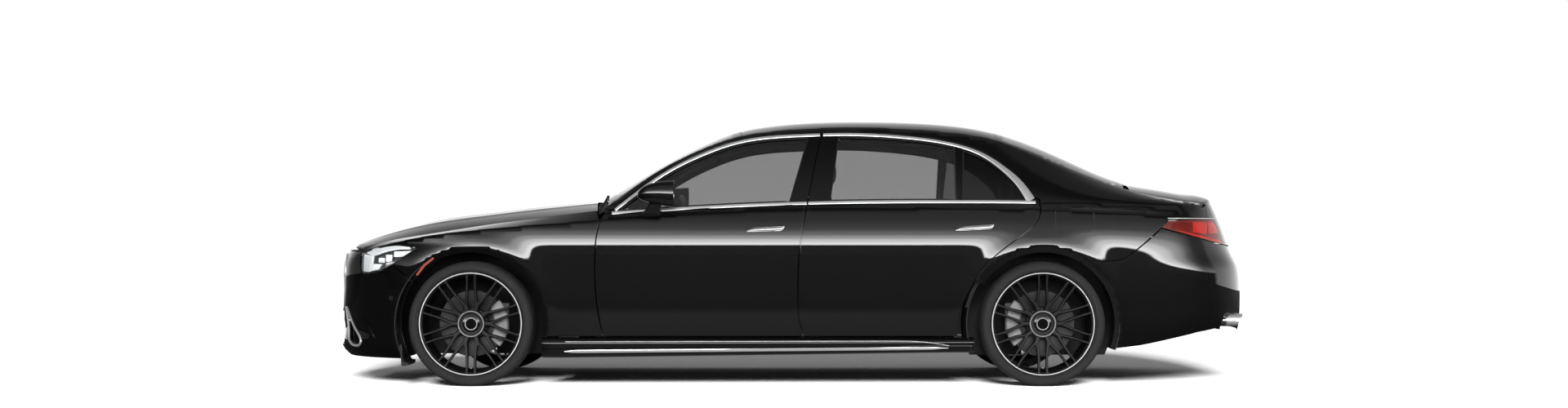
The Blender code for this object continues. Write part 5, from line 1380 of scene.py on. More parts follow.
def roofPath(x0, x1, count=60):
    xs = np.linspace(-1.03, 1.400, 400)
    base = np.stack([xs, doorTop(xs)], 1)
    along = np.clip((xs - 0.95) / 0.44, 0, 1)
    width = stripSetup["top"] + (stripSetup["foot"] - stripSetup["top"]) * along ** 2.2
    step = np.gradient(base, axis=0)
    step /= np.linalg.norm(step, axis=1)[:, None]
    middle = base + (width / 2 + 0.001)[:, None] * np.stack([step[:, 1], -step[:, 0]], 1)
    good = (middle[:, 0] >= x0) & (middle[:, 0] <= x1) & (
        middle[:, 1] > beltZ(middle[:, 0]) + 0.013)
    pts, w = middle[good], width[good]
    at = np.linspace(0, len(pts) - 1, count).round().astype(int)
    return pts[at], w[at]


for name, side in sideSigns.items():
    frontDoor, rearDoor = "front_door_" + name, "rear_door_" + name
    mid = float(shutMid(1.03))
    parts = [("beltStripFront", beltPath(-1.005, mid - 0.0045), stripSetup["belt"], frontDoor),
             ("beltStripRear", beltPath(mid + 0.0045, 1.385), stripSetup["belt"], rearDoor)]
    topMid = float(shutMid(1.428))
    pts, w = roofPath(-0.99, topMid - 0.0040)
    parts.append(("roofStripFront", pts, w, frontDoor))
    pts, w = roofPath(topMid + 0.0040, 1.392, 80)
    parts.append(("roofStripRear", pts, w, rearDoor))
    for label, path, width, body in parts:
        obj = strip("%s_%s" % (label, name), path, width, stripSetup["crown"], beltPlace(side),
                    [brightTrim], body, sink=0.004, rows=9, power=2.6)

# flush handles: a blade in a shallow dark dish
handles = {"front_door": [(-0.258, 0.868), (-0.205, 0.892), (-0.027, 0.903), (-0.048, 0.874)],
           "rear_door": [(0.914, 0.874), (0.967, 0.899), (1.147, 0.912), (1.126, 0.883)]}
for name, side in sideSigns.items():
    for where, corners in handles.items():
        body = "%s_%s" % (where, name)
        loop = rounded(corners, 0.022, 6)
        middle = np.mean(corners, 0)
        dish = [tuple(middle + (np.array(p) - middle) * (1.06, 1.22)) for p in loop]
        obj = panel("handleDish_%s" % body, dish, [], sidePlace(side), 0.014, 0.003, [glossTrim],
                    body, lift=lambda u, v: 0.0006 + 0 * u, radius=0.0005)

        def bulge(u, v, loop=loop):
            away = edgeDistance(np.stack([u, v], 1), loop)
            return 0.0030 + 0.0045 * (1 - np.exp(-(away / 0.006)))
        obj = panel("handleBlade_%s" % body, loop, [], sidePlace(side), 0.0045, 0.0045,
                    [handleTrim], body, lift=bulge, radius=0.0015)

# fuel flap line on the left quarter, a thin groove drawn with a dark bead
flapLoop = rounded([(1.485, 0.868), (1.485, 1.018), (1.700, 1.018), (1.712, 0.868)], 0.05, 8)
obj = panel("fuelFlapGap", flapLoop, [inward(flapLoop, 0.0035)], sidePlace(-1.0), 0.012, 0.002,
            [rubberSeal], "shell", lift=lambda u, v: 0.0004 + 0 * u, radius=0.0004)

# mirrors: a rounded housing on a slim foot, with the glass facing back
mirrorSetup = {"front": -0.857, "back": -0.652, "y": 1.004, "z": 1.082, "half": 0.063,
               "low": 0.052, "grow": 0.022}


def mirrorRing(x, shrink=1.0, count=40):
    m = mirrorSetup
    t = (x - m["front"]) / (m["back"] - m["front"])
    full = np.clip(1 - (1 - np.clip(t / 0.72, 0, 1)) ** 2.3, 0.0004, 1) ** 0.5
    tall = (m["low"] + m["grow"] * t) * full * shrink
    wide = m["half"] * full * shrink
    out = []
    for k in range(count):
        a = 2 * math.pi * k / count
        c, s = math.cos(a), math.sin(a)
        y = wide * math.copysign(abs(c) ** 0.75, c)
        z = tall * math.copysign(abs(s) ** (0.62 if s < 0 else 0.85), s)
        out.append((x, y, m["z"] + z - 0.006 * (1 - full) * 4 + 0.010 * (1 - t)))
    return np.array(out)


for name, side in sideSigns.items():
    body = "front_door_" + name
    m = mirrorSetup
    xs = [m["front"] + (m["back"] - m["front"]) * (1 - math.cos(math.pi / 2 * k / 17))
          for k in range(18)]
    rings = [mirrorRing(x) for x in xs]
    rings.append(mirrorRing(m["back"], 0.93))
    rings.append(mirrorRing(m["back"] - 0.012, 0.91))
    shift = np.array([0, side * m["y"], 0])
    obj = loft("mirrorHousing_" + name, [r * (1, side, 1) + shift for r in rings], [blackPaint],
               body, True, 50)
    stand(obj, "black_paint", "mirror_" + name)
    glass = [mirrorRing(m["back"] - 0.0115, 0.90), mirrorRing(m["back"] - 0.0085, 0.90),
             mirrorRing(m["back"] - 0.0080, 0.88)]
    obj = loft("mirrorGlass_" + name, [r * (1, side, 1) + shift for r in glass], [mirrorFace],
               body, True, 30)
    base = [(-0.800, 0.960, 0.952), (-0.790, 0.985, 0.964), (-0.770, 1.005, 0.990),
            (-0.755, 1.012, 1.020), (-0.750, 1.010, 1.045)]
    wide = [(0.060, 0.012), (0.052, 0.011), (0.040, 0.012), (0.036, 0.016), (0.040, 0.024)]
    rings = []
    for (x, y, z), (w, h) in zip(base, wide):
        ring = []
        for k in range(24):
            a = 2 * math.pi * k / 24
            c, s = math.cos(a), math.sin(a)
            ring.append((x + w * math.copysign(abs(c) ** 0.7, c),
                         side * (y + h * 0.6 * math.copysign(abs(s) ** 0.7, s)),
                         z + h * 0.5 * math.copysign(abs(s) ** 0.7, s)))
        rings.append(np.array(ring))
    obj = loft("mirrorFoot_" + name, rings, [glossTrim], body, True, 50)
    lip = tube("mirrorLip_" + name, [ring[29] * (1, side, 1) + shift for ring in
                                     [mirrorRing(x, 1.002) for x in xs[4:]]], 0.0022,
               [brushedTrim], body, 8)
print("stage: strips, handles, mirrors")

# side skirts: a rounded black sill with a blade and a bright strip
skirtRows = [(0.162, -0.055), (0.160, -0.020), (0.166, -0.002), (0.176, 0.006), (0.186, 0.010),
             (0.206, 0.014), (0.214, 0.010), (0.226, 0.012), (0.244, 0.012), (0.256, 0.006),
             (0.268, -0.004), (0.276, -0.020)]


def skirtLow(x):  # the lower edge rises a little towards the rear
    return 0.030 * np.clip((x + 1.30) / 2.2, 0, 1)


def skirtPlace(side, out=0.0):
    zs = np.array([z for z, _ in skirtRows])
    push = np.array([p for _, p in skirtRows])
    order = np.argsort(zs[1:]) + 1

    def place(u, v):
        grow = skirtLow(u)
        base = np.interp(v - grow * np.clip((0.27 - v) / 0.11, 0, 1), zs[order], push[order])
        y = lowSide(u, np.maximum(v, 0.15)) + base + out
        return np.stack([u, side * y, v], -1)
    return place


for name, side in sideSigns.items():
    xs = np.concatenate([np.linspace(-1.398, -1.30, 8), np.linspace(-1.27, 0.92, 50),
                         np.linspace(0.94, 1.030, 8)])
    rings = []
    for x in xs:
        grow = float(skirtLow(x))
        end = min(np.clip((x + 1.400) / 0.05, 0, 1), np.clip((1.034 - x) / 0.05, 0, 1))
        tuck = 0.012 * (1 - end) ** 2
        ring = []
        for z, push in skirtRows:
            high = z + grow * np.clip((0.27 - z) / 0.11, 0, 1)
            y = float(lowSide(x, max(high, 0.15))) + push - tuck
            ring.append((x, side * y, high))
        back = [(x, side * 0.815, 0.274), (x, side * 0.815, 0.170 + grow)]
        rings.append(np.array(ring + back))
    obj = loft("skirt_" + name, rings, [glossTrim], "shell", True, 50)
    stand(obj, "black_trim", "side_skirt_" + name)
    path = [(x, 0.196 + float(skirtLow(x)) * 0.68) for x in np.linspace(-1.27, 0.885, 60)]
    share = np.linspace(0, 1, 60)
    width = 0.018 * np.clip(share / 0.02, 0.3, 1) * np.clip((1 - share) / 0.04, 0.25, 1)
    obj = strip("skirtStrip_" + name, path, width, 0.003, skirtPlace(side, 0.0005), [brightTrim],
                "shell", sink=0.003, rows=7)
    path = [(x, 0.2515 + float(skirtLow(x)) * 0.16 - 0.03 * max(0.0, (x - 0.55) / 0.35) ** 3)
            for x in np.linspace(-1.265, 0.89, 60)]
    obj = strip("skirtBlade_" + name, path, 0.0075, 0.004, skirtPlace(side, 0.001), [brushedTrim],
                "shell", sink=0.003, rows=7)

# headlamps: a dished dark housing, bright reflectors and pods, and a clear cover
lampLow = [(-2.4576, 0.640), (-2.434, 0.630), (-2.333, 0.645), (-2.256, 0.682), (-2.185, 0.729),
           (-2.106, 0.777)]
lampHigh = [(-2.150, 0.789), (-2.235, 0.797), (-2.310, 0.788), (-2.380, 0.770),
            (-2.4576, 0.743)]
lampLoop = [tuple(p) for p in rounded(lampLow + lampHigh, 0.012, 5)]


def noseLoop(points, side, step=0.012):
    dense = resample(np.array(points), step)
    return [(float(noseU(np.array(x), np.array(z), side)), float(z)) for x, z in dense]


def lampDish(loop, deep, edge=0.0025, reach=0.018):
    def lift(u, v):
        away = edgeDistance(np.stack([u, v], 1), loop)
        return -edge - (deep - edge) * (1 - np.exp(-away / reach))
    return lift


lampParts = [
    # reflector bands and pods: corner points in x and z, depth, finish
    ("band", [(-2.438, 0.752), (-2.384, 0.772), (-2.305, 0.786), (-2.213, 0.792), (-2.148, 0.783),
              (-2.150, 0.772), (-2.213, 0.772), (-2.284, 0.762), (-2.378, 0.733)], 0.007, "white"),
    ("front", [(-2.446, 0.643), (-2.400, 0.640), (-2.384, 0.690), (-2.380, 0.734),
               (-2.446, 0.744)], 0.007, "white"),
    ("shelf", [(-2.396, 0.646), (-2.345, 0.654), (-2.325, 0.686), (-2.384, 0.687)], 0.009, "white"),
    ("blockOne", [(-2.347, 0.694), (-2.310, 0.694), (-2.310, 0.722), (-2.347, 0.722)], 0.009,
     "white"),
    ("blockTwo", [(-2.301, 0.700), (-2.264, 0.702), (-2.262, 0.741), (-2.301, 0.741)], 0.010,
     "white"),
    ("blockThree", [(-2.250, 0.728), (-2.196, 0.730), (-2.140, 0.764), (-2.250, 0.760)], 0.010,
     "white"),
    ("lens", [(-2.303, 0.668), (-2.276, 0.674), (-2.244, 0.702), (-2.303, 0.696)], 0.014, "silver"),
]
for name, side in sideSigns.items():
    loop = noseLoop(lampLoop, side)
    cover = panel("headlampCover_" + name, loop, [], nosePlace, 0.016, 0.0025, [lampCover],
                  "shell", lift=lambda u, v: -0.0008 + 0 * u, radius=0.001)
    cover.visible_shadow = False
    stand(cover, "lamp_glass", "headlamp_" + name)
    inner = [tuple(p) for p in inward(loop, 0.0015)]
    dish = panel("headlampHousing_" + name, inner, [], nosePlace, 0.010, 0.003, [lampDark],
                 "shell", lift=lampDish(inner, 0.040), radius=0.0006)
    for label, corners, deep, finish in lampParts:
        piece = noseLoop(rounded(corners, 0.006, 3), side, 0.006)
        mat = lampWhite if finish == "white" else lampSilver

        def crown(u, v, piece=piece, deep=deep):
            away = edgeDistance(np.stack([u, v], 1), piece)
            return -deep + 0.005 * (1 - np.exp(-away / 0.004))
        obj = panel("headlamp_%s_%s" % (label, name), piece, [], nosePlace, 0.006, 0.010, [mat],
                    "shell", lift=crown, radius=0.001)
    marker = [(-2.111, 0.628), (-2.101, 0.620), (-2.054, 0.677), (-2.001, 0.718), (-2.008, 0.727),
              (-2.064, 0.687)]
    obj = panel("sideMarker_" + name, rounded(marker, 0.006, 3), [], sidePlace(side), 0.010, 0.003,
                [amber], "shell", lift=lambda u, v: 0.0020 + 0 * u, radius=0.001)

# tail lamps: red cover over a bright patterned body
tailLoopSide = [(2.088, 0.893), (2.135, 0.931), (2.250, 0.938), (2.420, 0.940), (2.520, 0.936),
                (2.553, 0.790), (2.431, 0.808), (2.300, 0.840), (2.180, 0.871)]


def tailPoints(points, side, step=0.012):
    dense = resample(np.array(points), step)
    out = []
    for x, z in dense:
        limit = float(tailX(z)) - 0.004
        out.append((float(tailU(np.array(min(x, limit)), np.array(z), side)), float(z)))
    return out


tailParts = [
    ("blockOne", [(2.150, 0.884), (2.265, 0.866), (2.270, 0.922), (2.165, 0.922)], "dark"),
    ("blockTwo", [(2.285, 0.868), (2.380, 0.856), (2.388, 0.926), (2.290, 0.926)], "red"),
    ("blockThree", [(2.395, 0.860), (2.485, 0.866), (2.490, 0.924), (2.398, 0.926)], "red"),
    ("fence", [(2.180, 0.8755), (2.300, 0.845), (2.431, 0.814), (2.520, 0.803), (2.520, 0.815),
               (2.431, 0.828), (2.300, 0.857), (2.185, 0.882)], "red"),
]
for name, side in sideSigns.items():
    loop = tailPoints(rounded(tailLoopSide, 0.008, 4), side)
    cover = panel("tailLampCover_" + name, loop, [], tailPlace, 0.016, 0.0025, [redCover],
                  "shell", lift=lambda u, v: -0.0008 + 0 * u, radius=0.001)
    stand(cover, "red_lamp", "tail_lamp_" + name)
    inner = [tuple(p) for p in inward(loop, 0.0015)]
    dish = panel("tailLampHousing_" + name, inner, [], tailPlace, 0.012, 0.003, [tailBack],
                 "shell", lift=lampDish(inner, 0.020), radius=0.0006)
    for label, corners, finish in tailParts:
        piece = tailPoints(rounded(corners, 0.005, 3), side, 0.008)
        mat = redInner if finish == "red" else redDark
        obj = panel("tailLamp_%s_%s" % (label, name), piece, [], tailPlace, 0.008, 0.008, [mat],
                    "shell", lift=lambda u, v: -0.0065 + 0 * u, radius=0.001)
    bar = [(x, 0.9455) for x in np.linspace(2.130, 2.452, 40)]
    bar = [(float(tailU(np.array(x), np.array(z), side)), z) for x, z in bar]
    obj = strip("tailBar_" + name, bar, 0.007, 0.002, tailPlace, [brightTrim], "shell", 0.002)
print("stage: skirts, lamps")

# grille: bright surround, upright bars, dark mesh, and the lower intakes
def nosePoint(y, z, back=0.0):
    return (float(noseFace(np.array(y), np.array(z))) + back, y, z)


ringPath = [nosePoint(y, z, 0.002) for y, z in resample(np.array(grilleLoop), 0.02)]
obj = tube("grilleSurround", ringPath, 0.0085, [brightTrim], "shell", 12, True)
stand(obj, "chrome", "grille")
for k in range(15):
    y = -0.36 + 0.72 * k / 14
    low = 0.418 + (0.015 if abs(y) > 0.30 else 0.0)
    high = 0.728 - (0.010 if abs(y) > 0.36 else 0.0)
    rings = []
    for z in np.linspace(low, high, 12):
        x = nosePoint(y, z)[0]
        rings.append(np.array([(x + dx, y + dy, z) for dx, dy in (
            (0.030, -0.0045), (0.012, -0.0055), (0.006, -0.0035), (0.0045, 0.0), (0.006, 0.0035),
            (0.012, 0.0055), (0.030, 0.0045))]))
    obj = loft("grilleBar_%d" % k, rings, [brushedTrim], "shell", True, 35)


def meshPlate(label, loop, deep, pitch=0.019, bar=0.0028):  # a plate of slanted crossing bars
    low, high = np.min(loop, 0), np.max(loop, 0)
    dense = resample(np.array(loop), 0.01)
    backing = panel(label + "_back", [(float(noseUofY(np.array(y), np.array(z))), float(z))
                                      for y, z in dense], [], nosePlace, 0.04, 0.003, [mattTrim],
                    "shell", lift=lambda u, v: -deep - 0.012 + 0 * u, radius=0.0008)
    verts, faces = [], []
    for way in (-1, 1):
        reach = (high[0] - low[0]) + (high[1] - low[1])
        for s in np.arange(low[0] - reach, high[0] + reach, pitch):
            pts = np.array([(s + way * t * 1.2, low[1] + t)
                            for t in np.linspace(0, high[1] - low[1], 28)])
            inside = inPolygon(pts, loop)
            run = pts[inside]
            if len(run) < 3:
                continue
            start = len(verts)
            for y, z in run:
                x = float(noseFace(np.array(y), np.array(z))) + deep
                verts += [(x, y - bar, z), (x - 0.003, y, z), (x, y + bar, z), (x + 0.006, y, z)]
            for k in range(len(run) - 1):
                for j in range(4):
                    i = (j + 1) % 4
                    faces.append((start + 4 * k + j, start + 4 * k + i, start + 4 * k + 4 + i,
                                  start + 4 * k + 4 + j))
            faces.append([start + j for j in range(4)])
            faces.append([start + 4 * (len(run) - 1) + 3 - j for j in range(4)])
    obj = tidyMesh(build(label, verts, faces, [glossTrim], "shell"), 30)


meshPlate("grilleMesh", grilleLoop, 0.034)
meshPlate("lowerMesh", lowerLoop, 0.022)
for side, loop in sideLoops.items():
    meshPlate("sideMesh_%s" % ("left" if side < 0 else "right"), loop, 0.024)
    path = [nosePoint(y, z, 0.000) for y, z in resample(np.array(loop), 0.012)]
    obj = tube("intakeRing_%s" % ("left" if side < 0 else "right"), path, 0.0075, [brightTrim],
               "shell", 10, True)
    fin = [(side * 0.655, 0.380), (side * 0.700, 0.330), (side * 0.738, 0.262)]
    path = [nosePoint(y, z, -0.003) for y, z in resample(np.array(fin), 0.01, False)]
    obj = tube("cornerFin_%s" % ("left" if side < 0 else "right"), path, 0.005, [glossTrim],
               "shell", 8)

# exhaust tips, parking sensors, wipers and the air deflectors
for name, side in sideSigns.items():
    for k, y in enumerate((0.500, 0.610)):
        end = 2.598 - (0.022 if y > 0.55 else 0.0)
        rings = []
        for x, w, h in ((2.50, 0.046, 0.031), (end - 0.03, 0.048, 0.033), (end, 0.049, 0.034),
                        (end + 0.001, 0.046, 0.031), (end - 0.05, 0.043, 0.028)):
            ring = []
            for a in np.linspace(0, 2 * math.pi, 36, endpoint=False):
                c, s = math.cos(a), math.sin(a)
                ring.append((x + 0.022 * s * (x > 2.52),
                             side * y + w * math.copysign(abs(c) ** 0.75, c),
                             0.362 + h * math.copysign(abs(s) ** 0.75, s)))
            rings.append(np.array(ring))
        obj = loft("exhaustTip_%s_%d" % (name, k), rings, [brightTrim], "shell", True, 40)
    for x, z in ((-2.262, 0.494),):
        ring = panel("parkSensor_" + name, [(float(noseU(np.array(px), np.array(pz), side)), pz)
                                            for px, pz in circle(x, z, 0.013, 28)], [], nosePlace,
                     0.008, 0.002, [satinTrim], "shell", lift=lambda u, v: 0.0006 + 0 * u,
                     radius=0.0006)
def cowlPlace(u, v):  # u across, v from the hood's back edge to the foot of the screen
    back, foot = hoodBack(u / 0.83) + 0.007, screenFront(np.abs(u) / 0.83) - 0.002
    x = back + (foot - back) * v
    z0 = hoodPlace(back, u)[..., 2] - 0.020
    z1 = topZ(foot, u) - 0.008
    return np.stack([x, u, z0 + (z1 - z0) * v - 0.012 * np.sin(math.pi * v)], -1)


cowlEdge = [(-0.80, 0.0), (0.80, 0.0), (0.80, 1.0), (-0.80, 1.0)]
obj = panel("cowlPanel", resample(np.array(cowlEdge), 0.04), [], cowlPlace, 0.03, 0.004, [mattTrim],
            "shell", stretch=0.15)
for k, (y0, y1) in enumerate(((-0.62, -0.02), (0.02, 0.60))):
    pts = []
    for t in np.linspace(0, 1, 24):
        y = y0 + (y1 - y0) * t
        x = float(screenFront(abs(y) / 0.83)) + 0.006
        pts.append((x, y, float(topZ(np.array(x), np.array(y))) + 0.004))
    obj = tube("wiperBlade_%d" % k, pts, 0.005, [mattTrim], "shell", 8)
    foot = cowlPlace(np.array(y0 + 0.02), np.array(0.5))
    arm = [(float(foot[0]), y0 + 0.02, float(foot[2]) + 0.004)]
    arm += [tuple(np.array(p) + (0, 0, 0.004)) for p in pts[6:14]]
    obj = tube("wiperArm_%d" % k, arm, 0.005, [mattTrim], "shell", 8)
for name, side in sideSigns.items():  # soft flaps ahead of the front wheels
    rings = []
    for y in np.linspace(0.640, 0.900, 12):
        low = 0.112 + 0.10 * max(0.0, 0.700 - y)
        rings.append(np.array([(x, side * y, z) for x, z in (
            (-2.200, 0.232), (-2.190, low + 0.012), (-2.186, low), (-2.150, low + 0.006),
            (-2.150, low + 0.020), (-2.180, low + 0.024), (-2.188, 0.236))]))
    fillLow, fillHigh = sorted((side * 0.880, side * 0.905))
    block("sillFiller_" + name, (-1.30, fillLow, 0.240), (-1.19, fillHigh, 0.310),
                  mattTrim, "shell")
    loft("wheelFlap_" + name, rings, [rubberSeal], "shell", True, 30)
print("stage: grille, tips, wipers")


# wheels: tyre, rim with ten forked arms, bright flange, cap, disc and valve
wheelSetup = {"arms": 10, "hub": 0.066, "fork": 0.122, "reach": 0.282, "spread": 13.2,
              "first": 108.0}


def gather(name, objs, body):  # several pieces of one finish become one
    bm = bmesh.new()
    for obj in objs:
        bm.from_mesh(obj.data)
    mats = list(objs[0].data.materials)
    mesh = bpy.data.meshes.new(name)
    bm.to_mesh(mesh)
    bm.free()
    for m in mats:
        mesh.materials.append(m)
    for obj in objs:
        bpy.data.objects.remove(obj, do_unlink=True)
    out = bpy.data.objects.new(name, mesh)
    scene.collection.objects.link(out)
    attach(out, body)
    return out


tyreHalf = [(0.2912, 0.104), (0.2950, 0.1135), (0.2985, 0.1195), (0.3025, 0.1235),
            (0.3085, 0.1262), (0.3092, 0.1274), (0.3150, 0.1278), (0.3156, 0.1268),
            (0.3230, 0.1262), (0.3300, 0.1238), (0.3370, 0.1195), (0.3425, 0.1130),
            (0.3462, 0.1050), (0.3482, 0.0975)]
treadHalf = [(0.3491, 0.0900)]
for centre in (0.066, 0.024):
    treadHalf += [(0.3506, centre + 0.0062), (0.3440, centre + 0.0050),
                  (0.3440, centre - 0.0050), (0.3508, centre - 0.0062)]
tyreLoop = tyreHalf + treadHalf + [(0.3509, 0.0)] + [(r, -y) for r, y in
                                                     (tyreHalf + treadHalf)[::-1]]

rimLoop = [(0.2898, -0.1110), (0.2898, -0.1165), (0.2887, -0.1185), (0.2862, -0.1190),
           (0.2832, -0.1182), (0.2820, -0.1150), (0.2795, -0.1050), (0.2740, -0.1015),
           (0.2700, -0.0900), (0.2660, -0.0600), (0.2640, -0.0200), (0.2600, 0.0600),
           (0.2650, 0.1000), (0.2780, 0.1100), (0.2870, 0.1160), (0.2898, 0.1140),
           (0.2860, 0.0900), (0.2700, 0.0600), (0.2700, -0.0400), (0.2860, -0.0850)]
rimSlots = [1, 1, 1, 1, 1] + [0] * 15
hubLoop = [(0.030, -0.0800), (0.0600, -0.0815), (0.0645, -0.0890), (0.0670, -0.0975),
           (0.0690, -0.0985), (0.0735, -0.0980), (0.0760, -0.0900), (0.0785, -0.0840),
           (0.0800, -0.0560), (0.0300, -0.0560)]
hubSlots = [0, 0, 1, 1, 1, 1, 0, 0, 0, 0]
discLoop = [(0.0790, -0.0350), (0.0860, -0.0350), (0.0900, -0.0120), (0.1020, -0.0150),
            (0.1860, -0.0150), (0.1875, -0.0135), (0.1875, -0.0060), (0.1800, -0.0050),
            (0.1800, 0.0050), (0.1875, 0.0060), (0.1875, 0.0135), (0.1860, 0.0150),
            (0.1020, 0.0150), (0.0790, 0.0150)]


def spokeRings(points, side, centre):  # rounded bars through points of radius, angle, face, width
    flat = np.array([(r * math.cos(math.radians(a)), r * math.sin(math.radians(a)))
                     for r, a, *_ in points])
    along = np.gradient(flat, axis=0)
    along /= np.linalg.norm(along, axis=1)[:, None]
    rings = []
    for (r, a, face, wide, deep), p, t in zip(points, flat, along):
        across = np.array([-t[1], t[0]])
        ring = []
        for w, d in ((-1.15, 1.0), (-1.0, 0.30), (-0.72, 0.06), (0.0, 0.0), (0.72, 0.06),
                     (1.0, 0.30), (1.15, 1.0)):
            q = p + across * (w * wide / 2)
            ring.append((centre[0] + q[0], centre[1] + -side * (face + d * deep),
                         centre[2] + q[1]))
        rings.append(np.array(ring))
    return rings


def wheel(where, name, side, axle):
    label = "%s_%s" % (where, name)
    body = "wheel_" + label
    centre = np.array([axle, side * wheelOut, hubHeight])
    flip = -side
    tyre = turned("tyre_skin_" + label, [(r, y * flip) for r, y in tyreLoop], centre,
                  [tyreRubber], body, 96, angle=28)
    stand(tyre, "tyre_rubber", "tyre_" + label)
    barrel = turned("rim_barrel_" + label, [(r, y * flip) for r, y in rimLoop], centre,
                    [rimBlack, rimFlange], body, 120, rimSlots, angle=28)
    stand(barrel, "rim_paint", "rim_" + label)
    arms = []
    for k in range(wheelSetup["arms"]):
        a = wheelSetup["first"] + 360.0 * k / wheelSetup["arms"]
        hub, fork, reach = wheelSetup["hub"], wheelSetup["fork"], wheelSetup["reach"]
        stem = [(r, a, -0.0840 - 0.0050 * t, 0.030 - 0.005 * t, 0.028) for r, t in
                zip(np.linspace(hub, fork + 0.004, 5), np.linspace(0, 1, 5))]
        arms.append(loft("arm", spokeRings(stem, side, centre), [rimBlack], body, True, 40))
        for way in (-1, 1):
            end = np.array([reach * math.cos(math.radians(wheelSetup["spread"] * way)),
                            reach * math.sin(math.radians(wheelSetup["spread"] * way))])
            start = np.array([fork - 0.012, 0.0035 * way])
            line = []
            for t in np.linspace(0, 1, 9):
                p = start + (end - start) * t
                bow = 0.0045 * math.sin(math.pi * t) * way
                r, turn = math.hypot(p[0], p[1] + bow), math.degrees(math.atan2(p[1] + bow, p[0]))
                face = -0.0885 - 0.0190 * t ** 0.9
                wide = 0.0165 - 0.0040 * t + 0.006 * max(0.0, t - 0.9) * 10
                line.append((r, a + turn, face, wide, 0.024))
            arms.append(loft("spoke", spokeRings(line, side, centre), [rimBlack], body, True, 40))
    spokes = gather("rim_spokes_" + label, arms, body)
    hub = turned("rim_hub_" + label, [(r, y * flip) for r, y in hubLoop], centre,
                 [rimBlack, capGrey], body, 64, hubSlots, angle=35)
    cap = turned("rim_cap_" + label, [(r, y * flip) for r, y in (
        (0.0010, -0.0890), (0.0280, -0.0890), (0.0300, -0.0905), (0.0325, -0.0935),
        (0.0345, -0.0935), (0.0360, -0.0910), (0.0370, -0.0850), (0.0480, -0.0830),
        (0.0480, -0.0700), (0.0010, -0.0700))], centre, [glossTrim, rimFlange], body, 64,
        [0, 0, 1, 1, 1, 0, 0, 0, 0, 0], angle=35)
    disc = turned("brake_disc_" + label, [(r, y * flip) for r, y in discLoop], centre,
                  [discIron], body, 80, angle=30)
    spot = centre + np.array([0.0, 0.0, -0.2480])
    valve = turned("valve_" + label, [(r, (y - 0.086) * flip) for r, y in (
        (0.0010, -0.0060), (0.0030, -0.0060), (0.0042, -0.0045), (0.0042, 0.0100),
        (0.0010, 0.0100))], spot, [rimFlange], body, 16, angle=40)


for name, side in sideSigns.items():
    for where, axle in (("front", frontAxle), ("rear", rearAxle)):
        wheel(where, name, side, axle)


def caliperBody(label, side, axle, behind, body):
    middle = 0.0 if behind > 0 else 180.0
    rings = []
    turn = np.linspace(-39, 41, 20)
    for t in turn:
        a = math.radians(middle + t * behind)
        edge = min(1.0, (40 - abs(t - 1)) / 6 + 0.25)
        inner, outer = 0.128 + 0.012 * (1 - edge), 0.2030
        ribs = 0.0020 * math.cos(math.radians(t * 9))
        loop = [(inner, 0.0405), (inner + 0.004, 0.0440 + ribs), (outer - 0.006, 0.0440 + ribs),
                (outer, 0.0400), (outer, 0.0210), (inner, 0.0210)]
        rings.append(np.array([(axle + r * math.cos(a), side * (wheelOut + y),
                                hubHeight + r * math.sin(a)) for r, y in loop]))
    obj = loft("caliper_" + label, rings, [caliperGrey], body, True, 35)


for name, side in sideSigns.items():
    caliperBody("front_" + name, side, frontAxle, 1, "knuckle_" + name)
    caliperBody("rear_" + name, side, rearAxle, -1, "shell")
print("stage: wheels, brakes")


# seats: stuffed covers swell in a short cloth run, then the seams are drawn in
seatSetup = {"voxel": 0.014, "pressure": 4.0, "swell": 0.022, "groove": 0.0055,
             "grooveWidth": 0.0075, "thread": 0.0013}
cushions = []


def cushionTop(stations, bump):  # rings across the width, one for each station along x
    rings = []
    for x, half, low, high, lean in stations:
        t = np.linspace(-1, 1, 33)
        edge = (1 - np.abs(t) ** 9) ** (1 / 9)
        top = low + (high - low) * edge + bump(t) * edge * lean
        down = np.linspace(1, -1, 9)[1:-1]
        ring = [(x, half * a, b) for a, b in zip(t, top)]
        ring += [(x, half * a * 0.97, low - 0.004) for a in down]
        rings.append(np.array(ring))
    return rings


def cushionBack(stations, bump):  # rings across the width, one for each height
    rings = []
    for z, half, front, rear, lean in stations:
        t = np.linspace(-1, 1, 33)
        edge = (1 - np.abs(t) ** 9) ** (1 / 9)
        face = rear - (rear - front) * edge - bump(t) * edge * lean
        down = np.linspace(1, -1, 9)[1:-1]
        ring = [(a, half * b, z) for a, b in zip(face, t)]
        ring += [(rear + 0.004, half * b * 0.97, z) for b in down]
        rings.append(np.array(ring))
    return rings


def softBlock(name, rings, shift, seams, facing, fill, mat):
    obj = loft(name, [r + np.array(shift) for r in rings], [mat], "shell", True, 180)
    mod = obj.modifiers.new("mesh", "REMESH")
    mod.mode = "VOXEL"
    mod.voxel_size = seatSetup["voxel"]
    settle(obj)
    cushions.append({"obj": obj, "seams": [np.array(s) + np.array(shift) for s in seams],
                     "facing": facing, "fill": fill})
    return obj


def settle(obj):  # the modifiers become the mesh
    view = bpy.context.evaluated_depsgraph_get()
    mesh = bpy.data.meshes.new_from_object(obj.evaluated_get(view))
    old = obj.data
    obj.modifiers.clear()
    obj.data = mesh
    mesh.name = obj.name
    bpy.data.meshes.remove(old)
    mesh.polygons.foreach_set("use_smooth", [True] * len(mesh.polygons))


def points(mesh):
    flat = np.empty(len(mesh.vertices) * 3)
    mesh.vertices.foreach_get("co", flat)
    return flat.reshape(-1, 3)


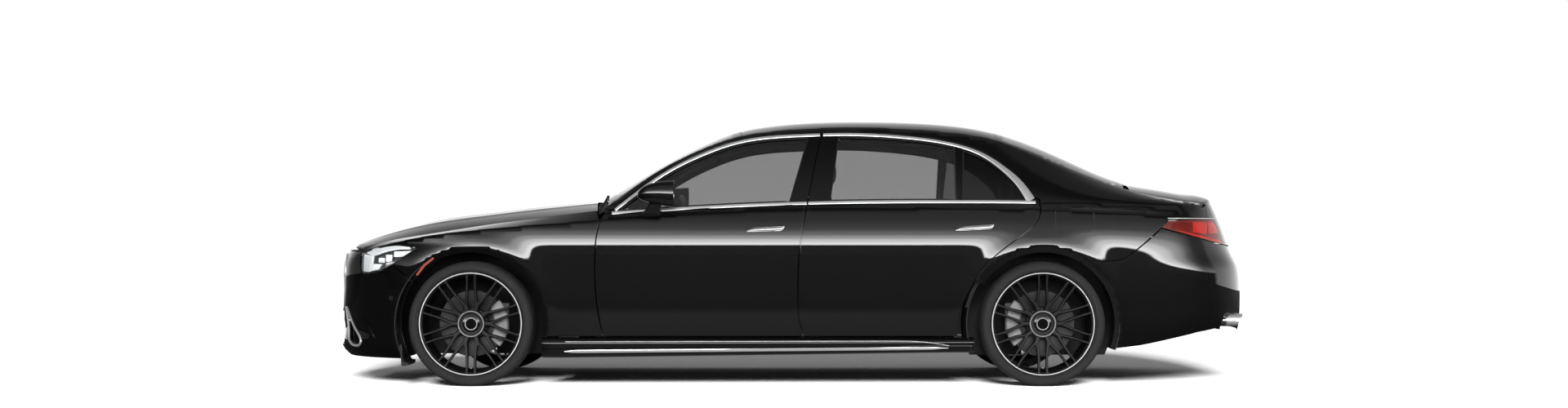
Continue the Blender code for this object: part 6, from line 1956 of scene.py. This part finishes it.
def swellAll():
    for c in cushions:
        mod = c["obj"].modifiers.new("cover", "CLOTH")
        s = mod.settings
        s.quality = 4
        s.mass = 0.3
        s.tension_stiffness = 15
        s.compression_stiffness = 15
        s.bending_stiffness = 0.5
        s.use_pressure = True
        s.uniform_pressure_force = seatSetup["pressure"]
        s.effector_weights.gravity = 0.0
        mod.collision_settings.use_collision = False
        mod.point_cache.frame_start = 1
        mod.point_cache.frame_end = 20
    for frameNumber in range(1, 21):
        scene.frame_set(frameNumber)
    view = bpy.context.evaluated_depsgraph_get()
    for c in cushions:
        obj = c["obj"]
        start = points(obj.data)
        swollen = obj.evaluated_get(view).to_mesh()
        move = points(swollen) - start
        obj.evaluated_get(view).to_mesh_clear()
        size = np.linalg.norm(move, axis=1)
        cap = np.minimum(1.0, seatSetup["swell"] / np.maximum(size, 1e-9))
        c["moved"] = start + move * cap[:, None]
    for c in cushions:
        c["obj"].modifiers.clear()
        c["obj"].data.vertices.foreach_set("co", c["moved"].ravel())
        c["obj"].data.update()
    scene.frame_set(1)
    for c in cushions:
        c["obj"].modifiers.new("fine", "SUBSURF").levels = 1
        settle(c["obj"])


def sewAll():
    for c in cushions:
        obj = c["obj"]
        if not c["seams"]:
            continue
        tree = BVHTree.FromObject(obj, bpy.context.evaluated_depsgraph_get())
        facing = Vector(c["facing"])
        co = points(obj.data)
        normals = np.empty(len(co) * 3)
        obj.data.vertices.foreach_get("normal", normals)
        normals = normals.reshape(-1, 3)
        sunk = np.zeros(len(co))
        lines = []
        for seam in c["seams"]:
            found = []
            for p in resample(seam, 0.008, False):
                hit = tree.ray_cast(Vector(p) + facing * 0.3, -facing, 0.6)
                if hit[0] is not None:
                    found.append(tuple(hit[0]))
            if len(found) < 3:
                continue
            line = np.array(found)
            gap = np.full(len(co), 9.0)
            for p in line:
                gap = np.minimum(gap, np.linalg.norm(co - p, axis=1))
            sunk = np.maximum(sunk, np.exp(-(gap / seatSetup["grooveWidth"]) ** 2))
            lines.append(line)
        co = co - normals * (sunk * seatSetup["groove"])[:, None]
        obj.data.vertices.foreach_set("co", co.ravel())
        obj.data.update()
        threads = []
        for line in lines:
            low = line - np.array(facing) * (seatSetup["groove"] * 0.75)
            threads.append(tube("thread", low, seatSetup["thread"], [seamThread], "shell", 6))
        if threads:
            gather(obj.name + "_seams", threads, "shell")


def seatBump(t):  # raised bolsters beside a shallow hollow
    return 0.026 * np.exp(-((np.abs(t) - 0.86) / 0.10) ** 2) - 0.010 * np.exp(-(t / 0.55) ** 2)


def benchBump(t):  # two hollows and a flatter middle
    a = np.abs(t)
    return (0.022 * np.exp(-((a - 0.95) / 0.05) ** 2) + 0.014 * np.exp(-((a - 0.17) / 0.06) ** 2)
            - 0.010 * np.exp(-((a - 0.56) / 0.22) ** 2))


def headRest(name, x, y, rows, mat):
    rings = []
    for z, half, front, rear in rows:
        rings.append(cushionBack([(z, half, front, rear, 0.0)], lambda t: t * 0)[0])
    return softBlock(name, rings, (x, y, 0), [], (-1, 0, 0), 0.8, mat)


def frontSeat(name, x, y):
    base = cushionTop([(-0.525, 0.195, 0.425, 0.480, 0.2), (-0.515, 0.212, 0.412, 0.508, 0.6),
                       (-0.470, 0.220, 0.405, 0.526, 0.9), (-0.300, 0.224, 0.402, 0.520, 1.0),
                       (-0.120, 0.224, 0.402, 0.508, 1.0), (0.010, 0.218, 0.405, 0.500, 0.9),
                       (0.045, 0.205, 0.415, 0.480, 0.5)], seatBump)
    seams = [[(-0.49, s * 0.150, 0.52), (-0.10, s * 0.150, 0.52), (0.02, s * 0.150, 0.52)]
             for s in (-1, 1)]
    seams += [[(a, -0.150, 0.52), (a, 0.150, 0.52)] for a in (-0.42, -0.33, -0.24, -0.15, -0.06)]
    softBlock("seat_base_" + name, base, (x, y, 0), seams, (0, 0, 1), 0.75, seatLeather)
    back = cushionBack([(0.515, 0.205, -0.020, 0.085, 0.3), (0.560, 0.220, -0.040, 0.108, 0.8),
                        (0.700, 0.226, -0.004, 0.140, 1.0), (0.860, 0.222, 0.052, 0.182, 1.0),
                        (0.980, 0.208, 0.092, 0.205, 0.8), (1.060, 0.178, 0.118, 0.218, 0.5),
                        (1.098, 0.140, 0.140, 0.218, 0.2)], seatBump)
    seams = [[(0.0, s * 0.146, 0.56), (0.0, s * 0.146, 0.80), (0.0, s * 0.128, 1.04)]
             for s in (-1, 1)]
    seams += [[(0.0, -0.140, a), (0.0, 0.140, a)] for a in (0.64, 0.73, 0.82, 0.91, 1.00)]
    softBlock("seat_back_" + name, back, (x, y, 0), seams, (-1, 0, 0), 0.75, seatLeather)
    headRest("seat_head_" + name, x, y,
             [(1.142, 0.095, 0.150, 0.228), (1.165, 0.118, 0.140, 0.236),
              (1.215, 0.122, 0.142, 0.240), (1.258, 0.108, 0.158, 0.238),
              (1.275, 0.086, 0.172, 0.232)], seatLeather)
    for s in (-1, 1):
        post = tube("seat_post_%s_%s" % (name, "in" if s < 0 else "out"),
                    [(x + 0.178, y + s * 0.055, 1.07), (x + 0.190, y + s * 0.055, 1.18)], 0.007,
                    [brushedTrim], "shell", 12)
        rail = block("seat_rail_%s_%s" % (name, "in" if s < 0 else "out"),
                     (x - 0.46, y + s * 0.19 - 0.018, 0.2360),
                     (x + 0.02, y + s * 0.19 + 0.018, 0.262), castIron, "shell", 0.003)
        rows = [(-0.500, 0.300, 0.395), (-0.460, 0.272, 0.432), (-0.10, 0.265, 0.440),
                (0.050, 0.270, 0.470), (0.080, 0.310, 0.560), (0.078, 0.400, 0.600)]
        rings = []
        for a, low, high in rows:
            yy = y + s * 0.226
            rings.append([(x + a, yy, low), (x + a, yy + s * 0.008, low + 0.006),
                          (x + a, yy + s * 0.010, (low + high) / 2),
                          (x + a, yy + s * 0.008, high - 0.006), (x + a, yy, high)])
        loft("seat_side_%s_%s" % (name, "in" if s < 0 else "out"), rings, [cabinDark],
                     "shell", True, 35)
    pan = block("seat_pan_" + name, (x - 0.44, y - 0.165, 0.262), (x + 0.03, y + 0.165, 0.404),
                cabinDark, "shell", 0.02, None, 3)
    shield = loft("seat_shield_" + name, [
        [(x + a + 0.006 + lean, y + half * t, z) for t in np.linspace(-1, 1, 13)]
        + [(x + a - 0.004 + lean, y + half * t, z) for t in np.linspace(1, -1, 13)]
        for z, a, half, lean in ((0.50, 0.098, 0.19, 0.0), (0.56, 0.122, 0.205, 0.004),
                                 (0.70, 0.152, 0.210, 0.006), (0.86, 0.196, 0.206, 0.006),
                                 (0.98, 0.219, 0.190, 0.006), (1.05, 0.231, 0.165, 0.002))],
        [cabinDark], "shell", True, 35)


for name, side in sideSigns.items():
    frontSeat(name, 0.020, side * 0.380)
    stand(bpy.data.objects["seat_base_" + name], "leather", "seat_front_" + name)

bench = cushionTop([(-0.525, 0.520, 0.430, 0.482, 0.2), (-0.512, 0.550, 0.416, 0.512, 0.6),
                    (-0.460, 0.562, 0.414, 0.530, 0.9), (-0.280, 0.566, 0.414, 0.522, 1.0),
                    (-0.100, 0.566, 0.414, 0.508, 1.0), (0.020, 0.558, 0.418, 0.500, 0.8),
                    (0.048, 0.530, 0.430, 0.480, 0.4)], benchBump)
seams = []
for s in (-1, 1):
    for y in (0.13, 0.49):
        seams.append([(-0.49, s * y, 0.52), (0.02, s * y, 0.52)])
    seams += [[(a, s * 0.135, 0.52), (a, s * 0.485, 0.52)] for a in
              (-0.42, -0.33, -0.24, -0.15, -0.06)]
softBlock("rear_bench", bench, (1.175, 0, 0), seams, (0, 0, 1), 0.75, seatLeather)
back = cushionBack([(0.520, 0.530, -0.020, 0.085, 0.3), (0.565, 0.560, -0.040, 0.108, 0.8),
                    (0.700, 0.566, -0.004, 0.140, 1.0), (0.860, 0.555, 0.046, 0.182, 1.0),
                    (0.980, 0.520, 0.084, 0.205, 0.8), (1.040, 0.480, 0.108, 0.214, 0.4)],
                   benchBump)
seams = []
for s in (-1, 1):
    for y in (0.13, 0.46):
        seams.append([(0.0, s * y, 0.57), (0.0, s * y, 0.80), (0.0, s * (y - 0.01), 1.01)])
    seams += [[(0.0, s * 0.135, a), (0.0, s * 0.455, a)] for a in (0.64, 0.73, 0.82, 0.91, 0.98)]
softBlock("rear_back", back, (1.175, 0, 0), seams, (-1, 0, 0), 0.75, seatLeather)
stand(bpy.data.objects["rear_bench"], "leather", "seat_rear")
for name, y in (("left", -0.375), ("right", 0.375)):
    headRest("rear_head_" + name, 0.0, y,
             [(1.062, 0.080, 1.305, 1.388), (1.085, 0.112, 1.296, 1.396),
              (1.130, 0.122, 1.296, 1.402), (1.180, 0.112, 1.312, 1.404),
              (1.203, 0.090, 1.326, 1.398)], seatLeather)
swellAll()
sewAll()
print("stage: seats")

# dashboard, screens and centre console
dashLine = rounded([(-1.130, 0.600), (-1.135, 0.880), (-1.050, 0.948), (-0.900, 0.976),
                    (-0.748, 0.960), (-0.692, 0.902), (-0.700, 0.822), (-0.802, 0.742),
                    (-0.862, 0.600)], 0.022, 4)
dashRings = []
for y in np.concatenate([[-0.742, -0.738], np.linspace(-0.725, 0.725, 30), [0.738, 0.742]]):
    close = max(0.0, abs(y) - 0.725) / 0.017
    hump = 0.016 * math.exp(-((y + 0.375) / 0.17) ** 4)
    ring = []
    for x, z in dashLine:
        cx, cz = -0.92, 0.80
        raise_ = hump if z > 0.93 else 0.0
        ring.append((cx + (x - cx) * (1 - 0.05 * close), y,
                     cz + (z - cz) * (1 - 0.06 * close) + raise_))
    dashRings.append(np.array(ring))
dash = loft("dash_body", dashRings, [cabinSoft], "shell", True, 35)
stand(dash, "cabin_trim", "dashboard")
band = block("dash_band", (-0.722, -0.715, 0.838), (-0.688, 0.715, 0.872), glossTrim, "shell",
             0.010, None, 3)
for k, y in enumerate(np.concatenate([np.linspace(-0.11, 0.11, 4), [-0.66, 0.66]])):
    vent = turned("dash_vent_%d" % k, [(0.018, -0.010), (0.024, -0.016), (0.0275, -0.014),
                  (0.0285, -0.006), (0.0270, 0.010), (0.018, 0.010)],
                  np.array([-0.684, y, 0.905]), [brushedTrim], "shell", 40, None, "x")
    slats = [block("slat", (-0.690, y - 0.022, 0.905 + h - 0.0012),
                   (-0.676, y + 0.022, 0.905 + h + 0.0012), cabinDark, "shell", 0.0008, None, 1)
             for h in (-0.014, -0.007, 0.0, 0.007, 0.014)]
    gather("dash_slats_%d" % k, slats, "shell")


def screen(name, middle, width, tall, lean, thick=0.012):
    turn = Matrix.Rotation(math.radians(lean), 4, "Y")
    half = (thick / 2, width / 2, tall / 2)
    low = [m - h for m, h in zip(middle, half)]
    high = [m + h for m, h in zip(middle, half)]
    rim = block(name + "_case", low, high, cabinDark, "shell", 0.005, turn, 3)
    face = [middle[0] + math.cos(math.radians(lean)) * (thick / 2 + 0.0004), middle[1],
            middle[2] - math.sin(math.radians(lean)) * (thick / 2 + 0.0004)]
    inner = (0.0012, width / 2 - 0.006, tall / 2 - 0.006)
    pane = block(name + "_face", [m - h for m, h in zip(face, inner)],
                 [m + h for m, h in zip(face, inner)], glossTrim, "shell", 0.001, turn, 1)


screen("driver_screen", (-0.700, -0.375, 0.935), 0.300, 0.130, -20)
screen("centre_screen", (-0.722, 0.0, 0.735), 0.235, 0.290, -28)
consoleLine = rounded([(-0.870, 0.410), (-0.872, 0.752), (-0.762, 0.738), (-0.520, 0.602),
                       (0.015, 0.602), (0.055, 0.560), (0.055, 0.410)], 0.020, 4)
rings = []
for t in np.linspace(-1, 1, 17):
    edge = 1 - 0.03 * max(0.0, abs(t) - 0.8) / 0.2
    rings.append(np.array([(x, 0.126 * t, 0.41 + (z - 0.41) * edge) for x, z in consoleLine]))
loft("console_body", rings, [cabinDark], "shell", True, 35)
block("console_lid", (-0.30, -0.112, 0.598), (0.035, -0.003, 0.640), seatLeather, "shell",
              0.016, None, 4)
block("console_lid_right", (-0.30, 0.003, 0.598), (0.035, 0.112, 0.640), seatLeather,
              "shell", 0.016, None, 4)
block("console_tray", (-0.515, -0.095, 0.600), (-0.315, 0.095, 0.606), glossTrim, "shell",
              0.002, None, 2)
for k, y in enumerate((-0.045, 0.045)):
    cup = turned("cup_ring_%d" % k, [(0.034, 0.0), (0.036, 0.003), (0.040, 0.003), (0.041, 0.0),
                 (0.041, -0.004), (0.034, -0.004)], np.array([0, 0, 0]), [brushedTrim], "shell", 40,
                 None, "x")
    cup.data.transform(Matrix.Translation((-0.42, y, 0.608))
                       @ Matrix.Rotation(-math.pi / 2, 4, "Y"))

# steering wheel: grip, spokes and a blank pad, in the wheel's own tilted plane
steer = Matrix.Translation((-0.560, -0.375, 0.905)) @ Matrix.Rotation(-math.radians(24), 4, "Y")
angles = np.linspace(0, 2 * math.pi, 97)[:-1]
grip = tube("steering_grip", [(0.0, 0.1825 * math.cos(a), 0.1825 * math.sin(a)) for a in angles],
            0.0148, [seatLeather], "steering", 20, True)
grip.data.transform(steer)
stand(grip, "cabin_trim", "steering_wheel")
pad = turned("steering_pad", [(0.0005, 0.010), (0.030, 0.0095), (0.050, 0.006), (0.060, -0.002),
             (0.062, -0.014), (0.056, -0.026), (0.0005, -0.030)], np.array([0, 0, 0]), [cabinSoft],
             "steering", 64, None, "x")
pad.data.transform(steer)
for k, (turn, width) in enumerate(((0, 0.032), (180, 0.032), (250, 0.022), (290, 0.022))):
    a = math.radians(turn)
    rings = []
    for r, w, c in ((0.045, width, -0.006), (0.090, width * 0.85, -0.002),
                    (0.140, width * 0.62, 0.001), (0.176, width * 0.75, 0.0)):
        ring = []
        for s, d in ((-1, 0), (-0.8, 0.005), (0.8, 0.005), (1, 0), (0.8, -0.006), (-0.8, -0.006)):
            p = (r * np.array([math.cos(a), math.sin(a)])
                 + s * w / 2 * np.array([-math.sin(a), math.cos(a)]))
            ring.append((c + d, p[0], p[1]))
        rings.append(np.array(ring))
    arm = loft("steering_arm_%d" % k, rings, [brushedTrim if k > 1 else cabinDark], "steering",
               True, 40)
    arm.data.transform(steer)
tube("steering_column", [(-0.600, -0.375, 0.887), (-0.700, -0.375, 0.842)], 0.034,
             [cabinDark], "shell", 24)
for k, s in enumerate((-1, 1)):
    path = [(-0.625, -0.375 + s * 0.03, 0.880), (-0.618, -0.375 + s * 0.09, 0.890),
            (-0.606, -0.375 + s * 0.15, 0.897)]
    tube("stalk_%d" % k, path, 0.007, [cabinDark], "shell", 12, False, 0.7)

# door trims: armrest and pull, sill mats, boot mat, pedals and parcel shelf
trimSetup = {"front": (-0.80, -0.12), "rear": (0.16, 0.72)}
for name, side in sideSigns.items():
    for where, (x0, x1) in trimSetup.items():
        body = "%s_door_%s" % (where, name)
        y = side * (0.955 - doorSetup["thick"])
        rings = []
        for t in np.linspace(0, 1, 14):
            x = x0 + (x1 - x0) * t
            grow = math.sin(math.pi * min(1, max(0, t))) ** 0.35
            deep, tall = 0.004 + 0.052 * grow, 0.014 + 0.030 * grow
            ring = [(x, y + side * 0.006, 0.690 - tall)]
            for a in np.linspace(-90, 90, 9):
                ring.append((x, y - side * deep * math.cos(math.radians(a)) ** 0.5,
                             0.690 + tall * math.sin(math.radians(a)) * 0.9))
            ring.append((x, y + side * 0.006, 0.690 + tall))
            rings.append(np.array(ring))
        loft("armrest_%s_%s" % (where, name), rings, [cabinSoft], body, True, 50)
        tube("pull_%s_%s" % (where, name),
                     [(x0 + 0.10, y, 0.800), (x0 + 0.12, y - side * 0.028, 0.804),
                      (x0 + 0.24, y - side * 0.030, 0.806), (x0 + 0.26, y, 0.808)], 0.0065,
                     [brushedTrim], body, 14)
    near, far = sorted((side * 0.16, side * 0.66))
    for where, x0, x1 in (("front", -1.00, -0.52), ("rear", 0.22, 0.62)):
        block("mat_%s_%s" % (where, name), (x0, near, 0.2358), (x1, far, 0.2440), carpet,
                      "shell", 0.003)
block("shelf_cover", (1.500, -0.60, 1.0775), (1.900, 0.60, 1.0850), carpet, "shell", 0.003)
block("boot_mat", (1.585, -0.565, 0.4995), (2.300, 0.565, 0.5070), carpet, "shell", 0.003)
for k, (y, width) in enumerate(((-0.42, 0.055), (-0.33, 0.075))):
    tilt = Matrix.Rotation(math.radians(35 if k else 20), 4, "Y")
    block("pedal_%d" % k, (-1.035, y - width / 2, 0.33), (-1.027, y + width / 2, 0.41),
                  brushedTrim, "shell", 0.002, tilt)
print("stage: dashboard, wheel, trims")


# wheel wells: a pressed lining over each wheel with its inner wall
wellSetup = {"radius": 0.431, "front": (0.452, 0.905, -16, 207), "rear": (0.598, 0.925, -20, 200)}


def wheelWell(where, name, side, axle):
    inside, outside, first, last = wellSetup[where]
    rings = []
    for a in np.radians(np.linspace(first, last, 72)):
        r = wellSetup["radius"]
        rib = 0.0025 * (1 if math.sin(a * 24) > 0.4 else 0)
        rows = [(inside, r - 0.010), (inside + 0.010, r), (inside + 0.10, r - rib),
                (outside - 0.10, r - rib), (outside - 0.004, r), (outside, r - 0.004),
                (outside, r + 0.001), (outside - 0.10, r + 0.003), (inside + 0.10, r + 0.003),
                (inside, r + 0.003)]
        rings.append(np.array([(axle + d * math.cos(a), side * y, hubHeight + d * math.sin(a))
                               for y, d in rows]))
    loft("well_%s_%s" % (where, name), rings, [underCoat], "shell", True, 40)
    r = wellSetup["radius"] + 0.001
    edge = [(axle + r * math.cos(a), hubHeight + r * math.sin(a)) for a in
            np.radians(np.linspace(-26, 206, 70))]
    edge += [(axle - 0.09, edge[-1][1]), (axle - 0.09, 0.34), (axle + 0.09, 0.34),
             (axle + 0.09, edge[0][1])]
    wall = panel("well_wall_%s_%s" % (where, name), edge, [],
                 lambda u, v: np.stack([u, side * (inside + 0.004 + 0 * u), v], 1), 0.03, 0.003,
                 [underCoat], "shell",
                 lift=lambda u, v: 0.004 * np.exp(
                     -((np.hypot(u - axle, v - hubHeight) - 0.27) / 0.02) ** 2))


for name, side in sideSigns.items():
    wheelWell("front", name, side, frontAxle)
    wheelWell("rear", name, side, rearAxle)

# exhaust: twin pipes, a silencer with folded seams, four tips
for name, side in sideSigns.items():
    route = [(-1.30, side * 0.052, 0.262), (1.02, side * 0.052, 0.262), (1.12, side * 0.054, 0.250),
             (1.22, side * 0.060, 0.216), (1.32, side * 0.060, 0.212), (1.58, side * 0.060, 0.212),
             (1.68, side * 0.070, 0.238), (1.78, side * 0.096, 0.284), (1.86, side * 0.120, 0.310),
             (1.95, side * 0.140, 0.320)]
    route = resample(np.array(route), 0.03, False)
    tube("exhaust_pipe_" + name, route, 0.0295, [pipeSteel], "shell", 24)
    for k, y in enumerate((0.500, 0.610)):
        end = 2.560 - 0.02 * k
        line = resample(np.array([(2.22, side * 0.43, 0.350),
                                  (2.30, side * (0.43 + (y - 0.43) * 0.55), 0.356),
                                  (2.38, side * y, 0.360), (end, side * y, 0.360)]), 0.02, False)
        tube("exhaust_branch_%s_%d" % (name, k), line, 0.024, [pipeSteel], "shell", 24)
        tip = turned("exhaust_end_%s_%d" % (name, k), [(0.0270, -0.110), (0.0335, -0.100),
                     (0.0345, -0.010), (0.0330, 0.0), (0.0295, -0.004), (0.0280, -0.030)],
                     np.array([end + 0.008, side * y, 0.360]), [brushedTrim], "shell", 48, None,
                     "x")
rings = []
for y in np.concatenate([[-0.520, -0.516], np.linspace(-0.505, 0.505, 24), [0.516, 0.520]]):
    close = 0.86 if abs(y) > 0.519 else (0.95 if abs(y) > 0.51 else 1.0)
    seam = 1.05 if 0.485 < abs(y) < 0.50 else 1.0
    rib = 1.0 - 0.03 * (0.5 + 0.5 * math.cos(y * 60)) * (1 if abs(y) < 0.45 else 0)
    size, turn = close * seam * rib, np.linspace(0, 2 * math.pi, 49)[:-1]
    c, s = np.cos(turn), np.sin(turn)
    rings.append(np.stack([2.10 + 0.198 * size * np.abs(c) ** 0.45 * np.sign(c), y + 0 * c,
                           0.3275 + 0.070 * size * np.abs(s) ** 0.6 * np.sign(s)], 1))
silencer = loft("exhaust_silencer", rings, [pipeSteel], "shell", True, 40)
stand(silencer, "steel", "exhaust")


# the solids that stay take their finishes here
def finishNode(nodeName, mat):
    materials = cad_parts[nodeName].data.materials
    materials.clear()
    materials.append(mat)


for nodeName, mat in (("underbody", underCoat), ("rear_floor", underCoat),
                      ("engine_block", castIron), ("front_subframe", castIron),
                      ("rear_axle", castIron), ("knuckle_left", castIron),
                      ("knuckle_right", castIron)):
    finishNode(nodeName, mat)
print("stage: wells, exhaust, underbody")
